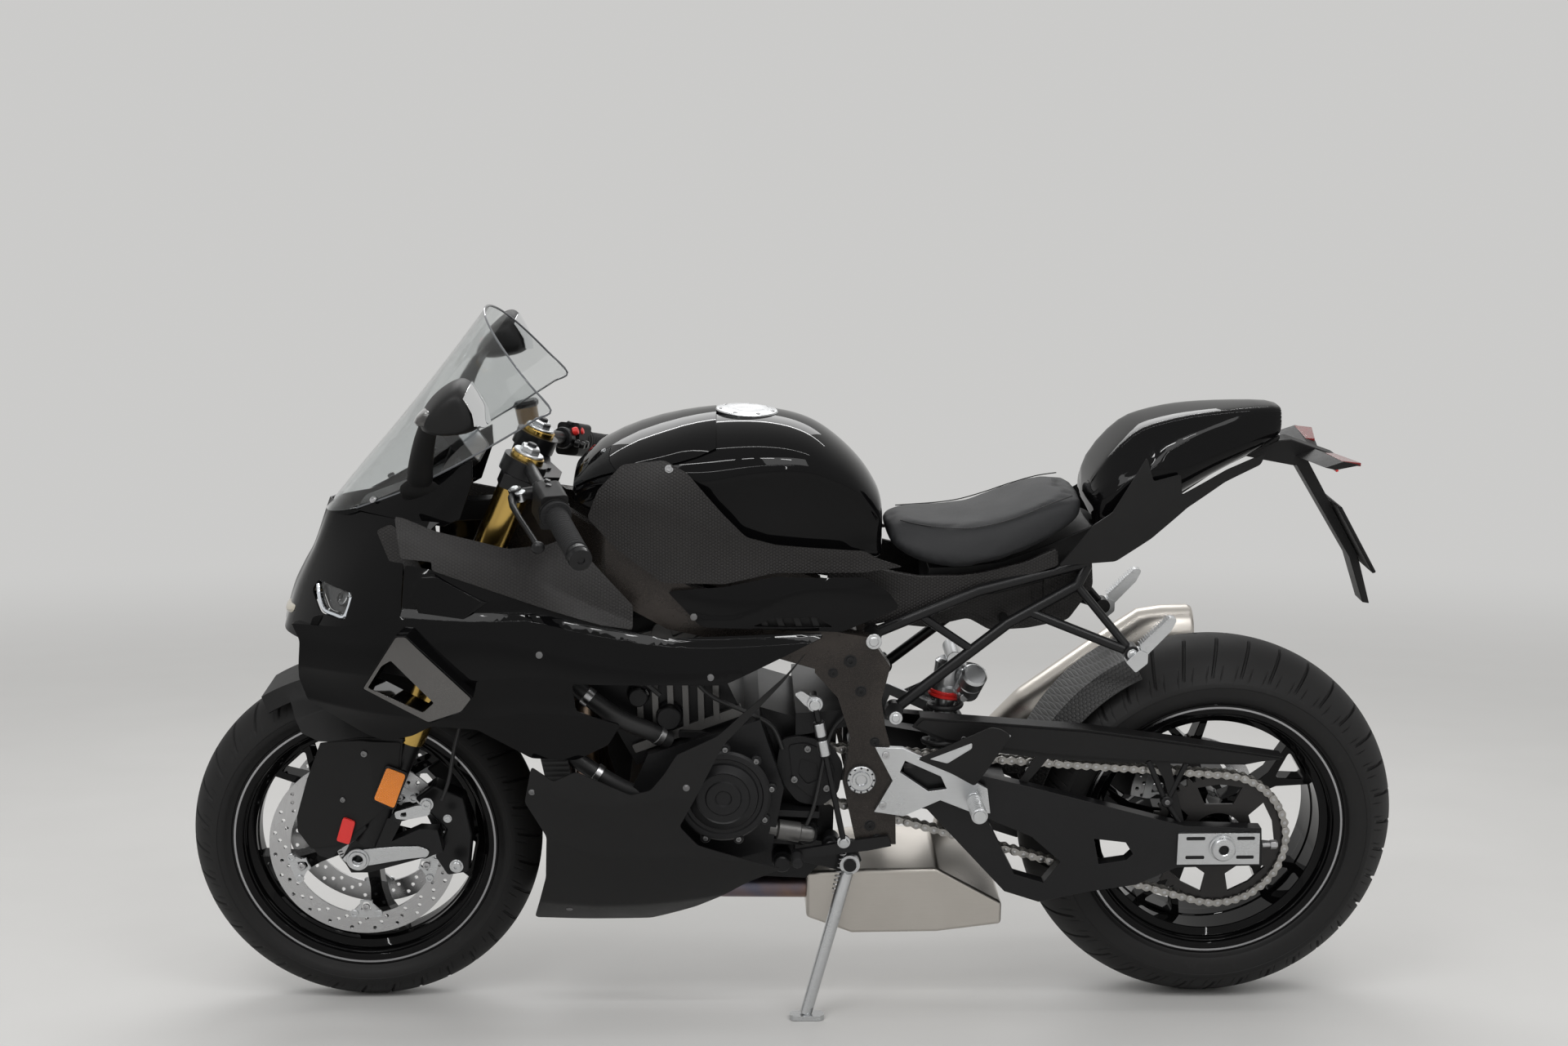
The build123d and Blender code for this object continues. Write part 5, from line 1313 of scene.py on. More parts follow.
# ---------------------------------------------------------------- wheels
@dataclass
class Wheel:
    """A cast wheel with its tyre and discs."""

    name: str
    body: str
    axle: Flat
    phase: float  # of the first spoke, in degrees up from straight ahead
    radius: float
    half: float
    sag: float
    rim_half: float
    hub_half: float
    hub_r: float
    discs: tuple[float, ...]  # lateral place of each disc
    disc_r: float
    band: float
    lug_r: float
    rows: int
    disc_finish: Finish
    pitches: int = 34
    groove: float = 5.5
    bead_r: float = 216.0
    flange: float = 14.0
    spokes: int = 5

    def build(self) -> None:
        """Builds every part of the wheel."""
        self.tyre()
        self.rim()
        for y in self.discs:
            self.disc(y)

    def tread_row(self, v: float) -> tuple[float, float]:
        """The crown's (radius, lateral place) at a share v from -1 to 1 across it.

        Args:
            v: The share.

        Returns:
            The radius and the lateral place.
        """
        arc = (self.sag**2 + self.half**2) / (2 * self.sag)
        reach = math.asin(self.half / arc)
        return self.radius - arc + arc * math.cos(v * reach), arc * math.sin(v * reach)

    def depth(self, v: float) -> float:
        """How deep the long groove is at a share v across the crown."""
        return self.groove * min(1.0, max(0.0, (v - 0.14) * 12), max(0.0, (0.93 - v) * 7))

    def cut(self, v: float) -> float:
        """How deep the short shoulder sipe is at a share v across the crown."""
        return 2.2 * min(1.0, max(0.0, (v - 0.72) * 14), max(0.0, (1.0 - v) * 10))

    def tyre(self) -> None:
        """The crowned tread with slanted grooves, then the walls and beads."""
        piece = Piece(f"{self.name}_tyre_tread", self.body, TYRE)
        columns = [0.0, 0.07, 0.10, 0.16, 0.19, 0.30, 0.40, 0.42, 0.44, 0.46]
        across = [-1.0, -0.985, -0.93, -0.9, -0.84, -0.79, -0.72, -0.64, -0.55, -0.45, -0.35, -0.27, -0.2, -0.14, -0.07]
        across = [*across, 0.0, *[-v for v in across[::-1]]]
        over = self.bead_r + self.flange
        shoulder, lean = self.radius - self.sag, self.half
        wall = [(shoulder - 5, lean + 1.6), (shoulder - 7, lean + 1.4), (shoulder - 7.6, lean + 0.6),
                (shoulder - (shoulder - over) * 0.55, lean - 0.5), (over + 9, lean - 4), (over + 5, lean - 6.5),
                (over + 4.4, lean - 7.4), (over + 2, self.rim_half + 1.6), (over - 1, self.rim_half - 1),
                (over - 12, self.rim_half - 7), (over - 12, self.rim_half - 14)]
        rings = []
        for pitch in range(self.pitches):
            for side_of in (0, 1):
                for k, c in enumerate(columns):
                    place = pitch + 0.5 * side_of + c
                    ring = [self.spin_point(r, -y, (place - TREAD_LAG) / self.pitches) for r, y in wall[::-1]]
                    for v in across:
                        r, y = self.tread_row(v)
                        own = (v < 0) == (side_of == 1)
                        if own and k in (2, 3):
                            r -= self.depth(abs(v))
                        if k in (7, 8):
                            r -= self.cut(abs(v))
                        ring.append(self.spin_point(r, y, (place - TREAD_LAG * abs(v) ** 1.25) / self.pitches))
                    ring += [self.spin_point(r, y, (place - TREAD_LAG) / self.pitches) for r, y in wall]
                    rings.append(ring)
        piece.loft([*rings, rings[0]], caps=False)
        piece.done(replaces=[f"{self.name}_tyre"], sharp=38)

    def spin_point(self, radius: float, y: float, share: float) -> Point:
        """A point at a share of a turn round the axle."""
        a = 2 * math.pi * share
        return self.axle[0] + radius * math.cos(a), y, self.axle[1] + radius * math.sin(a)

    def rim(self) -> None:
        """The stepped barrel, the hub and the forked spokes."""
        top, seat, low = self.bead_r + self.flange, self.bead_r, self.bead_r - 23
        h = self.rim_half
        outer = [(top - 1.6, h), (top - 5, h + 0.3), (seat - 5, h - 1.5), (seat - 6.6, h - 3), (seat - 7, h - 7),
                 (seat - 9.5, h - 8), (seat - 11, h - 10), (seat - 12, h - 17), (seat - 16, h - 19), (low - 2, h - 24)]
        deep = [(low - 2.4, 14), (low - 4.4, 12)]
        profile = [(r, y) for r, y in [*outer, *deep]] + [(r, -y) for r, y in [*outer, *deep][::-1]]
        back = [(top, -h + 2), (top - 2, -h + 5.4), (seat, -h + 6), (seat, -h + 16), (seat - 14, -h + 26)]
        profile += back + [(r, -y) for r, y in back[::-1]]
        piece = Piece(f"{self.name}_cast_rim", self.body, GLOSS)
        piece.turned(profile, self.axle, steps=160)
        barrel, piece.verts, pile = piece.verts, [], piece.faces
        piece.faces = []
        reach = low - 3.0
        outline = [(self.hub_r - 8, -15.0), (self.hub_r + 12, -11.5), (96.0, -10.0), (134.0, -15.0), (reach, -45.0),
                   (reach, -30.0), (reach, 30.0), (reach, 45.0), (134.0, 15.0), (96.0, 10.0), (self.hub_r + 12, 11.5),
                   (self.hub_r - 8, 15.0)]
        hole = rounded([(139.0, 0.0), (reach - 6, -29.0), (reach - 6, 29.0)], 9.0)
        width = 20.0
        piece.plate(outline, -width, width, [hole], lambda x, z: 1.15 - 0.28 * min(1.0, max(0.0, (x - 50) / 120)))
        piece.spun(self.axle, self.spokes, self.phase)
        piece.add(barrel, pile)
        hub = self.hub_r
        piece.turned([(20.0, self.hub_half), (hub - 9, self.hub_half), (hub - 6, self.hub_half - 2), (hub - 4, 38),
                      (hub, 30), (hub, -30), (hub - 4, -38), (hub - 6, 2 - self.hub_half), (hub - 9, -self.hub_half),
                      (20.0, -self.hub_half)], self.axle, steps=64)
        piece.done(replaces=[f"{self.name}_rim"], bevel=2.6, sharp=30, segments=3, limit=34)
        # A bright metal band round each flange lip is a painted highlight on the gloss black rim.
        line = Piece(f"{self.name}_rim_lip", self.body, RIM_HIGHLIGHT)
        for sign in (1, -1):
            line.turned([(top - 5.6, sign * (h + 0.32)), (top - 9.0, sign * (h + 0.15)), (top - 9.0, sign * (h - 0.6)),
                         (top - 5.6, sign * (h - 0.6))], self.axle, steps=160)
        line.done()

    def disc(self, y: float) -> None:
        """A drilled ring, its lugs and the bobbins between them.

        Args:
            y: The disc's lateral place.
        """
        seed = bpy.data.objects.new("disc_seed", bpy.data.meshes.new("disc_seed"))
        bpy.context.scene.collection.objects.link(seed)
        mesh = grow(seed, drilled_tree(), {
            "Outer radius": self.disc_r, "Inner radius": self.disc_r - self.band, "Thickness": 4.6,
            "Hole radius": 3.4, "Rows": self.rows, "Holes": self.rows * 24, "Finish": self.disc_finish.build()})
        mesh.transform(Matrix.Translation((self.axle[0], y + 2.3, self.axle[1])) @ Matrix.Rotation(math.pi / 2, 4, "X"))
        single = y < 0 and len(self.discs) == 1
        side_name = f"{self.name}_disc" + ("" if single else "_l" if y > 0 else "_r")
        first = y == self.discs[0]
        nodes = ["front_discs" if self.name == "front" else "rear_disc"] if first else []
        settle(f"{side_name}_ring", self.body, self.disc_finish, mesh, nodes, 30)
        lugs = Piece(f"{side_name}_lugs", self.body, MACHINED)
        inner = self.disc_r - self.band
        lugs.plate(rounded([(self.lug_r - 12, -11), (inner - 18, -10), (inner - 4, -24), (inner + 7, -22),
                            (inner + 7, 22), (inner - 4, 24), (inner - 18, 10), (self.lug_r - 12, 11)], 5.0),
                   y - 2.9, y + 2.9,
                   [rounded([(inner - 22, -4.5), (inner - 7, -9.5), (inner - 7, 9.5), (inner - 22, 4.5)],
                            3.0)])
        lugs.spun(self.axle, self.spokes, self.phase + 6)
        lugs.done(bevel=0.9)
        face = 1.0 if y > 0 else -1.0
        spots = []
        for k in range(self.spokes * 2):
            a = math.radians(self.phase + 6 + (k // 2) * 72 + (-9.5 if k % 2 else 9.5))
            r = inner + 1.0
            spots.append(Spot((self.axle[0] + r * math.cos(a), y + face * 2.6, self.axle[1] + r * math.sin(a)),
                              (0.0, face, 0.0), 1.0))
        repeat(f"{side_name}_bobbins", self.body, MACHINED, screw_part(7.0, 3.2, 0.62), spots)
        bolts = []
        for k in range(self.spokes):
            a = math.radians(self.phase + 6 + k * 72)
            bolts.append(Spot((self.axle[0] + self.lug_r * math.cos(a), y + face * 2.4,
                               self.axle[1] + self.lug_r * math.sin(a)), (0.0, face, 0.0), 1.0))
        repeat(f"{side_name}_bolts", self.body, STEEL, screw_part(6.5, 4.5, 0.5), bolts)


def front_wheel() -> Wheel:
    """The front wheel."""
    return Wheel("front", "front_wheel", FRONT_AXLE, -96.0, 300.0, 60.0, 42.0, 50.0, 50.0, 36.0, (66.0, -66.0), 160.0,
                 36.0, 112.0, 3, DISC_FRONT)


def rear_wheel() -> Wheel:
    """The rear wheel."""
    return Wheel("rear", "rear_wheel", REAR_AXLE, 77.4, 326.0, 98.0, 56.0, 83.0, 72.0, 44.0, (-84.0,), 110.0, 30.0,
                 66.0, 2, DISC_REAR, pitches=36, groove=6.0)


# ---------------------------------------------------------------- bodywork
def both_sides(spots: Sequence[Spot]) -> list[Spot]:
    """The spots and their mirror images."""
    return [*spots, *(Spot((s.point[0], -s.point[1], s.point[2]), (s.facing[0], -s.facing[1], s.facing[2]), s.size,
                           -s.twist) for s in spots)]


@dataclass
class SidePanels:
    """The gloss side panels, the textured covers above them and the belly pan below."""

    wall: float = 3.0
    flank: list[tuple[float, list[Flat]]] = field(default_factory=lambda: [
        (1530.0, [(146, 800), (155.5, 766), (166, 752), (182, 662), (180, 610), (160, 540)]),
        (1400.0, [(190, 830), (211.5, 771), (222, 757), (240, 664), (232, 600), (204, 540)]),
        (1240.0, [(208, 850), (229.5, 764), (240, 750), (254, 658), (244, 590), (214, 500)]),
        (1140.0, [(208, 836), (227.5, 762), (238, 748), (254, 664), (244, 600), (212, 500)]),
        (1040.0, [(206, 800), (223.5, 738), (234, 724), (250, 650), (240, 590), (212, 500)]),
        (900.0, [(196, 770), (211.5, 714), (222, 700), (236, 644), (226, 590), (204, 500)]),
        (670.0, [(176, 750), (183.5, 714), (194, 700), (204, 660), (202, 620), (190, 520)]),
    ])
    window: list[Flat] = field(default_factory=lambda: [
        (1398, 654), (1388, 686), (1358, 700), (1301, 626), (1316, 612)])
    outline: list[Flat] = field(default_factory=lambda: [
        (1536, 730), (1480, 733), (1423, 739), (1350, 757), (1345, 836), (1301, 830), (1177, 790), (1036, 742),
        (933, 716), (681, 716), (679, 710), (841, 640), (900, 644), (1080, 652), (1076, 604), (1005, 576), (1026, 538),
        (1079, 510), (1151, 514), (1235, 571), (1308, 576), (1340, 556), (1384, 542), (1416, 552), (1512, 606),
        (1527, 640), (1522, 705)])
    cover: list[tuple[float, list[Flat]]] = field(default_factory=lambda: [
        (1400.0, [(146, 925), (186, 866), (214, 790)]),
        (1301.0, [(150, 912), (200, 858), (222, 800)]),
        (1221.0, [(152, 900), (208, 843), (230, 780)]),
        (1157.0, [(154, 884), (212, 826), (236, 760)]),
        (1081.0, [(156, 880), (212, 784), (240, 732)]),
        (984.0, [(160, 840), (204, 738), (232, 700)]),
    ])
    cover_outline: list[Flat] = field(default_factory=lambda: [
        (1364, 906), (1348, 903), (1299, 886), (1223, 869), (1182, 859), (1123, 861), (1094, 870), (1055, 841),
        (984, 766), (984, 730.2), (1036, 742.4), (1177, 790.4), (1301, 830.4), (1301, 843), (1351, 846)])
    belly: list[tuple[float, list[Flat]]] = field(default_factory=lambda: [
        (1165.0, [(230, 520), (232, 470), (226, 400), (160, 240), (108, 182)]),
        (1050.0, [(230, 560), (238, 440), (226, 350), (176, 236), (108, 180)]),
        (900.0, [(226, 640), (238, 450), (226, 340), (186, 250), (108, 188)]),
        (700.0, [(206, 720), (228, 420), (216, 330), (196, 290), (110, 228)]),
    ])
    belly_outline: list[Flat] = field(default_factory=lambda: [
        (1163, 442), (1150, 506), (1115, 481), (1078, 498), (990, 458), (958, 466), (935, 494), (915, 526), (849, 556),
        (741, 651), (705, 690), (745, 640), (841, 540), (912, 399), (882, 364), (823, 344), (745, 317), (800, 290),
        (888, 225), (965, 184), (1157, 189), (1161, 194), (1135, 296), (1129, 382)])

    def build(self) -> None:
        """Builds the panels, their inner facets, their screws and the keel."""
        flank = Skin(self.flank, (3.0, 1.5, 2.0, -5.0, -3.0), soft=2.6)
        panel = Piece("side_panels", "chassis", GLOSS)
        panel.panel(rounded(self.outline, 7.0), flank.spot, flank.seams(), [rounded(self.window, 4.0)],
                    step=13.0).mirror()
        panel.done(replaces=["side_fairings"], wall=self.wall, bevel=0.9, sharp=24)
        self.facets(flank)
        self.shelf(flank)
        cover = Skin(self.cover, (5.0, 4.0), soft=4.0)
        top = Piece("textured_side_covers", "chassis", TRIM)
        top.panel(rounded(self.cover_outline, 5.0), cover.spot, cover.seams(), step=13.0).mirror()
        top.done(replaces=["upper_trims"], wall=self.wall, bevel=0.9, sharp=30)
        belly = Skin(self.belly, (3.0, -4.0, 3.0, 3.0), soft=4.0)
        low = Piece("belly_panels", "chassis", PLAIN_TRIM)
        low.panel(rounded(self.belly_outline, 6.0), belly.spot, belly.seams(), step=15.0).mirror()
        keel = [(1150.0, 184.0), (1050.0, 178.5), (960.0, 181.0)]
        low.done(replaces=["belly_pan"], wall=self.wall, bevel=0.9, sharp=30)
        floor = Piece("belly_keel", "chassis", PLAIN_TRIM)
        floor.loft([[(x, y, z + 1.5 + 5.0 * abs(y) / 112.0) for y in range(-110, 111, 20)]
                    + [(x, y, z + 4.5 + 5.0 * abs(y) / 112.0) for y in range(110, -111, -20)] for x, z in keel])
        floor.done(bevel=0.8)
        spots = [(1131, 700, 0), (1150, 462, 1), (860, 655, 0), (1290, 606, 0), (900, 470, 1), (1100, 222, 1)]
        places = []
        for x, z, low_one in spots:
            skin = belly if low_one else flank
            y = skin.place(x, z)
            tilt = (skin.place(x, z - 6) - skin.place(x, z + 6)) / 12
            places.append(Spot((x, y - 0.4, z), (0.0, 1.0, tilt), 1.0))
        repeat("panel_screws", "chassis", SCREW, screw_part(4.0, 1.6, 0.5, 5.6), both_sides(places))

    def shelf(self, flank: Skin) -> None:
        """The ledge that closes each side panel's top front edge against the nose.

        Args:
            flank: The side panel's surface.
        """
        nose, ledge = Nose(), Piece("side_panel_ledges", "chassis", GLOSS)
        rows = []
        for x, z in ((1536, 730), (1520, 731), (1500, 732), (1480, 733), (1450, 736), (1423, 739), (1385, 748),
                     (1352, 757)):
            inner = nose.spot(nose.along(x, z - 14), z - 14)[1] - 4.0
            outer = flank.place(x, z) - 0.6
            rows.append([(x, inner, z - 15.0), (x, inner + (outer - inner) * 0.6, z - 5.0), (x, outer, z - 0.4),
                         (x, outer - 1.0, z - 4.4), (x, inner, z - 20.0)])
        ledge.loft(rows).mirror()
        ledge.done(bevel=0.8, sharp=30)

    def facets(self, flank: Skin) -> None:
        """The six-sided facet near the top of each side panel.

        Args:
            flank: The side panel's surface.
        """
        facet = Piece("panel_facets", "chassis", GLOSS)
        rim = [(1322, 823), (1297, 825), (1212, 781), (1250, 756), (1322, 764), (1336, 790)]
        middle = (1275.0, 790.0)
        inner = [(middle[0] + (x - middle[0]) * 0.86, middle[1] + (z - middle[1]) * 0.86) for x, z in rim]
        outer = [flank.spot(x, z) for x, z in rim]
        raised = [(x, flank.place(x, z) + 3.4, z) for x, z in inner]
        back = [(x, flank.place(x, z) - 2.0, z) for x, z in rim]
        facet.loft([back, outer, raised]).mirror()
        facet.done(bevel=0.7, sharp=20)


@dataclass
class Winglets:
    """The small wings beside the nose, each with a satin face plate round its opening."""

    outline: list[Flat] = field(default_factory=lambda: [
        (1350, 741), (1404, 658), (1304, 602), (1252, 620), (1236, 641), (1335, 741)])
    opening: list[Flat] = field(default_factory=lambda: [
        (1397, 659), (1374, 695), (1359, 704), (1294, 634), (1312, 618)])

    def build(self) -> None:
        """Builds the bright face plates, the gloss ducts behind them and the dark plates inside them, which are painted
        shade.
        """
        face = Piece("winglet_faces", "chassis", WING_FACE)
        skin = Skin([(1404.0, [(281, 745), (285, 700), (284, 600)]), (1320.0, [(284, 745), (287.5, 690), (286, 600)]),
                     (1236.0, [(283, 745), (286.5, 660), (287, 600)])], (1.0, 1.0), soft=3.0)
        face.panel(rounded(self.outline, 3.0), skin.spot, skin.seams(), [rounded(self.opening, 3.0)], step=9.0).mirror()
        face.done(replaces=["winglets"], wall=3.0, bevel=1.1, sharp=25)
        duct = Piece("winglet_ducts", "chassis", GLOSS)
        rim = [(x, 284.0, z) for x, z in self.outline]
        reach = [214.0, 222.0, 238.0, 240.0, 240.0, 222.0]
        root = [(x + dx, r, z + dz) for (x, z), r, (dx, dz) in zip(
            self.outline, reach, [(-10, 0), (-14, -2), (-8, 8), (0, 2), (2, -2), (-8, 0)])]
        middle = [((a[0] + b[0]) / 2, (a[1] + b[1]) / 2, (a[2] + b[2]) / 2) for a, b in zip(rim, root)]
        duct.loft([rim, middle, root], caps=False).mirror()
        duct.done(wall=2.4, bevel=0.8, sharp=25)
        # The dark plates inside each duct are painted shade: they close the view through the open front to the pale
        # backdrop.
        wall = Piece("duct_inner_walls", "chassis", PLAIN_TRIM)
        for sign in (1, -1):
            wall.plate(rounded([(1410, 744), (1410, 640), (1436, 618), (1500, 606), (1522, 690), (1504, 738)], 8.0),
                       sign * 148, sign * 151)
        wall.done(bevel=0.8)
        strip = Piece("winglet_edges", "chassis", GLOSS)
        strip.loft([[(x, y + 0.6, z) for x, y, z in ((1404, 284.0, 658), (1304, 285.0, 602), (1252, 286.0, 620))],
                    [(x, y - 4.6, z - 2.6) for x, y,
                     z in ((1404, 284.0, 658), (1304, 285.0, 602), (1252, 286.0, 620))]],
                   closed=False, caps=False)
        strip.mirror().done(wall=1.6, bevel=0.4)


@dataclass
class Nose:
    """The nose fairing with its lamps, intake and the clear screen."""

    levels: list[tuple[float, list[Flat]]] = field(default_factory=lambda: [  # z, then (x, y) from the tip back
        (686.0, [(1578, 0.5), (1556, 96), (1470, 198), (1360, 236), (1262, 248)]),
        (694.0, [(1578, 0.5), (1554, 92), (1466, 194), (1360, 234), (1262, 246)]),
        (752.0, [(1560, 0.5), (1534, 78), (1450, 172), (1350, 214), (1262, 230)]),
        (790.0, [(1541, 0.5), (1519, 66), (1440, 152), (1345, 198), (1262, 213)]),
        (820.0, [(1524, 0.5), (1506, 56), (1430, 135), (1340, 180), (1262, 194)]),
        (884.0, [(1500, 0.5), (1478, 42), (1405, 97), (1330, 134), (1262, 150)]),
        (900.0, [(1494, 0.5), (1470, 38), (1396, 88), (1325, 122), (1262, 138)]),
    ])
    outline: list[Flat] = field(default_factory=lambda: [
        (1620, 690), (1440, 694), (1335, 738), (1351, 765), (1351, 842), (1300, 886), (1270, 899), (1620, 899)])
    lamp: list[Flat] = field(default_factory=lambda: [(1512, 766), (1492, 740), (1446, 738), (1434, 778), (1500, 783)])
    screen_rows: list[tuple[Point, Point]] = field(default_factory=lambda: [  # edge, middle
        ((1440, 76, 899), (1502, 0, 885.2)), ((1350, 112, 938), (1442, 0, 957)), ((1262, 150, 988), (1372, 0, 1038)),
        ((1180, 164, 1036), (1300, 0, 1126)), ((1110, 172, 1080), (1228, 0, 1219))])

    def row(self, z: float) -> list[Flat]:
        """The level line at a height.

        Args:
            z: The height.

        Returns:
            The line's (x, y) points.
        """
        count = len(self.levels[0][1])
        return [tuple(smooth_between([(level, points[k][axis]) for level, points in self.levels], z) for axis in (0, 1))
                for k in range(count)]

    def spot(self, u: float, z: float) -> Point:
        """The point of the fairing at a place along its level line, 100 to a station, and a height.

        Args:
            u: The place along the line.
            z: The height.

        Returns:
            The point.
        """
        line = self.row(z)
        x = smooth_between([(100.0 * k, p[0]) for k, p in enumerate(line)], u)
        y = smooth_between([(100.0 * k, p[1]) for k, p in enumerate(line)], u)
        return x, max(y, 0.0), z

    def along(self, x: float, z: float) -> float:
        """The place along the level line at which it passes x.

        Args:
            x: The lengthwise place.
            z: The line's height.

        Returns:
            The place along the line.
        """
        low, high = 0.0, 100.0 * (len(self.levels[0][1]) - 1)
        for _ in range(24):
            middle = (low + high) / 2
            if self.spot(middle, z)[0] > x:
                low = middle
            else:
                high = middle
        return low

    def flat(self, loop: Sequence[Flat]) -> list[Flat]:
        """An (x, z) loop as places on the fairing."""
        return [(self.along(x, z), z) for x, z in spaced(loop, 12.0)]

    def build(self) -> None:
        """Builds the shell, lamps, intake, screen and inner panel."""
        shell = Piece("nose_shell", "chassis", GLOSS)
        seams = [[(100.0, z) for z in range(680, 905, 8)], [(200.0, z) for z in range(680, 905, 8)],
                 [(u, 758.0 + u * 0.05) for u in range(0, 400, 10)]]
        shell.panel(self.flat(self.outline), self.spot, seams, [self.flat(rounded(self.lamp, 6.0))], step=9.0).mirror()
        cheek = Skin([(1440.0, [(72, 902), (80, 878)]), (1350.0, [(110, 945), (127, 880)]),
                      (1240.0, [(148, 996), (157, 878)])], (2.0,))
        shell.done(replaces=["nose_fairing"], wall=3.0, bevel=0.8, sharp=26)
        right = Piece("nose_cheek", "chassis", GLOSS)
        right.panel([(1440, 896), (1440, 900), (1350, 944), (1240, 994), (1240, 960), (1262, 898), (1290, 884)],
                    cheek.spot, step=14.0).mirror()
        right.done(wall=3.0, bevel=0.8)
        self.lamps()
        self.blades()
        self.screen()

    def lamps(self) -> None:
        """The clear lamp blocks, the bright light strips, the projector and the pale intake tip."""
        body = Piece("lamp_lenses", "chassis", LENS)
        edge = [self.spot(u, z) for u, z in self.flat(rounded(self.lamp, 6.0))]
        near = [(x - 1.4, y - 1.4, z) for x, y, z in edge]
        middle = [sum(p[i] for p in near) / len(near) for i in range(3)]
        half = [tuple(m + (c - m) * 0.55 for c, m in zip(p, middle)) for p in near]
        back = [(x - 16, y - 8, z) for x, y, z in near]
        body.loft([back, near, half]).mirror()
        body.done(replaces=["headlights"], bevel=0.6)
        bowl = Piece("lamp_housings", "chassis", CAST)
        bowl.loft([[(x - 17, y - 9, z) for x, y, z in near], [tuple(m + (c - m) * 0.6 - s for c, m, s in
                                                                    zip(p, middle, (46, 24, 0))) for p in near]])
        bowl.mirror().done(bevel=0.6)
        strip = Piece("lamp_strips", "chassis", LAMP_STRIP)
        route = [(1503, 776), (1497, 757), (1485, 745), (1466, 743), (1449, 743), (1441, 758), (1438, 772)]
        line = [self.spot(self.along(x, z), z) for x, z in route]
        strip.tube([(x + 0.4, y + 0.4, z) for x, y, z in line], 3.2, sides=10).mirror()
        strip.done()
        spotlamp = Piece("lamp_projectors", "chassis", LENS)
        centre = self.spot(self.along(1466, 762), 762)
        spotlamp.rod((centre[0] - 22, centre[1] - 16, centre[2]), (centre[0] - 4, centre[1] - 5, centre[2]),
                     [(0.0, 13.0), (0.6, 13.0), (0.85, 10.0), (1.0, 5.0)], 28).mirror()
        spotlamp.done()
        tip = Piece("intake_lip", "chassis", PALE_TIP)
        rows = []
        for y, forward, up in ((0.0, 1577.5, 716.0), (22.0, 1577.0, 717.0), (44.0, 1573.0, 720.0),
                               (66.0, 1566.0, 724.0), (80.0, 1557.0, 727.0)):
            lift = 11.0 - y * 0.05
            rows.append([(forward, y, up), (forward - 5, y, up + lift), (forward - 26, y, up + lift + 6),
                         (forward - 26, y, up - lift - 3), (forward - 4, y, up - lift)])
        tip.loft([[(x, -y, z) for x, y, z in row] for row in rows[:0:-1]] + rows)
        tip.done(levels=1, sharp=40)

    def blades(self) -> None:
        """The upright blades at the shell's rear edges and the panel inside the screen."""
        blade = Piece("nose_blades", "chassis", TRIM)
        outline = rounded([(1400, 874), (1376, 886), (1352, 872), (1318, 820), (1350, 818), (1372, 824)], 6.0)
        skin = Skin([(1410.0, [(112, 892), (146, 815)]), (1360.0, [(134, 892), (172, 815)]),
                     (1300.0, [(154, 892), (190, 815)])], (3.0,))
        blade.panel(outline, lambda x, z: (x, skin.place(x, z) + 2.2, z), step=10.0).mirror()
        blade.done(wall=2.4, bevel=0.8)
        pan = Piece("screen_inner_panel", "chassis", PLAIN_TRIM)
        rows = []
        for x, half, z in ((1440, 66, 893), (1400, 84, 905), (1350, 102, 922), (1300, 122, 944), (1262, 134, 962)):
            rows.append([(x, y, z + 9.0 * (1 - (y / half) ** 2) - 2) for y in [half * k / 6 for k in range(-6, 7)]])
        pan.loft(rows, closed=False, caps=False)
        pan.done(wall=2.5, bevel=0.5)

    def screen_point(self, across: float, back: float) -> Point:
        """A point of the screen: -1 to 1 across it, 0 to 4 from front to back.

        Args:
            across: The place across.
            back: The place from front to back.

        Returns:
            The point.
        """
        table = range(len(self.screen_rows))
        edge = [smooth_between([(k, self.screen_rows[k][0][i]) for k in table], back) for i in range(3)]
        middle = [smooth_between([(k, self.screen_rows[k][1][i]) for k in table], back) for i in range(3)]
        share = 1 - abs(across) ** 2.1
        return (edge[0] + (middle[0] - edge[0]) * share, edge[1] * math.sin(across * 1.42) / math.sin(1.42),
                edge[2] + (middle[2] - edge[2]) * share)

    def screen(self) -> None:
        """The clear screen, its dark rim and its fixing screws."""
        clear = Piece("clear_screen", "chassis", SCREEN)
        across = [k / 14 for k in range(-14, 15)]
        back = [k / 6 for k in range(0, 25)]
        clear.loft([[self.screen_point(a, b) for a in across] for b in back], closed=False, caps=False)
        clear.done(replaces=["windscreen"], wall=2.6, bevel=0.4, sharp=60)
        rim = Piece("screen_rim", "chassis", SCREEN_RIM)
        route = [self.screen_point(-1.0, b) for b in back] + [self.screen_point(a, 4.0) for a in across[1:]]
        route += [self.screen_point(1.0, b) for b in back[-2::-1]]
        rim.tube([route[k] for k in range(0, len(route), 2)], 1.7, sides=8, steps=4)
        rim.done()
        spots = []
        for b in (0.45, 1.25):
            x, y, z = self.screen_point(0.94, b)
            spots.append(Spot((x + 0.6, y + 1.6, z + 1.2), (0.45, 0.7, 0.6), 1.0))
        repeat("screen_screws", "chassis", STEEL, screw_part(4.2, 2.2, 0.5, 6.4), both_sides(spots))


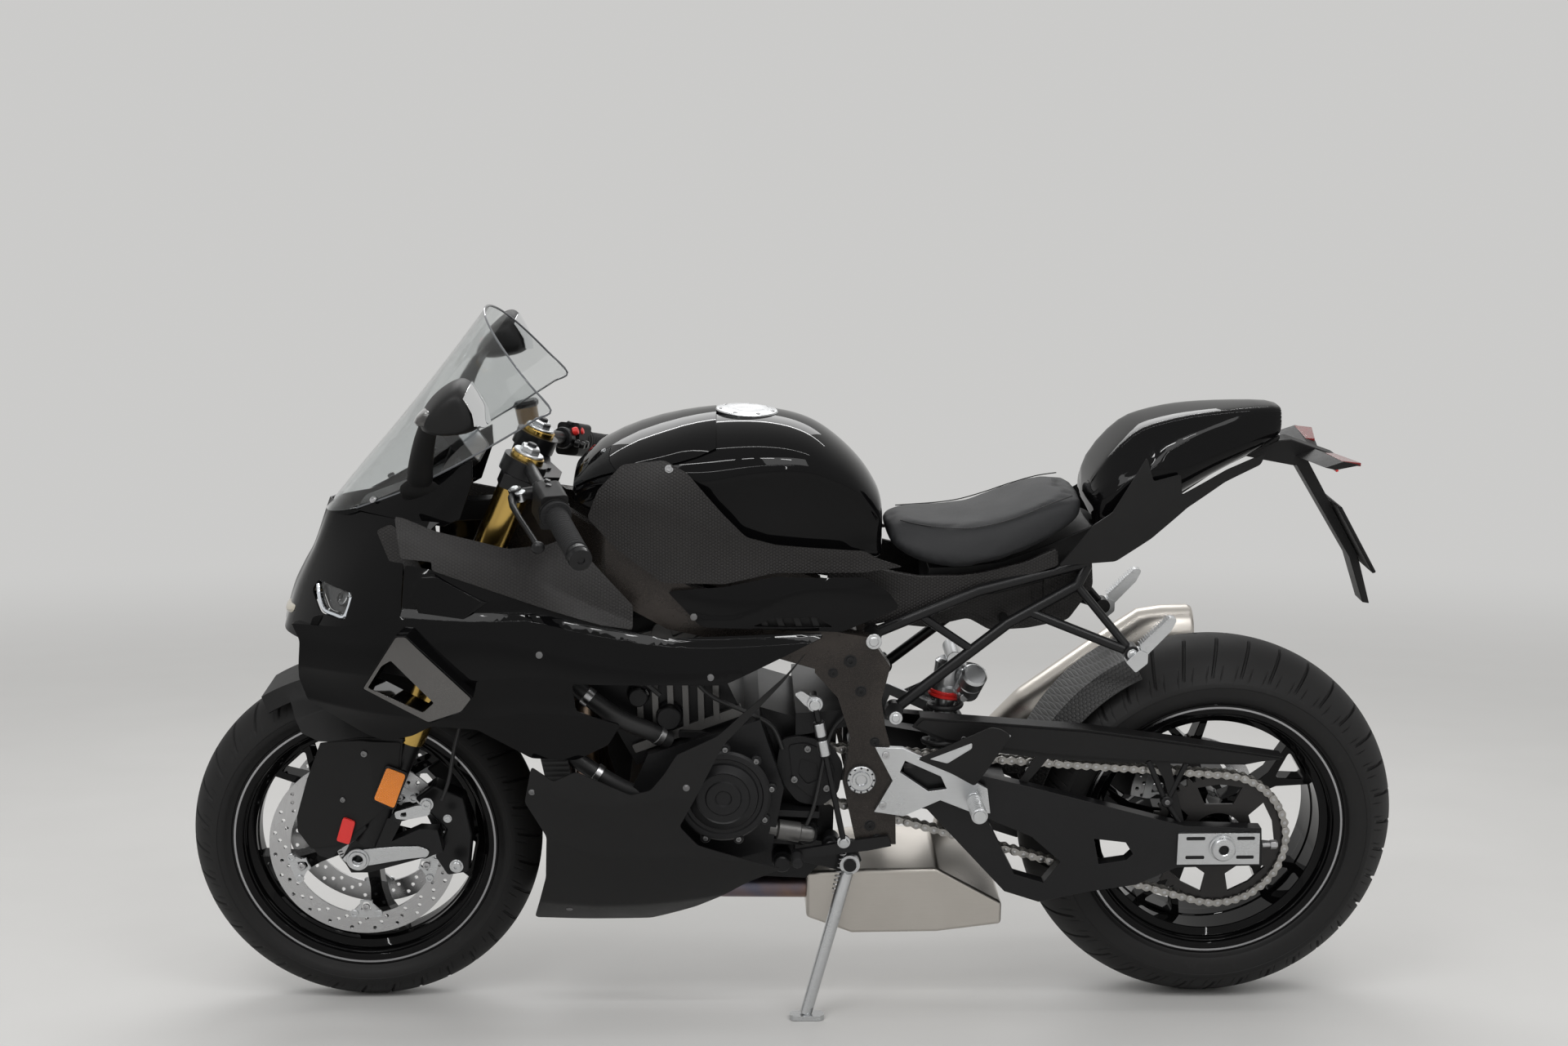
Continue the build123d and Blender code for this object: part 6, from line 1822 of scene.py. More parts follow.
@dataclass
class Tank:
    """The tank cover with its textured side pads, cap and the gloss covers over the frame."""

    rows: list[tuple[float, float, float, float, float, float]] = field(default_factory=lambda: [
        # x, top, base, half width at the shoulder, shoulder height, half width at the base
        (1088.0, 946.0, 912.0, 86.0, 926.0, 88.0), (1060.0, 976.0, 898.0, 112.0, 942.0, 112.0),
        (1020.0, 1001.0, 880.0, 134.0, 956.0, 132.0), (975.0, 1020.0, 850.0, 147.0, 962.0, 146.0),
        (930.0, 1033.0, 812.0, 156.0, 962.0, 152.0), (870.0, 1044.0, 808.0, 160.0, 956.0, 150.0),
        (810.0, 1048.0, 806.0, 158.0, 966.0, 146.0), (755.0, 1045.0, 806.0, 150.0, 970.0, 138.0),
        (700.0, 1032.0, 806.0, 138.0, 966.0, 128.0), (660.0, 1009.0, 806.0, 124.0, 950.0, 116.0),
        (620.0, 973.0, 806.0, 106.0, 928.0, 104.0), (596.0, 944.0, 806.0, 92.0, 900.0, 94.0),
        (573.0, 902.0, 808.0, 78.0, 866.0, 82.0)])
    cap: Flat = (800.0, 1041.0)
    cap_r: float = 52.0
    trim: list[tuple[float, list[Flat]]] = field(default_factory=lambda: [
        (1060.0, [(118, 966), (150, 908), (166, 830)]), (1003.0, [(134, 990), (166, 926), (180, 810)]),
        (930.0, [(152, 1004), (182, 922), (186, 780)]), (847.0, [(160, 1000), (178, 884), (182, 780)]),
        (768.0, [(154, 980), (170, 862), (176, 780)]), (690.0, [(142, 960), (160, 834), (170, 780)]),
        (540.0, [(112, 920), (132, 824), (146, 780)])])
    trim_outline: list[Flat] = field(default_factory=lambda: [
        (1058, 900), (1040, 945), (1001, 985), (933, 996), (896, 977), (841, 913), (802, 872), (755, 858), (609, 841),
        (585, 826), (545, 812), (612, 806), (755, 812), (837, 796), (937, 800), (1015, 856)])
    gloss: list[tuple[float, list[Flat]]] = field(default_factory=lambda: [
        (940.0, [(176, 812), (184, 768), (182, 710)]), (834.0, [(172, 818), (188, 744), (182, 706)]),
        (709.0, [(164, 830), (184, 786), (176, 700)]), (560.0, [(138, 840), (152, 770), (146, 690)])])
    gloss_outline: list[Flat] = field(default_factory=lambda: [
        (930, 786), (834, 792), (755, 808), (612, 802), (572, 777), (551, 748), (604, 728), (647, 712), (760, 722),
        (874, 727)])
    vent: list[Flat] = field(default_factory=lambda: [(792, 728), (757, 742), (688, 741), (662, 722)])

    def ring(self, x: float) -> list[Point]:
        """The tank's section at x, from the left base over the top to the right base.

        Args:
            x: The lengthwise place.

        Returns:
            The section's points.
        """
        top, base, half, shoulder, low = (smooth_between(sorted((row[0], row[k]) for row in self.rows), x)
                                          for k in range(1, 6))
        left = []
        for t in (0.0, 0.25, 0.5, 0.75, 0.93, 1.0, 1.07):
            z = base + (shoulder - base) * t
            pinch = 9.0 * math.sin(math.pi * min(t, 1.0)) * (0.5 + 0.5 * (x < 860))
            left.append((x, low + (half - low) * t - pinch + (2.0 if t == 1.0 else 0.0), z))
        crown = []
        for k in range(1, 9):
            a = math.pi / 2 * k / 8
            crown.append((x, half * 0.985 * math.cos(a) ** 0.9 if k < 8 else 0.0,
                          shoulder + (shoulder - base) * 0.07 + (top - shoulder - (shoulder - base) * 0.07)
                          * math.sin(a) ** 1.15))
        side_line = left + crown
        return side_line + [(px, -py, pz) for px, py, pz in side_line[-2::-1]]

    def build(self) -> None:
        """Builds the cover, cap, pads and frame covers."""
        tank = Piece("tank_cover", "chassis", GLOSS)
        stations = [1088.0, 1080.0, 1060, 1035, 1005, 975, 940, 905, 870, 840, 810, 780, 750, 720, 690, 665, 640, 618,
                    600, 586, 573.0]
        tank.loft([self.ring(x) for x in stations])
        tank.done(replaces=["fuel_tank"], levels=2, sharp=180)
        self.filler()
        self.seam_cover()
        pads = Skin(self.trim, (5.0, -4.0), soft=7.0)
        pad = Piece("tank_side_pads", "chassis", TRIM)
        pad.panel(rounded(self.trim_outline, 8.0), pads.spot, pads.seams(), step=12.0).mirror()
        pad.done(replaces=["tank_trims"], wall=3.0, bevel=1.0, sharp=34)
        lower = Skin(self.gloss, (3.0, 5.0), soft=4.0)
        cover = Piece("frame_side_covers", "chassis", GLOSS)
        cover.panel(rounded(self.gloss_outline, 9.0), lower.spot, lower.seams(), [rounded(self.vent, 3.0)],
                    step=11.0).mirror()
        cover.done(replaces=["frame_covers"], wall=3.0, bevel=1.0, sharp=30)
        grille = Piece("side_cover_vents", "chassis", PLAIN_TRIM)
        grille.panel(rounded([(800, 724), (760, 748), (684, 748), (652, 718)], 3.0),
                     lambda x, z: (x, lower.place(x, z) - 9.0, z), step=14.0)
        for x in (682, 710, 738, 764):
            grille.panel([(x, 720), (x + 10, 720), (x + 18, 744), (x + 8, 744)],
                         lambda px, pz: (px, lower.place(px, pz) - 3.4, pz), step=12.0)
        grille.mirror().done(wall=3.0, bevel=0.6)
        x, z = 925.0, 983.0
        places = [Spot((x, pads.place(x, z) - 0.4, z), (0.0, 1.0, 0.55), 1.0)]
        places.append(Spot((887.0, lower.place(887, 744) - 0.2, 744.0), (0, 1, 0.1), 0.8))
        repeat("tank_screws", "chassis", SCREW, screw_part(5.0, 2.0, 0.5, 7.0), both_sides(places))

    def seam_cover(self) -> None:
        """The raised front cover whose edge crosses the tank ahead of the cap."""
        line = Piece("tank_front_cover", "chassis", GLOSS)
        rows = []
        stations = [1082, 1060, 1035, 1005, 975, 940, 905, 880, 862, 850]
        for x in stations:
            ring = self.ring(x)
            start = 7 + (0 if x > 940 else (940 - x) / 45)
            line_points = []
            for k in range(13):
                at = start + (len(ring) - 1 - 2 * start) * k / 12
                i = min(int(at), len(ring) - 2)
                t = at - i
                p = [ring[i][n] + (ring[i + 1][n] - ring[i][n]) * t for n in range(3)]
                out = Vector((0.25, p[1] / 150.0, 1.0)).normalized() * 1.9
                line_points.append((p[0] + out.x, p[1] + out.y, p[2] + out.z))
            rows.append(line_points)
        line.loft(rows, closed=False, caps=False)
        line.done(wall=1.6, bevel=0.4, sharp=50)

    def filler(self) -> None:
        """The satin filler cap with its ring of screws."""
        tilt = math.radians(3.0)
        axis = Vector((math.sin(-tilt), 0.0, math.cos(tilt)))
        base = Vector((self.cap[0], 0.0, self.cap[1])) + axis * 1.0
        lid = Piece("filler_lid", "fuel_cap", MACHINED)
        lid.rod(tuple(base), tuple(base + axis * 8.0),
                [(0.0, self.cap_r - 1), (0.55, self.cap_r), (0.8, self.cap_r - 1.4),
                 (0.86, self.cap_r - 7), (0.9, self.cap_r - 8.5),
                 (1.0, self.cap_r - 12), (1.0, self.cap_r - 26),
                 (0.92, self.cap_r - 27.5), (0.92, self.cap_r - 40),
                 (1.0, self.cap_r - 41.5), (1.0, self.cap_r - 45)], 72)
        lid.done(replaces=["fuel_cap"], sharp=25)
        spots = []
        for k in range(7):
            a = math.radians(51.4 * k + 12)
            p = base + axis * 6.4 + Vector((math.cos(a) * 43.0, math.sin(a) * 43.0,
                                            math.sin(tilt) * math.cos(a) * 43.0))
            spots.append(Spot(tuple(p), tuple(axis), 0.62))
        repeat("filler_screws", "fuel_cap", STEEL, screw_part(6.0, 2.6, 0.5), spots)


@dataclass
class Saddle:
    """The rider's seat as a crowned cushion, and the tail behind it."""

    rows: list[tuple[float, float, float, float, float]] = field(default_factory=lambda: [
        # x, crown, low, half width at the crown, half width below
        (574.0, 872.0, 836.0, 46.0, 82.0), (545.0, 872.0, 820.0, 66.0, 104.0), (510.0, 869.0, 808.0, 88.0, 120.0),
        (470.0, 868.0, 803.0, 104.0, 132.0), (430.0, 871.0, 803.0, 116.0, 139.0), (385.0, 882.0, 815.0, 124.0, 142.0),
        (345.0, 896.0, 830.0, 124.0, 138.0), (300.0, 912.0, 850.0, 114.0, 127.0), (265.0, 921.0, 872.0, 100.0, 112.0),
        (241.0, 920.0, 890.0, 88.0, 98.0)])
    tail: list[tuple[float, ...]] = field(default_factory=lambda: [
        # x, top, low, half at the top, half at the crease, crease height, upper crease height, half there
        (236.0, 934.0, 850.0, 64.0, 98.0, 900.0, 912.0, 92.0), (205.0, 984.0, 850.0, 66.0, 108.0, 926.0, 948.0, 98.0),
        (165.0, 1024.0, 852.0, 66.0, 115.0, 958.0, 972.0, 102.0),
        (136.0, 1035.0, 872.0, 66.0, 112.0, 975.0, 988.0, 100.0),
        (92.0, 1046.5, 908.0, 64.0, 103.0, 964.0, 1008.0, 91.0), (55.0, 1052.0, 930.0, 60.0, 93.0, 979.0, 1024.0, 82.0),
        (13.0, 1056.0, 952.0, 53.0, 79.0, 994.0, 1036.0, 68.0),
        (-50.0, 1059.0, 984.0, 41.0, 58.0, 1012.0, 1046.0, 49.0),
        (-98.0, 1059.5, 1008.0, 30.0, 41.0, 1031.0, 1048.0, 36.0)])

    def build(self) -> None:
        """Builds the cushion, its seams, the tail cowl and its side pieces."""
        self.cushion()
        self.cowl()

    def cushion(self) -> None:
        """A padded seat, swelled by simulation and then dressed."""
        shape = Piece("seat_cushion", "chassis", VINYL)
        loops = []
        for x, top, low, half, wide in self.rows:
            ring = []
            for k in range(13):
                y = -half + 2 * half * k / 12
                ring.append((x, y, top - 4.0 + 3.0 * (1 - (y / half) ** 2)))
            ring += [(x, wide - 5, low + 24), (x, wide - 4, low + 12), (x, wide - 8, low + 3), (x, 0.0, low + 3),
                     (x, 8 - wide, low + 3), (x, 4 - wide, low + 12), (x, 5 - wide, low + 24)]
            loops.append(ring)
        shape.loft(loops)
        soft = shape.done(replaces=["seat"], levels=1, sharp=180)
        self.swell(soft)
        seam = Piece("seat_seams", "chassis", STITCH)
        for sign in (1, -1):
            seam.tube([(x, sign * (half - 13), top - 1.6) for x, top, _, half, _ in self.rows[1:-1]], 1.0,
                      sides=6, steps=6)
        seam.tube([(318, y, 906.0 - abs(y) * 0.02) for y in (-96, -60, -20, 20, 60, 96)], 1.0, sides=6, steps=6)
        seam.done()

    @staticmethod
    def swell(soft: bpy.types.Object) -> None:
        """Pumps the cushion up a little, holding how far each point moves.

        Args:
            soft: The cushion, changed in place.
        """
        work = soft.copy()
        work.data = soft.data.copy()
        bpy.context.scene.collection.objects.link(work)
        remesh = work.modifiers.new("even", "REMESH")
        remesh.mode, remesh.voxel_size = "VOXEL", 0.006
        bpy.context.view_layer.update()
        even = bpy.data.meshes.new_from_object(work.evaluated_get(bpy.context.evaluated_depsgraph_get()))
        work.modifiers.clear()
        work.data = even
        start = [v.co.copy() for v in even.vertices]
        cloth = work.modifiers.new("air", "CLOTH")
        cloth.settings.quality = 5
        cloth.settings.use_pressure, cloth.settings.uniform_pressure_force = True, 4.0
        cloth.settings.effector_weights.gravity = 0.0
        for frame_number in range(1, 21):
            bpy.context.scene.frame_set(frame_number)
        swollen = bpy.data.meshes.new_from_object(work.evaluated_get(bpy.context.evaluated_depsgraph_get()))
        bpy.context.scene.frame_set(1)
        cap = 0.0045
        for vertex, before in zip(swollen.vertices, start):
            move = vertex.co - before
            if move.length > cap:
                vertex.co = before + move.normalized() * cap
        bpy.data.objects.remove(work)
        finer = bpy.data.objects.new("seat_work", swollen)
        bpy.context.scene.collection.objects.link(finer)
        smooth = finer.modifiers.new("smooth", "SMOOTH")
        smooth.factor, smooth.iterations = 0.5, 4
        curves = finer.modifiers.new("curves", "SUBSURF")
        curves.levels = 1
        bpy.context.view_layer.update()
        mesh = bpy.data.meshes.new_from_object(finer.evaluated_get(bpy.context.evaluated_depsgraph_get()))
        bpy.data.objects.remove(finer)
        mesh.materials.clear()
        mesh.materials.append(VINYL.build())
        for polygon in mesh.polygons:
            polygon.use_smooth = True
        soft.data = mesh

    def cowl(self) -> None:
        """The gloss tail cowl, its textured side pieces and the dark underside."""
        cowl = Piece("tail_shell", "chassis", GLOSS)
        loops = []
        for x, top, low, half, wide, crease, upper, waist in self.tail:
            left = [(x, wide * 0.62, low), (x, wide * 0.88, low + (crease - low) * 0.3), (x, wide * 0.985, crease - 12),
                    (x, wide, crease - 2), (x, wide - 0.8, crease + 1.6),
                    (x, (wide + waist) / 2 + 0.5, (crease + upper) / 2), (x, waist + 0.8, upper - 2),
                    (x, waist - 1.2, upper + 1.2), (x, half + 6, top - 9), (x, half + 1, top - 3),
                    (x, half - 5, top - 0.5), (x, half * 0.5, top + 0.6)]
            loops.append([*left, (x, 0.0, top + 1.0), *[(px, -py, pz) for px, py, pz in left[::-1]]])
        cowl.loft(loops)
        cowl.done(replaces=["tail_cowl"], levels=1, sharp=42)
        skin = Skin([(300.0, [(128.6, 900), (137.6, 850), (131.6, 806)]),
                     (165.0, [(113.4, 1000), (121.4, 930), (117.4, 850)]),
                     (80.0, [(98.4, 1010), (105.4, 950), (101.4, 880)]),
                     (0.0, [(76.4, 1030), (81.4, 985), (77.4, 940)]),
                     (-80.0, [(50.4, 1040), (53.4, 1000), (50.4, 960)])], (2.0, 2.0), soft=3.0)
        trim = Piece("tail_side_pieces", "chassis", PLAIN_TRIM)
        trim.panel(rounded([(290, 812), (236, 880), (205, 900), (150, 990), (138, 950), (92, 960), (88, 925), (10, 962),
                            (-58, 985), (-50, 966), (13, 941), (77, 903), (136, 853), (195, 816)], 5.0),
                   skin.spot, skin.seams(), step=11.0).mirror()
        trim.done(replaces=["tail_trims"], wall=3.0, bevel=0.8, sharp=30)
        tray = Piece("under_seat_tray", "chassis", TRIM)
        tray.prism(rounded([(572, 698), (420, 756), (300, 786), (226, 812), (222, 760), (262, 702), (330, 688),
                            (392, 684), (430, 706), (500, 690)], 9.0), -72.0, 72.0)
        for sign in (1, -1):
            low, high = sorted((sign * 71.0, sign * 75.0))
            tray.prism(rounded([(520, 706), (424, 742), (330, 768), (318, 712), (380, 698), (428, 716)], 7.0), low,
                       high)
            tray.prism(rounded([(306, 774), (240, 792), (244, 762), (276, 716), (302, 712)], 7.0), low, high)
        tray.done(bevel=1.6, sharp=30)
        apron = Piece("seat_side_panels", "chassis", TRIM)
        apron.prism(rounded([(668, 812), (625, 806), (585, 803), (551, 795), (516, 789), (481, 790), (450, 790),
                             (413, 795), (344, 812), (290, 836), (286, 806), (378, 774), (464, 744), (539, 716),
                             (600, 704), (668, 740)], 8.0), 100.0, 109.0).mirror()
        apron.done(bevel=1.8, sharp=30)


# ---------------------------------------------------------------- machinery
@dataclass
class Machinery:
    """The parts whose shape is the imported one, given rounded edges and a finish."""

    parts: dict[str, tuple[str, Finish, float]] = field(default_factory=lambda: {
        "main_frame": ("twin_spar_frame", FRAME, 3.5), "subframe": ("trellis_subframe", CAST, 0.0),
        "swingarm": ("cast_swingarm", CAST, 4.0), "engine": ("engine_block", ENGINE, 5.0),
        "radiator": ("water_radiator", FINS, 1.2), "undertail": ("undertail_tray", PLAIN_TRIM, 2.0),
        "triple_clamps": ("fork_clamps", CAST, 1.6), "fork_tubes": ("gold_fork_tubes", GOLD, 0.8),
        "fork_legs": ("fork_feet", CAST, 2.6), "front_spindle": ("front_axle_tube", MACHINED, 0.8),
        "front_calipers": ("front_brake_calipers", CAST, 4.0), "clip_ons": ("handlebar_tubes", CAST, 1.0),
        "front_fender": ("front_mudguard", PLAIN_TRIM, 0.9), "exhaust_headers": ("header_pipes", HEADER, 0.0),
        "silencer_box": ("exhaust_box", SILENCER, 6.0),
        "rear_hugger": ("tyre_hugger", HUGGER, 0.9), "chain_guard": ("chain_cover", PLAIN_TRIM, 1.2),
        "footrest_hangers": ("footrest_plates", MACHINED, 1.6), "foot_controls": ("foot_levers", CAST, 1.2),
        "plate_holder": ("plate_carrier", PLAIN_TRIM, 2.0),
        "rear_indicators": ("indicator_blades", PLAIN_TRIM, 2.4), "rear_caliper": ("rear_brake_caliper", CAST, 2.6),
        "rear_spindles": ("axle_blocks", MACHINED, 1.4), "stand_bracket": ("stand_mount", CAST, 1.4),
        "side_stand": ("stand_leg", MACHINED, 1.2), "rear_sprocket": ("toothed_ring", SPROCKET, 0.5),
        "front_stay": ("nose_stay", CAST, 1.4), "dashboard": ("instrument_case", PLAIN_TRIM, 2.4),
        "switchgear": ("switch_housings", PLAIN_TRIM, 3.0),
    })

    def build(self) -> None:
        """Builds every part."""
        bodies = {node: body for body, nodes in frame["record"]["behaviour"]["bodies"].items() for node in nodes}
        for node, (name, finish, bevel) in self.parts.items():
            piece = Piece(name, bodies[node], finish).cad(node)
            piece.done(replaces=[node], bevel=bevel, sharp=34, segments=3 if bevel > 2.2 else 2)


@dataclass
class Chain:
    """The roller chain, link by link, on its two sprockets."""

    pitch: float = 15.875
    teeth: tuple[int, int] = (46, 17)
    small: Flat = (690.0, 452.0)
    lateral: float = 115.0
    gap: float = 10.4
    plate: float = 2.1
    height: float = 14.2

    def pins(self) -> list[tuple[float, float, float]]:
        """The pins in order: x, z and the heading of the run there.

        Returns:
            One row for each pin.
        """
        big_r, small_r = (self.pitch / 2 / math.sin(math.pi / n) for n in self.teeth)
        dx, dz = self.small[0] - REAR_AXLE[0], self.small[1] - REAR_AXLE[1]
        span, heading = math.hypot(dx, dz), math.atan2(dz, dx)
        tilt = math.asin((big_r - small_r) / span)
        run = span * math.cos(tilt)
        arcs = small_r * (math.pi - 2 * tilt), big_r * (math.pi + 2 * tilt)
        count = 2 * round(sum((2 * span / self.pitch, sum(self.teeth) / 2)) / 2)
        total, out = 2 * run + sum(arcs), []
        for i in range(count):
            s = total * i / count
            if s < run + arcs[0]:
                a = heading + math.pi / 2 - tilt - max(0.0, s - run) / small_r
                at, r, t = (REAR_AXLE, big_r, s) if s < run else (self.small, small_r, 0.0)
            else:
                s -= run + arcs[0]
                a = heading - math.pi / 2 + tilt - max(0.0, s - run) / big_r
                at, r, t = (self.small, small_r, s) if s < run else (REAR_AXLE, big_r, 0.0)
            out.append((at[0] + r * math.cos(a) + t * math.sin(a), at[1] + r * math.sin(a) - t * math.cos(a), a))
        return out

    def link(self) -> Piece:
        """One waisted plate with its two pin ends, about its middle and along +X.

        Returns:
            The plate.
        """
        half, r, waist = self.pitch / 2, self.height / 2, self.height * 0.3
        loop = []
        for sign in (1, -1):
            for k in range(-4, 5):
                a = math.radians(k * 29)
                loop.append((sign * (half + r * math.cos(a)), sign * r * math.sin(a)))
            loop.append((0.0, sign * waist))
        part = Piece("link", "chassis", CHAIN)
        part.loft([[(x * s, y * s, z) for x, y in loop]
                   for s, z in ((1.0, -self.plate / 2), (1.0, self.plate / 2 - 0.5), (0.95, self.plate / 2))])
        return part

    def build(self) -> None:
        """Builds the plates, rollers and pins."""
        pins = self.pins()
        plates, rollers, heads = [], [], []
        for i, (x, z, _) in enumerate(pins):
            after = pins[(i + 1) % len(pins)]
            turn = math.degrees(math.atan2(after[1] - z, after[0] - x))
            out = self.gap / 2 + self.plate * (1.5 if i % 2 else 0.5)
            for sign in (1, -1):
                middle = ((x + after[0]) / 2, self.lateral + sign * out, (z + after[1]) / 2)
                plates.append(Spot(middle, (0, sign, 0), 1.0, -sign * turn))
            rollers.append(Spot((x, self.lateral, z), (0, 1, 0)))
            for sign in (1, -1):
                heads.append(Spot((x, self.lateral + sign * (self.gap / 2 + 2 * self.plate), z), (0, sign, 0)))
        repeat("chain_plates", "chassis", CHAIN, self.link(), plates, replaces=["drive_chain"], sharp=40)
        roller = Piece("roller", "chassis", CHAIN)
        roller.loft([[(4.6 * u, 4.6 * v, z) for u, v in circle(14)] for z in (-self.gap / 2, self.gap / 2)])
        repeat("chain_rollers", "chassis", CHAIN, roller, rollers)
        pin = Piece("pin", "chassis", CHAIN)
        pin.loft([[(r * u, r * v, z) for u, v in circle(12)] for r, z in ((2.8, -0.5), (2.8, 0.9), (2.1, 1.3))])
        repeat("chain_pins", "chassis", STEEL, pin, heads)


@dataclass
class FrontEnd:
    """Details that turn with the fork: axle nut, wheel cover folds, reflectors, calipers' bolts and hoses."""

    def build(self) -> None:
        """Builds the details, left and right."""
        self.axle()
        self.covers()
        self.brakes()

    def axle(self) -> None:
        """Stepped axle nuts and the polished arms to the calipers."""
        nut = Piece("front_axle_nuts", "steering", MACHINED)
        for sign in (1, -1):
            nut.turned([(9.2, sign * 118), (9.2, sign * 127), (10.5, sign * 128), (15.0, sign * 128),
                        (15.6, sign * 127), (16.2, sign * 125), (18.6, sign * 125), (19.4, sign * 124),
                        (19.6, sign * 119)], FRONT_AXLE, 48)
        nut.done(sharp=28)
        arm = Piece("caliper_arms", "steering", MACHINED)
        for sign in (1, -1):
            arm.plate(rounded([(1470, 288), (1484, 300), (1470, 314), (1440, 318), (1392, 322), (1352, 322),
                               (1336, 314), (1340, 303), (1372, 300), (1440, 288)], 5.0),
                      sign * 118.6, sign * 121.6, [rounded([(1456, 292), (1470, 300), (1456, 309), (1444, 300)], 6.0)])
        arm.done(bevel=1.0)
        ring = Piece("sensor_rings", "front_wheel", STEEL)
        ring.turned([(26.0, 61.0), (47.0, 61.0), (47.0, 63.0), (26.0, 63.0)], FRONT_AXLE, 96)
        ring.done(bevel=0.3)
        slots = [Spot((FRONT_AXLE[0] + 42 * math.cos(2 * math.pi * k / 48), 63.1,
                       FRONT_AXLE[1] + 42 * math.sin(2 * math.pi * k / 48)), (0, 1, 0), 1.0,
                      -360.0 * k / 48) for k in range(48)]
        block = Piece("slot", "front_wheel", CAST)
        block.loft([[(-3.6, -1.0, z), (3.6, -1.0, z), (3.6, 1.0, z), (-3.6, 1.0, z)] for z in (-0.6, 0.25)])
        repeat("sensor_slots", "front_wheel", CAST, block, slots)

    def covers(self) -> None:
        """The folded wheel covers, their screws, the reflectors and the red blocks."""
        cover = Piece("wheel_cover_faces", "steering", PLAIN_TRIM)
        rows = Skin([(1560.0, [(137.5, 540), (137.5, 300)]), (1470.0, [(138.5, 540), (139.0, 300)]),
                     (1424.0, [(144.5, 540), (145.0, 300)]), (1416.0, [(144.0, 540), (144.5, 300)]),
                     (1368.0, [(138.0, 540), (138.0, 300)])], (0.1,))
        cover.panel(rounded([(1505, 513), (1530, 449), (1550, 385), (1550, 359), (1530, 328), (1486, 332), (1442, 368),
                             (1402, 401), (1380, 470), (1374, 514), (1440, 519)], 5.0), rows.spot,
                    [[(1470, z) for z in range(340, 520, 10)], [(1424, z) for z in range(380, 520, 10)]], step=11.0)
        cover.mirror().done(wall=2.4, bevel=0.8, sharp=26)
        low = Piece("wheel_cover_tongues", "steering", CAST)
        for sign in (1, -1):
            low.plate(rounded([(1532, 332), (1490, 338), (1450, 372), (1436, 362), (1460, 338), (1486, 322),
                               (1500, 306), (1520, 312)], 5.0), sign * 126, sign * 134)
        low.done(bevel=1.6)
        glow = Piece("side_reflectors", "steering", ORANGE)
        rim = Piece("reflector_rims", "steering", CAST)
        loop = [(1397, 474), (1366, 461), (1388, 402), (1421, 418)]
        middle = (1393.0, 439.0)
        for sign in (1, -1):
            base = sign * 144.5
            for piece, grow_by, depth in ((rim, 1.12, 3.0), (glow, 1.0, 4.4)):
                ring = rounded([(middle[0] + (x - middle[0]) * grow_by, middle[1] + (z - middle[1]) * grow_by)
                                for x, z in loop], 5.0)
                piece.plate(ring, base - sign * 4.0, base + sign * depth)
        rim.done(bevel=0.8)
        glow.done(bevel=1.2)
        red = Piece("red_blocks", "steering", RED)
        for sign in (1, -1):
            red.plate(rounded([(1474, 384), (1454, 376), (1466, 336), (1487, 343)], 4.0), sign * 139, sign * 145)
        red.done(bevel=1.2)
        spots = [Spot((1434, 144.6, 497), (0, 1, 0), 1.1), Spot((1474, 139.6, 414), (0, 1, 0), 0.9)]
        repeat("cover_screws", "steering", SCREW, screw_part(5.0, 2.0, 0.5), both_sides(spots))

    def brakes(self) -> None:
        """Caliper bolts, pad springs and the braided hoses up to the fork."""
        spots = [Spot((1338, 121.2, 398), (0, 1, 0), 1.3), Spot((1292, 121.2, 286), (0, 1, 0), 1.3),
                 Spot((1304, 121.2, 372), (0, 1, 0), 0.8)]
        repeat("caliper_bolts", "steering", MACHINED, screw_part(6.5, 4.0, 0.5, 9.0), both_sides(spots))
        link = Piece("caliper_bridges", "steering", MACHINED)
        for sign in (1, -1):
            link.plate(rounded([(1392, 386), (1352, 398), (1330, 392), (1334, 380), (1372, 372), (1390, 374)], 4.0),
                       sign * 118, sign * 126, [rounded([(1372, 378), (1382, 378), (1382, 384), (1372, 386)], 2.0)])
        link.done(bevel=1.2)
        hose = Piece("brake_hoses", "steering", HOSE)
        for sign in (1, -1):
            hose.tube([(1314, sign * 112, 402), (1300, sign * 116, 440), (1288, sign * 114, 500),
                       (1270, sign * 104, 560), (1236, sign * 92, 640), (1196, sign * 84, 730),
                       (1166, sign * 78, 810)], 3.4, sides=10, steps=10)
        hose.done()


# ---------------------------------------------------------------- cockpit and fittings
def ring_at(centre: Point, u: Point, w: Point, loop: Sequence[Flat], size: float = 1.0) -> list[Point]:
    """A flat loop of points, laid in the plane of two directions."""
    return [tuple(centre[i] + (u[i] * a + w[i] * b) * size for i in range(3)) for a, b in loop]


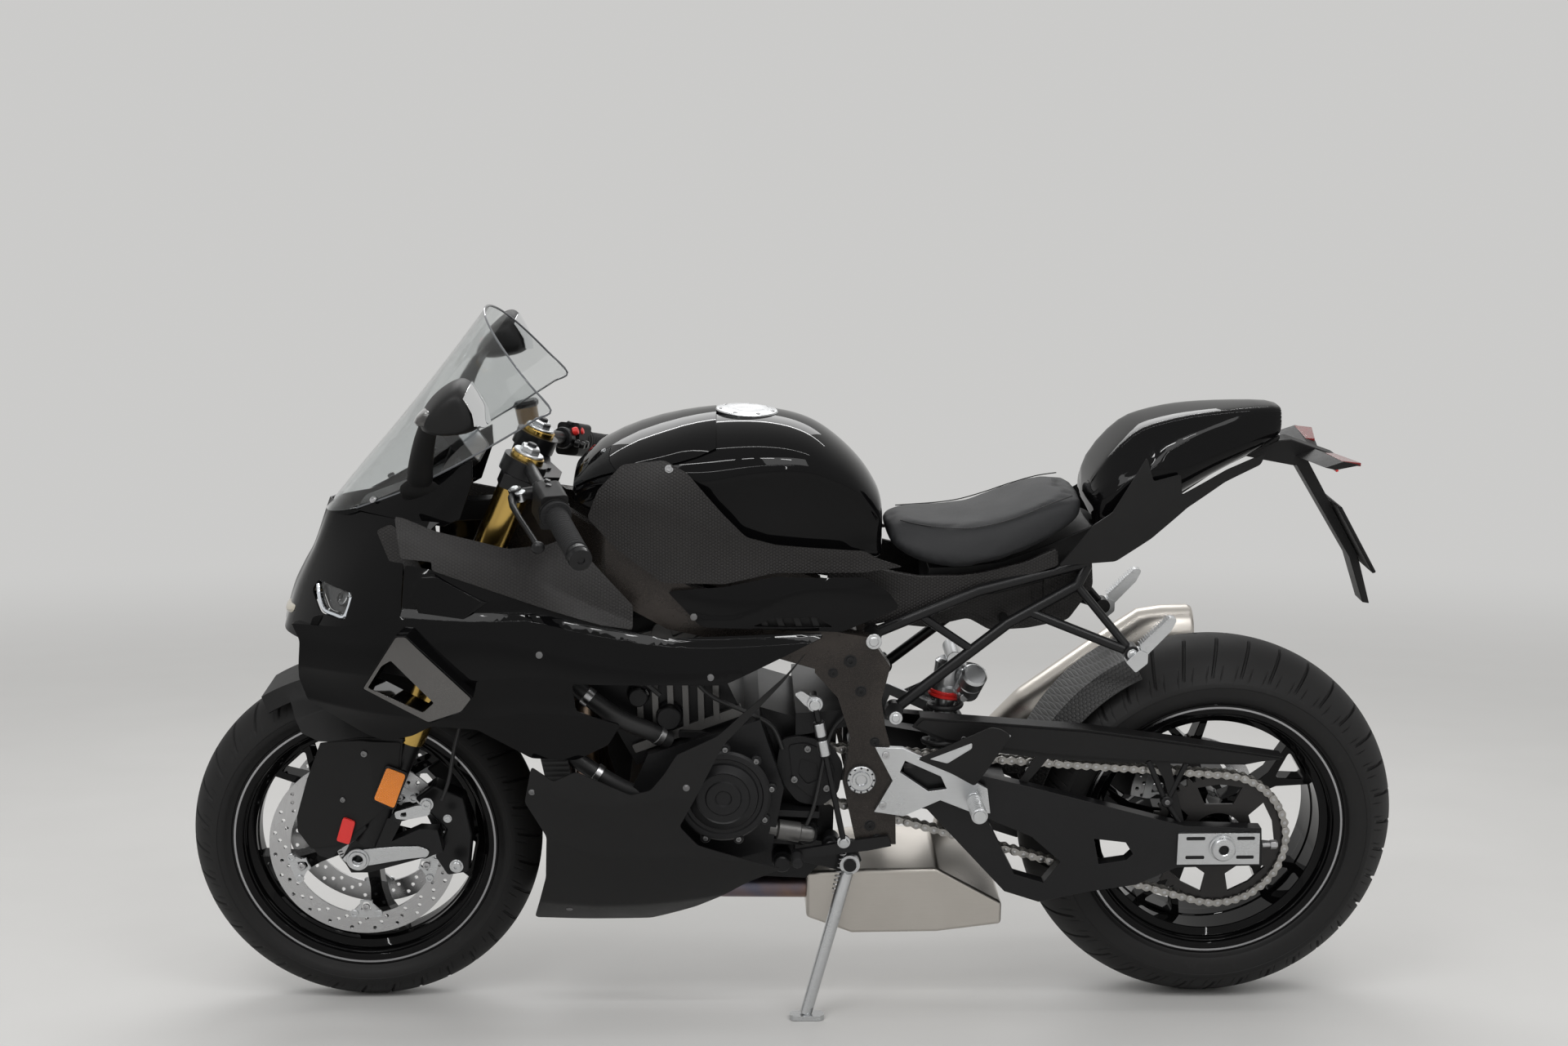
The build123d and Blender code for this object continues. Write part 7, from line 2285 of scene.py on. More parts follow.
@dataclass
class Mirrors:
    """The two mirrors: rounded housings, glass, smoked lamps and bent arms."""

    housing: list[tuple[float, list[Flat]]] = field(default_factory=lambda: [  # y, then its (x, z) outline
        (290.0, [(1292, 1092), (1284, 1112), (1268, 1128), (1244, 1140), (1226, 1138), (1214, 1118), (1210, 1102),
                 (1244, 1094)]),
        (306.0, [(1298, 1086), (1284, 1120), (1262, 1140), (1236, 1154), (1216, 1152), (1200, 1120), (1194, 1094),
                 (1240, 1084)]),
        (340.0, [(1301, 1083), (1282, 1124), (1258, 1148), (1230, 1166), (1211, 1163), (1192, 1122), (1185, 1089),
                 (1240, 1077)]),
        (385.0, [(1294, 1085), (1276, 1124), (1254, 1148), (1230, 1163), (1212, 1160), (1197, 1122), (1190, 1089),
                 (1238, 1080)]),
        (412.0, [(1284, 1091), (1270, 1120), (1252, 1140), (1230, 1154), (1216, 1150), (1205, 1122), (1200, 1096),
                 (1238, 1086)]),
        (421.0, [(1272, 1099), (1262, 1118), (1248, 1132), (1232, 1142), (1222, 1139), (1214, 1121), (1211, 1104),
                 (1240, 1095)]),
    ])

    def build(self) -> None:
        """Builds both mirrors."""
        shell = Piece("mirror_housings", "chassis", PLAIN_TRIM)
        shell.loft([[(x, y, z) for x, z in loop] for y, loop in self.housing]).mirror()
        shell.done(replaces=["mirrors"], levels=2, sharp=180)
        glass = Piece("mirror_glasses", "chassis", MIRROR)
        rows = []
        for y, loop in self.housing[1:-1]:
            (x2, z2), (xm, zm), (x1, z1) = loop[4:7]
            rows.append([(x1 - 0.4, y, z1 + 6), ((x1 + xm) / 2 - 1.8, y, (z1 + zm) / 2 + 3), (xm - 2.4, y, zm),
                         ((x2 + xm) / 2 - 1.8, y, (z2 + zm) / 2 - 3), (x2 - 0.4, y, z2 - 6)])
        glass.loft(rows, closed=False, caps=False)
        glass.mirror().done(wall=2.0, bevel=0.5, sharp=60)
        lens = Piece("mirror_lamps", "chassis", SMOKED)
        outer = [(1294, 1104), (1276, 1124), (1250, 1128), (1228, 1108), (1240, 1100), (1276, 1096)]
        lens.loft([ring_at((0.0, y, 0.0), (1, 0, 0), (0, 0, 1), [((x - 1262) * s + 1262 + d, (z - 1112) * s + 1112)
                                                                 for x, z in outer])
                   for y, s,
                   d in ((330.0, 0.92, 6.0), (398.0, 0.98, 5.0), (410.0, 0.86, 3.0), (413.0, 0.6, 2.0))]).mirror()
        lens.done(levels=1, sharp=60)
        arm = Piece("mirror_arms", "chassis", PLAIN_TRIM)
        line = [(1262, 316, 1108), (1276, 286, 1100), (1292, 252, 1072), (1308, 210, 1026), (1321, 164, 978),
                (1326, 134, 946)]
        rows = []
        for i, (x, y, z) in enumerate(line):
            wide, thick = 11.0 + 2.6 * i, 6.5 + 0.5 * i
            rows.append([(x + wide * u, y + thick * v * 0.8, z + thick * v * -0.6) for u, v in circle(12)])
        arm.loft(rows).mirror()
        arm.done(levels=1, sharp=60)
        foot = Piece("mirror_feet", "chassis", PLAIN_TRIM)
        foot.loft([[(1326 + s * 34 * u, 128 + s * 9 * v + d, 940 + s * 20 * v + d) for u, v in circle(16)]
                   for s, d in ((1.0, -8.0), (1.0, 2.0), (0.86, 6.0), (0.6, 8.0))]).mirror()
        foot.done(bevel=0.8, sharp=40)


@dataclass
class Cockpit:
    """Instruments, bars, grips, levers, switches, reservoirs and the parts on the top clamp."""

    bar: tuple[Point, Point] = ((1152.0, 126.0, 979.0), (1056.0, 396.0, 905.0))

    def at(self, along: float, ahead: float = 0.0, up: float = 0.0, sign: int = 1) -> Point:
        """A point given along the bar from its outer end, ahead of it and above it, in millimetres.

        Args:
            along: How far along the bar.
            ahead: How far ahead of it.
            up: How far above it.
            sign: 1 on the left, -1 on the right.

        Returns:
            The point.
        """
        end, inner = Vector(self.bar[1]), Vector(self.bar[0])
        axis = (inner - end).normalized()
        p = end + axis * along + Vector((0.92, 0.18, 0.0)) * ahead + Vector((0.2, 0.22, 0.955)) * up
        return p.x, p.y * sign, p.z

    def build(self) -> None:
        """Builds the whole cockpit."""
        self.instruments()
        for sign, side in ((1, "left"), (-1, "right")):
            self.grip(sign, side)
            self.lever(sign, side)
        self.switches()
        self.reservoirs()
        self.clamp()

    def instruments(self) -> None:
        """The display's pale face in its rim."""
        c, s = math.cos(math.radians(35)), math.sin(math.radians(35))
        centre, u, w, out = (1266.0, 0.0, 1012.0), (0, 1, 0), (s, 0, c), (-c, 0, s)
        loop = rounded([(-78, -48), (78, -48), (78, 48), (-78, 48)], 14.0)
        rim, face = Piece("instrument_rim", "chassis", CAST), Piece("instrument_glass", "chassis", DISPLAY)
        for piece, spans in ((rim, ((1.0, -3.0), (1.0, 1.6), (0.93, 2.2), (0.93, 0.8))),
                             (face, ((0.928, -1.0), (0.928, 1.2)))):
            piece.loft([ring_at(tuple(centre[i] + out[i] * d for i in range(3)), u, w, loop, k) for k, d in spans])
            piece.done(bevel=0.4)

    def grip(self, sign: int, side: str) -> None:
        """One grip: ribbed flange, moulded sleeve and bar-end weight.

        Args:
            sign: 1 on the left, -1 on the right.
            side: The side's name.
        """
        sleeve = Piece(f"{side}_grip_sleeve", "steering", RUBBER)
        start, end = self.at(128, sign=sign), self.at(3, sign=sign)
        ribs = [(0.0, 24.0), (0.03, 25.0), (0.06, 24.0), (0.07, 18.0)]
        for k in range(18):
            t = 0.08 + k * 0.05
            ribs += [(t, 17.2), (t + 0.012, 17.9), (t + 0.034, 17.9), (t + 0.046, 17.2)]
        sleeve.rod(start, end, [*ribs, (0.99, 18.6), (1.0, 17.0)], 28)
        sleeve.done(replaces=["grips"] if sign > 0 else [], sharp=28)
        flange = Piece(f"{side}_grip_flange", "steering", PLAIN_TRIM)
        flange.rod(self.at(146, sign=sign), self.at(129, sign=sign),
                   [(0.0, 19.0), (0.2, 24.0), (0.45, 24.0), (0.5, 20.5), (0.62, 20.5), (0.66, 25.0), (0.94, 25.0),
                    (1.0, 22.0)], 36)
        flange.done(sharp=28)
        weight = Piece(f"{side}_bar_weight", "steering", CAST)
        weight.rod(self.at(4, sign=sign), self.at(-22, sign=sign), [(0.0, 12.0), (0.1, 17.4), (0.45, 18.4), (0.5, 16.6),
                                                                (0.56, 16.6), (0.6, 18.4), (0.92, 17.6), (0.98, 14.6),
                                                                (0.98, 6.0), (0.9, 5.2)], 32)
        weight.done(sharp=28)

    def lever(self, sign: int, side: str) -> None:
        """One lever: perch with its clamp, the blade and its ball end.

        Args:
            sign: 1 on the left, -1 on the right.
            side: The side's name.
        """
        perch = Piece(f"{side}_lever_perch", "steering", CAST)
        perch.rod(self.at(214, sign=sign), self.at(192, sign=sign),
                  [(0.0, 17.5), (0.08, 19.0), (0.92, 19.0), (1.0, 17.5)], 28)
        perch.rod(self.at(204, 12.0, sign=sign), self.at(200, 50.0, sign=sign), [(0.0, 11.0), (0.6, 9.4), (0.85, 10.4),
                                                                            (1.0, 8.6)], 20)
        perch.rod(self.at(200, 46.0, -11.0, sign=sign), self.at(200, 46.0, 11.0, sign=sign),
                  [(0.0, 10.4), (1.0, 10.4)], 24)
        perch.done(replaces=["levers"] if sign > 0 else [], bevel=1.0)
        blade = Piece(f"{side}_lever_blade", "steering", CAST)
        rows = []
        route = [(202, 46, 8.0, 7.5), (186, 56, 9.0, 7.0), (160, 61, 8.6, 6.0), (120, 60, 8.0, 5.2), (80, 57, 8.0, 5.0),
                 (40, 55, 8.2, 5.0), (28, 55, 6.2, 4.4)]
        for along, ahead, tall, deep in route:
            rows.append([self.at(along, ahead + deep * u, tall * v, sign) for u, v in circle(14)])
        blade.loft(rows)
        blade.rod(self.at(34, 55, sign=sign), self.at(18, 56, sign=sign),
                  [(0.0, 4.0), (0.15, 8.0), (0.4, 10.0), (0.65, 10.0),
                   (0.9, 7.0), (1.0, 3.0)], 20)
        blade.done(bevel=0.6)
        wheel = Piece(f"{side}_lever_adjuster", "steering", MACHINED)
        wheel.rod(self.at(186, 40, -4, sign), self.at(186, 40, 12, sign),
                  [(0.0, 6.0), (0.7, 6.0), (0.75, 8.5), (1.0, 8.5)], 18)
        wheel.rod(self.at(198, 46, 10, sign), self.at(198, 46, 15, sign), [(0.0, 7.0), (0.7, 7.0), (1.0, 5.0)], 6)
        wheel.done(bevel=0.4)

    def switches(self) -> None:
        """The buttons on the switch housings."""
        red = Piece("switch_buttons_red", "steering", RED)
        dark = Piece("switch_buttons", "steering", CAST)
        for sign in (1, -1):
            for along, ahead, up in ((176, -20, 14), (198, -19, 12)):
                if sign > 0 and along == 198:
                    continue
                red.rod(self.at(along, ahead, up, sign), self.at(along, ahead - 10, up + 3, sign),
                        [(0.0, 7.5), (0.7, 7.5), (1.0, 6.0)], 20)
            for along, ahead, up in ((168, -22, -8), (186, -22, -10), (203, -20, -8), (186, -8, 25), (170, -6, 25)):
                dark.rod(self.at(along, ahead, up, sign), self.at(along, ahead * 1.35 - 1, up * 1.25, sign),
                         [(0.0, 7.0), (0.7, 7.0), (1.0, 5.6)], 4 if up > 20 else 18)
        red.done(bevel=0.6)
        dark.done(bevel=0.6)

    def reservoirs(self) -> None:
        """The brake fluid reservoir on its stalk, with its lid."""
        pot = Piece("fluid_reservoir", "steering", FLUID)
        base = Vector(self.at(196, 66, 22, -1))
        up = Vector((0.15, 0.0, 1.0)).normalized()
        pot.rod(tuple(base), tuple(base + up * 34), [(0.0, 17.0), (0.05, 19.0), (0.9, 20.0), (1.0, 20.0)], 32)
        pot.done(bevel=0.6)
        lid = Piece("reservoir_lid", "steering", CAST)
        lid.rod(tuple(base + up * 34), tuple(base + up * 45), [(0.0, 21.6), (0.6, 21.6), (0.75, 20.0), (1.0, 18.0)], 10)
        lid.rod(tuple(base - up * 20), tuple(base), [(0.0, 6.0), (1.0, 6.0)], 14)
        lid.done(bevel=0.7)

    def clamp(self) -> None:
        """The polished rings and screws on the top clamp."""
        ring = Piece("clamp_rings", "steering", MACHINED)
        for sign in (1, -1):
            low = Vector(fork_point(0.0, sign * FORK_Y, 0.0))
            top = self.top(sign)
            axis = (top - low).normalized()
            ring.rod(tuple(top), tuple(top + axis * 5), [(0.0, 25.0), (0.6, 25.6), (1.0, 24.0)], 40)
            ring.rod(tuple(top + axis * 5), tuple(top + axis * 15), [(0.0, 17.0), (0.7, 17.0), (1.0, 15.0)], 6)
        ring.done(bevel=0.7, sharp=28)
        adjuster = Piece("fork_adjusters", "steering", BLUE_CAP)
        for sign in (1, -1):
            low, top = Vector(fork_point(0.0, sign * FORK_Y, 0.0)), self.top(sign)
            axis = (top - low).normalized()
            adjuster.rod(tuple(top + axis * 14), tuple(top + axis * 20), [(0.0, 8.0), (0.8, 8.0), (1.0, 6.0)], 24)
        adjuster.done(bevel=0.4)

    @staticmethod
    def top(sign: int) -> Vector:
        """The middle of a fork tube's top.

        Args:
            sign: 1 on the left, -1 on the right.

        Returns:
            The point.
        """
        back = PARK.inverted()
        points = [back @ v.co for v in frame["nodes"]["fork_tubes"].data.vertices]
        axis = Vector((-math.sin(RAKE), 0.0, math.cos(RAKE)))
        own = [p for p in points if p.y * sign > 0]
        high = max(p.dot(axis) for p in own)
        ends = [p for p in own if p.dot(axis) > high - 0.5]
        return sum(ends, Vector()) / len(ends)


@dataclass
class PowerUnit:
    """Covers, screws, castings, hoses and pipes round the engine."""

    def build(self) -> None:
        """Builds the engine's outer parts."""
        self.covers()
        self.castings()
        self.hoses()

    def covers(self) -> None:
        """The round side covers with their raised rings and edge screws."""
        left = Piece("generator_cover", "chassis", ENGINE)
        left.turned([(0.5, 196), (74, 196), (78, 199), (78, 203), (74, 207), (66, 208), (64, 205), (58, 205), (56, 209),
                     (48, 213), (44, 215.5), (42, 213.5), (30, 213.5), (28, 216), (14, 216.6), (12, 214), (0.5, 214)],
                    (840.0, 442.0), 96)
        left.turned([(0.5, -214), (22, -214), (26, -212), (66, -212), (72, -213.5), (76, -211), (84, -203), (90, -200),
                     (93, -196), (93, -192), (0.5, -192)], (800.0, 432.0), 96)
        left.done(replaces=["engine_covers"], sharp=22)
        lug = Piece("cover_lugs", "chassis", ENGINE)
        spots = []
        for k in range(9):
            a = 2 * math.pi * (k + 0.3) / 9
            x, z = 840 + 80 * math.cos(a), 442 + 80 * math.sin(a)
            lug.rod((x, 190, z), (x, 202, z), [(0.0, 9.0), (0.85, 9.0), (1.0, 7.6)], 20)
            spots.append(Spot((x, 201.6, z), (0, 1, 0), 0.9))
        for k in range(10):
            a = 2 * math.pi * (k + 0.5) / 10
            x, z = 800 + 95 * math.cos(a), 432 + 95 * math.sin(a)
            lug.rod((x, -188, z), (x, -199, z), [(0.0, 9.5), (0.85, 9.5), (1.0, 8.0)], 20)
            spots.append(Spot((x, -198.6, z), (0, -1, 0), 0.9))
        lug.done(sharp=30)
        repeat("engine_cover_screws", "chassis", SCREW, screw_part(5.0, 3.4, 0.5), spots)

    def castings(self) -> None:
        """The cast ribs, sprocket cover and silver mounts seen between frame and covers."""
        cover = Piece("sprocket_cover", "chassis", ENGINE)
        outline = rounded([(744, 516), (712, 522), (662, 508), (640, 470), (648, 420), (676, 396), (716, 404),
                           (736, 430), (752, 470)], 10.0)
        cover.plate(outline, 128.0, 136.5)
        cover.plate(rounded([(732, 506), (704, 510), (670, 496), (654, 462), (664, 424), (694, 414), (724, 440)], 8.0),
                    135.0, 139.5, [rounded([(712, 484), (684, 474), (678, 446), (700, 436), (716, 456)], 6.0)])
        cover.done(bevel=2.0, sharp=28)
        case = Piece("crankcase_ribs", "chassis", ENGINE)
        for x, z, wide, tall in ((740, 380, 60, 12), (744, 356, 56, 10), (752, 332, 50, 10), (900, 520, 70, 12),
                                 (930, 496, 60, 10)):
            case.plate(rounded([(x - wide, z), (x + wide * 0.2, z + tall * 0.4), (x + wide * 0.2, z + tall * 1.3),
                                (x - wide, z + tall)], 3.0), 118.0, 150.0)
        for x, z, r in ((700, 352, 17), (742, 300, 14), (660, 330, 12), (930, 560, 20), (980, 596, 16)):
            case.rod((x, 112, z), (x, 158, z), [(0.0, r + 3), (0.6, r + 3), (0.7, r), (0.96, r), (1.0, r - 2)], 28)
        case.done(bevel=1.6, sharp=30)
        bank = Piece("cylinder_ribs", "chassis", RAW_CASTING)
        for k in range(6):
            x, z = 846 + k * 25.0, 700 - k * 4.0
            bank.plate(rounded([(x, z - 150), (x + 10, z - 153), (x + 14, z), (x + 4, z + 2)], 3.0), 126.0, 142.0)
        bank.plate(rounded([(806, 560), (986, 494), (992, 508), (812, 576)], 3.0), 124.0, 140.0)
        bank.plate(rounded([(852, 716), (1044, 668), (1048, 682), (858, 732)], 3.0), 124.0, 140.0)
        bank.done(bevel=1.6, sharp=30)
        silver = Piece("engine_mounts", "chassis", RAW_CASTING)
        for sign in (1, -1):
            silver.plate(rounded([(954, 716), (904, 744), (872, 728), (880, 700), (930, 672), (960, 690)], 8.0),
                         sign * 131,
                         sign * 143, [rounded([(926, 708), (904, 720), (900, 706), (922, 696)], 4.0)])
        silver.done(bevel=2.0, sharp=30)
        spots = [Spot((916, 154.5, 726), (0, 1, 0), 1.3), Spot((700, 139.6, 500), (0, 1, 0), 0.9),
                 Spot((668, 139.6, 430), (0, 1, 0), 0.9), Spot((722, 139.6, 446), (0, 1, 0), 0.9),
                 Spot((790, 150.5, 372), (0, 1, 0), 0.9), Spot((970, 142.5, 600), (0, 1, 0), 1.1)]
        repeat("casting_screws", "chassis", SCREW, screw_part(6.5, 3.6, 0.5), spots)
        starter = Piece("starter_body", "chassis", RAW_CASTING)
        starter.rod((690, 150, 352), (764, 156, 366),
                    [(0.0, 12.0), (0.06, 14.0), (0.3, 14.0), (0.32, 17.0), (0.8, 17.0),
                     (0.84, 12.0), (1.0, 11.0)], 28)
        starter.done(sharp=30)

    def hoses(self) -> None:
        """Water and oil hoses and the wiring beside the engine."""
        hose = Piece("water_hoses", "chassis", SMOOTH_RUBBER)
        hose.tube([(1104, 160, 640), (1060, 172, 604), (1010, 170, 566), (960, 162, 540), (930, 150, 520)], 15.0, 16, 8)
        hose.tube([(1096, 158, 500), (1050, 166, 470), (1006, 160, 440), (968, 148, 420)], 14.0, 16, 8)
        hose.tube([(1104, -160, 640), (1050, -170, 600), (1000, -160, 560)], 15.0, 16, 8)
        hose.done()
        clip = Piece("hose_clips", "chassis", STEEL)
        for a, b in (((1066, 171, 608), (1056, 172.5, 600)), ((950, 159, 534), (942, 156, 528)),
                     ((1052, 165, 471), (1043, 166, 465))):
            clip.rod(a, b, [(0.0, 16.4), (1.0, 16.4)], 28)
        clip.done(bevel=0.5)
        wire = Piece("wiring", "chassis", SMOOTH_RUBBER)
        wire.tube([(900, 148, 640), (860, 158, 600), (800, 156, 570), (760, 140, 540), (742, 140, 500)], 4.0, 10, 8)
        wire.tube([(1086, 120, 700), (1040, 150, 660), (990, 158, 640), (944, 152, 600)], 4.5, 10, 8)
        wire.tube([(640, 148, 560), (664, 142, 520), (690, 152, 400), (716, 150, 340)], 3.4, 10, 8)
        wire.done()


@dataclass
class RearFittings:
    """Shock, pivot nuts, footrest guards, rod joints, axle blocks, guard braces, lamps and the blank plate."""

    outside: float = 172.4  # lateral place of the fittings on the frame plates
    frame_out: float = 162.0
    foot: float = 162.2
    axle_out: float = 158.2
    pivot: Flat = (612.0, 456.0)

    def build(self) -> None:
        """Builds the fittings."""
        self.shock()
        self.pivots()
        self.controls()
        self.axle()
        self.guard()
        self.lamps()
        self.bolts()
        self.pegs()
        self.end_can()

    def shock(self) -> None:
        """The damper: silver body, adjusters, coil spring and the red perch."""
        body = Piece("damper_body", "chassis", MACHINED)
        body.rod((471, 0, 425), (448, 0, 612),
                 [(0.0, 13.0), (0.02, 20.0), (0.18, 20.0), (0.2, 17.0), (0.7, 17.0), (0.72, 31.0),
                  (0.76, 31.0), (0.78, 27.0), (0.97, 27.0), (1.0, 20.0)], 40)
        body.rod((424, 22, 560), (414, 62, 604), [(0.0, 20.0), (0.04, 22.0), (0.5, 22.0), (0.53, 20.5), (0.56, 22.0),
                                                 (0.93, 22.0), (1.0, 18.0)], 36)
        body.rod((474, 0, 392), (471, 0, 428), [(0.0, 11.0), (0.1, 13.5), (1.0, 13.5)], 24)
        body.turned([(0.5, -40), (13.4, -40), (14, -39), (14, 39), (13.4, 40), (0.5, 40)], (446, 622), 32)
        body.turned([(0.5, -24), (12, -24), (12, 24), (0.5, 24)], (474, 392), 32)
        body.done(replaces=["shock_absorber"], sharp=28)
        bottle = Piece("damper_adjusters", "chassis", MACHINED)
        bottle.rod((432, 26, 590), (424, 50, 588), [(0.0, 12.0), (0.7, 12.0), (0.75, 9.0), (1.0, 8.6)], 24)
        bottle.rod((436, 26, 560), (430, 48, 556), [(0.0, 11.0), (0.7, 11.0), (0.75, 8.0), (1.0, 7.6)], 24)
        bottle.done(bevel=0.5, sharp=28)
        spring = Piece("damper_spring", "chassis", SMOOTH_RUBBER)
        spring.tube(coil(Vector((469, 0, 440)), Vector((455, 0, 548)), 27.0, 5, 14), 5.0, 10, 2)
        spring.done()
        perch = Piece("spring_perch", "chassis", RED)
        perch.rod((455, 0, 546), (453, 0, 564),
                  [(0.0, 30.0), (0.1, 33.0), (0.3, 33.0), (0.35, 30.5), (0.45, 30.5), (0.5, 33.0),
                   (0.7, 33.0), (0.75, 31.0), (1.0, 29.0)], 40)
        perch.done(sharp=28)

    def pivots(self) -> None:
        """The hollow ring nuts at the swingarm's pivot, on both sides."""
        nut = Piece("pivot_ring_nuts", "chassis", MACHINED)
        axle = self.pivot
        for sign in (1, -1):
            rings = [(8.0, 150), (23.0, 150), (24.0, 151), (24.0, 158.5), (22.6, 160), (19.5, 160), (18.8, 157.6),
                     (15.4, 157.6), (14.6, 161.2), (10.2, 161.2), (9.4, 160), (8.0, 157)]
            nut.turned([(r, sign * (self.outside - 160 + y)) for r, y in rings], axle, 72)
        nut.done(sharp=24)
        # Small dark marks round each ring nut are painted shade for its notches.
        marks = [Spot((axle[0] + 21 * u, self.outside - 0.1, axle[1] + 21 * v), (0, 1, 0), 0.26)
                 for u, v in circle(12)]
        repeat("pivot_nut_teeth", "chassis", CAST, screw_part(6.5, 2.0, 0.5), both_sides(marks))

    def controls(self) -> None:
        """Heel guards, ribbed footrests, the gear rod's joints and the toe pieces."""
        y0 = self.foot
        guard = Piece("heel_guards", "chassis", PLAIN_TRIM)
        for sign in (1, -1):
            guard.plate(rounded([(520, 494), (399, 549), (382, 545), (366, 534), (404, 474), (424, 446), (462, 468)],
                                6.0),
                        sign * (y0 + 10.4), sign * (y0 + 14.0),
                        [rounded([(500, 494), (430, 522), (430, 512), (470, 486)], 3.0)])
        guard.done(bevel=1.0)
        peg = Piece("footrest_sleeves", "chassis", MACHINED)
        for sign in (1, -1):
            rings = []
            for k in range(12):
                t = 0.08 + k * 0.075
                rings += [(t, 11.2), (t + 0.012, 13.4), (t + 0.045, 13.4), (t + 0.057, 11.2)]
            peg.rod((424, sign * (y0 + 14), 420), (424, sign * (y0 + 94), 424),
                    [(0.0, 12.6), (0.07, 12.6), *rings, (1.0, 10.0)], 24)
        peg.done(sharp=28)
        joint = Piece("gear_rod_joints", "chassis", MACHINED)
        joint.rod((672, y0 + 12, 500), (684, y0 + 12, 560),
                  [(0.0, 6.0), (0.04, 9.6), (0.46, 9.6), (0.5, 7.6), (0.56, 7.6),
                   (0.6, 9.6), (0.96, 9.6), (1.0, 6.0)], 28)
        joint.rod((690, y0 + 4, 590), (690, y0 + 19, 590),
                  [(0.0, 12.0), (0.15, 13.0), (0.6, 13.0), (0.7, 9.0), (1.0, 8.4)], 28)
        joint.rod((640, y0 + 6, 348), (640, y0 + 19, 348),
                  [(0.0, 10.0), (0.15, 11.0), (0.6, 11.0), (0.7, 7.6), (1.0, 7.0)], 28)
        joint.plate(rounded([(684, 592), (712, 612), (724, 606), (706, 586), (694, 580)], 5.0), y0 + 2, y0 + 8)
        joint.done(bevel=0.5, sharp=28)
        rubber = Piece("toe_rubbers", "chassis", RUBBER)
        rubber.rod((718, y0 + 10, 322), (718, y0 + 41, 322), [(0.0, 8.6), (0.1, 9.8), (0.9, 9.8), (1.0, 8.0)], 24)
        rubber.rod((710, -y0 - 12, 322), (710, -y0 - 45, 322), [(0.0, 8.6), (0.1, 9.8), (0.9, 9.8), (1.0, 8.0)], 24)
        rubber.done(sharp=40)
        spots = [Spot((x, y0 + 10, z), (0, 1, 0), 0.9) for x, z in ((572, 500), (576, 412))]
        repeat("footrest_bolts", "chassis", STEEL, screw_part(7.0, 3.6, 0.5), both_sides(spots))

    def axle(self) -> None:
        """The milled axle blocks' slots as dark plates of painted shade, the big nuts with a dark plug of painted shade
        in each bore, and the chain adjusters.
        """
        y = self.axle_out
        # Dark plates set into the milled slots are painted shade for the slots' depth.
        slot = Piece("axle_block_slots", "chassis", CAST)
        for sign in (1, -1):
            for x0, x1 in ((30, 62), (-54, -24)):
                slot.plate(rounded([(x0, 346), (x1, 346), (x1, 340), (x0, 340)], 2.4), sign * (y - 1.4),
                           sign * (y + 0.35))
                slot.plate(rounded([(x0, 312), (x1, 312), (x1, 306), (x0, 306)], 2.4), sign * (y - 1.4),
                           sign * (y + 0.35))
        slot.done()
        nut = Piece("rear_axle_nuts", "chassis", MACHINED)
        for sign in (1, -1):
            nut.turned([(r, sign * (y + d))
                        for r, d in ((8.4, 0), (22, 0), (23, 0.8), (23, 3), (20.4, 4.2), (20, 10), (18.4, 12),
                                     (15, 12.8), (9.6, 12.8), (8.4, 11.6))], REAR_AXLE, 72)
        nut.done(sharp=24)
        # A dark plug in each nut's bore is painted shade inside the hollow axle.
        hole = Piece("rear_axle_bores", "chassis", CAST)
        for sign in (1, -1):
            hole.turned([(r, sign * (y + d)) for r, d in ((0.5, 0.5), (8.6, 0.5), (8.6, 7.0), (0.5, 7.0))], REAR_AXLE,
                        48)
        hole.done()
        screw = Piece("chain_adjusters", "chassis", STEEL)
        for sign in (1, -1):
            screw.rod((-70, sign * (y - 12), 326), (-96, sign * (y - 12), 327),
                      [(0.0, 5.0), (0.5, 5.0), (0.52, 8.0), (0.9, 8.0),
                       (1.0, 6.0)], 6)
        screw.done(bevel=0.4)

    def guard(self) -> None:
        """The chain cover's raised spear, its rib and the braces that meet at a boss."""
        spear = Piece("chain_cover_spear", "chassis", PLAIN_TRIM)
        y = 134.0
        spear.plate(rounded([(520, 538), (508, 549), (236, 526), (88, 505), (-96, 477), (-30, 470), (160, 478),
                             (300, 490), (470, 516)], 3.0), y + 1.6, y + 6.4)
        spear.done(bevel=2.0, sharp=24)
        brace = Piece("chain_cover_braces", "chassis", CAST)
        for a, b in (((128, 474), (96, 402)), ((64, 468), (92, 402)), ((94, 400), (70, 362))):
            brace.rod((a[0], y, a[1]), (b[0], y, b[1]), [(0.0, 5.0), (1.0, 4.6)], 10)
        brace.rod((94, y - 6, 402), (94, y + 8, 402), [(0.0, 10.0), (0.9, 10.0), (1.0, 8.0)], 24)
        brace.done(bevel=0.4, sharp=30)
        spots = [Spot((440, y + 6.4, 516), (0, 1, 0), 0.8), Spot((94, y + 8.2, 402), (0, 1, 0), 0.8),
                 Spot((330, y - 2, 458), (0, 1, 0), 0.9)]
        repeat("chain_cover_screws", "chassis", SCREW, screw_part(5.6, 2.4, 0.5), spots)
        pad = Piece("swingarm_slider", "chassis", SMOOTH_RUBBER)
        pad.plate(rounded([(512, 466), (440, 456), (400, 450), (400, 444), (440, 449), (512, 459)], 2.0), 104.0, 126.0)
        pad.done(bevel=0.8)

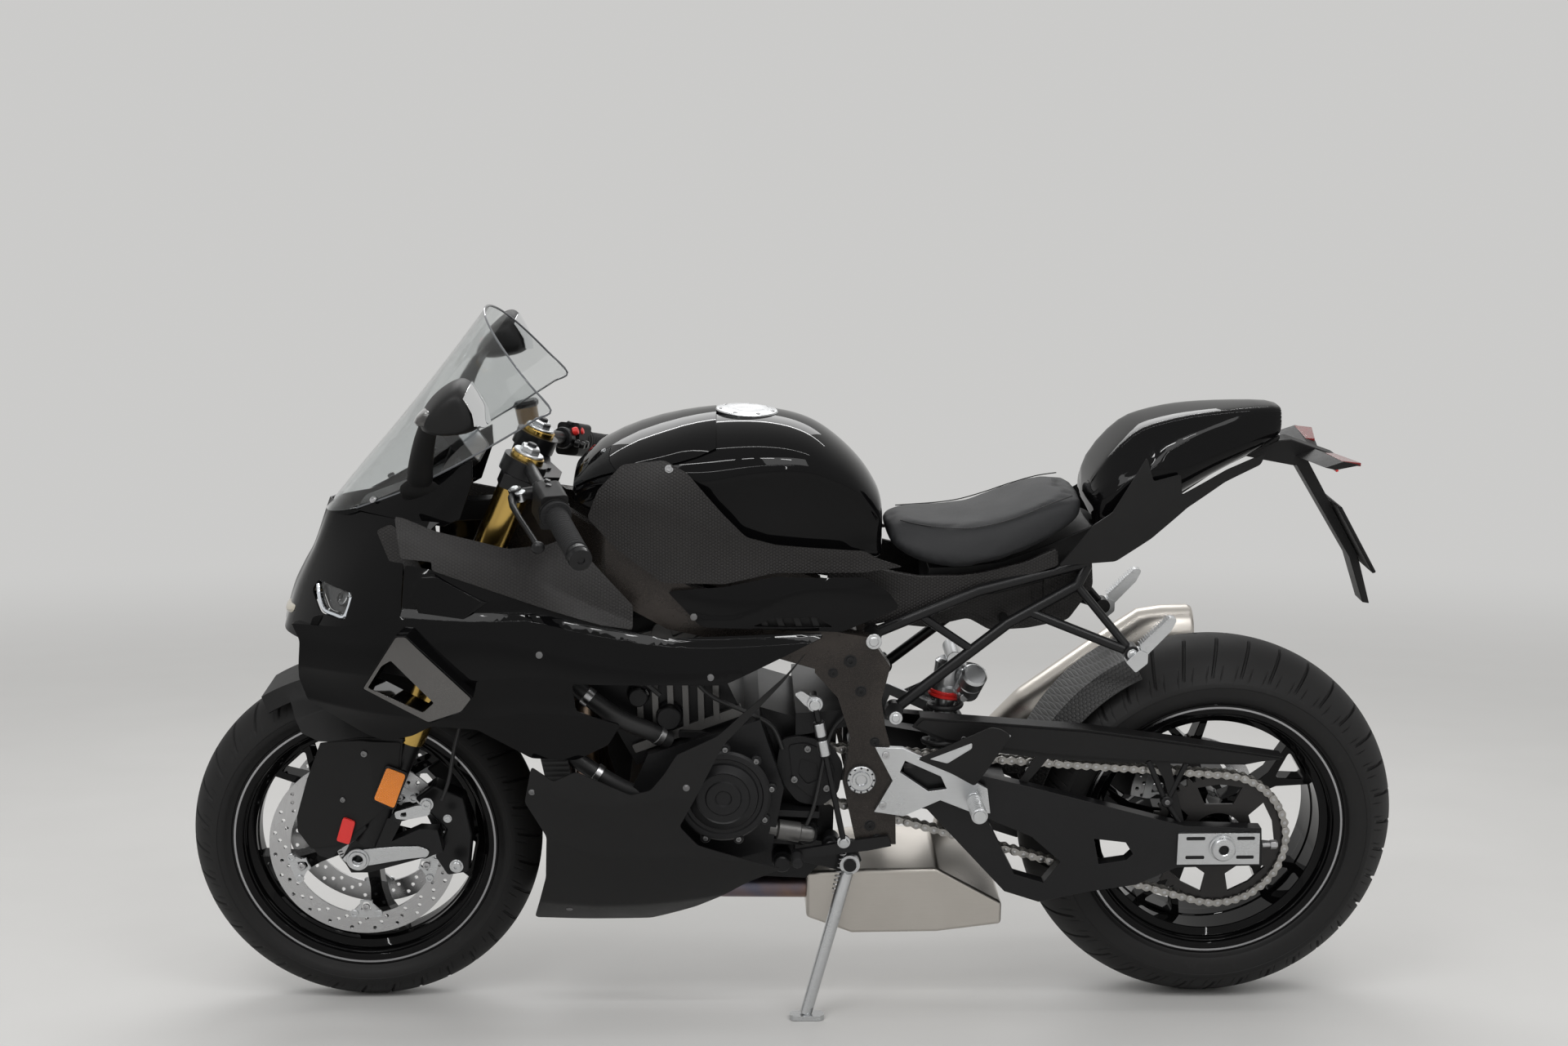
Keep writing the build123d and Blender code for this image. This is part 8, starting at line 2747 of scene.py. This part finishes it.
    def lamps(self) -> None:
        """The rear lamp strips on the blades, the red reflector and the blank plate."""
        lamp = Piece("rear_lamp_strips", "chassis", REAR_LAMP)
        for sign in (1, -1):
            lamp.loft([[(x, sign * y, z) for x, z in loop] for y, loop in (
                (60.0, [(-157, 985.5), (-173, 984.6), (-173, 978.6), (-158, 979)]),
                (146.0, [(-160, 990.4), (-191.4, 987), (-191.4, 981), (-162, 984)]))])
        lamp.done(bevel=0.8)
        red = Piece("rear_reflector", "chassis", RED)
        red.loft([[(x, y, z) for x, z in ((-178, 962), (-186, 946), (-190, 948), (-183, 964))] for y in (-34.0, 34.0)])
        red.done(bevel=0.8)
        plate = Piece("blank_plate", "chassis", BLANK)
        out, up = Vector((-0.863, 0, 0.504)), Vector((0.504, 0, 0.863))
        loop = rounded([(-71, -61), (71, -61), (71, 61), (-71, 61)], 8.0)
        centre = Vector((-187, 0, 884)) + out * 3.0 - up * 54.0
        plate.loft([ring_at(tuple(centre + out * d), (0, 1, 0), tuple(up), loop) for d in (0.2, 1.6)])
        plate.done(bevel=0.4)
        rim = Piece("plate_frame", "chassis", PLAIN_TRIM)
        for a, b in ((0, 1), (1, 2), (2, 3), (3, 0)):
            corners = [centre + Vector((0, 1, 0)) * (u * 73.5) + up * (v * 63.5) + out * 1.0
                       for u, v in ((-1, -1), (1, -1), (1, 1), (-1, 1))]
            rim.rod(tuple(corners[a]), tuple(corners[b]), [(0.0, 2.4), (1.0, 2.4)], 10)
        rim.done()

    def bolts(self) -> None:
        """The frame's bolts and bosses, the peg brackets' bolts and the stand's spring."""
        rows = [(632, 660, 0.9), (614, 608, 0.8), (596, 372, 0.8), (584, 350, 0.6), (590, 520, 0.7), (660, 640, 0.7)]
        spots = [Spot((x, self.frame_out, z), (0, 1, 0), size) for x, z, size in rows]
        repeat("frame_bolts", "chassis", CAST, screw_part(8.0, 4.0, 0.55, 12.0), both_sides(spots))
        boss = Piece("subframe_bolts", "chassis", MACHINED)
        for sign in (1, -1):
            for x, z, r in ((594, 694, 13.0), (556, 562, 11.0), (167, 667, 9.0)):
                y = sign * (self.frame_out if x > 200 else 152.0)
                boss.rod((x, y, z), (x, y + sign * 6.0, z), [(0.0, r), (0.7, r), (0.75, r * 0.6), (1.0, r * 0.55)], 28)
        boss.done(bevel=0.6, sharp=28)
        spring = Piece("stand_spring", "chassis", STEEL)
        spring.tube(coil(Vector((652, 132, 238)), Vector((634, 130, 330)), 5.0, 12, 11), 1.4, 6, 1)
        spring.done()

    @staticmethod
    def pegs() -> None:
        """The folded passenger pegs: foot block, slim blade and the row of grip ribs along its edge."""
        peg = Piece("folding_pegs", "chassis", MACHINED)
        peg.plate(rounded([(179, 656), (157, 677), (143, 671), (143, 654), (162, 638)], 3.0), 139.0, 163.0)
        peg.plate(rounded([(153, 668), (156, 684), (109, 731), (99, 730), (98, 725), (106, 708), (139, 672),
                           (146, 664)],
                          3.0), 143.0, 159.0)
        ribs, run, slope = 15, 47.0, math.sqrt(0.5)
        for k in range(ribs):
            x, z = 157 - run * (k + 0.5) / ribs, 683 + run * (k + 0.5) / ribs
            peg.prism([(x + (n - a) * slope, z + (n + a) * slope) for n, a in ((-2.0, -0.95), (2.2, -0.7), (2.2, 0.7),
                                                                              (-2.0, 0.95))], 139.5, 162.5)
        peg.mirror().done(replaces=["passenger_pegs"], bevel=0.7, sharp=28)

    @staticmethod
    def end_can() -> None:
        """The short end can, bent level at its mouth, with its link pipe."""
        can = Piece("exhaust_end_can", "chassis", SILENCER)
        rows = []
        for (x, z), tilt, wide, tall in (
                ((352, 376), 55.0, 32.0, 40.0), ((274, 430), 55.0, 46.0, 60.0), ((262, 438), 55.0, 48.0, 62.0),
                ((98, 561), 55.0, 46.0, 60.0), ((72, 579), 72.0, 46.0, 62.0), ((48, 584), 90.0, 46.0, 61.0),
                ((-1, 585), 90.0, 46.0, 61.0), ((-8, 585), 90.0, 44.0, 58.0), ((-8, 585), 90.0, 34.0, 45.0),
                ((14, 585), 90.0, 32.0, 43.0), ((16, 585), 90.0, 20.0, 26.0), ((-4, 585), 90.0, 19.0, 25.0),
                ((-4, 585), 90.0, 17.0, 23.0), ((60, 585), 90.0, 16.0, 22.0)):
            c, s = math.cos(math.radians(tilt)), math.sin(math.radians(tilt))
            rows.append([(x + c * tall * v, -206.0 + wide * u, z + s * tall * v) for u, v in circle(56)])
        can.loft(rows)
        can.tube([(440, -100.3, 214), (440, -156, 214), (408, -186, 300), (352, -199, 374)], 24.0, 32, 8)
        can.done(replaces=["end_can"], sharp=24)


ASSEMBLIES: tuple[Callable[[], object], ...] = (
    front_wheel, rear_wheel, SidePanels, Winglets, Nose, Tank, Saddle, Machinery, Chain, FrontEnd, Mirrors,
    Cockpit, PowerUnit, RearFittings,
)


def main() -> None:
    """Builds every piece, then the studio round them."""
    logging.basicConfig(level=logging.INFO, format="%(message)s")
    bpy.context.scene.view_settings.view_transform = "Standard"
    dress_nodes()
    for maker in ASSEMBLIES:
        part = maker()
        part.build()
        LOG.info("%s built", getattr(part, "name", type(part).__name__))
    Studio().build()


if __name__ == "__main__":
    main()
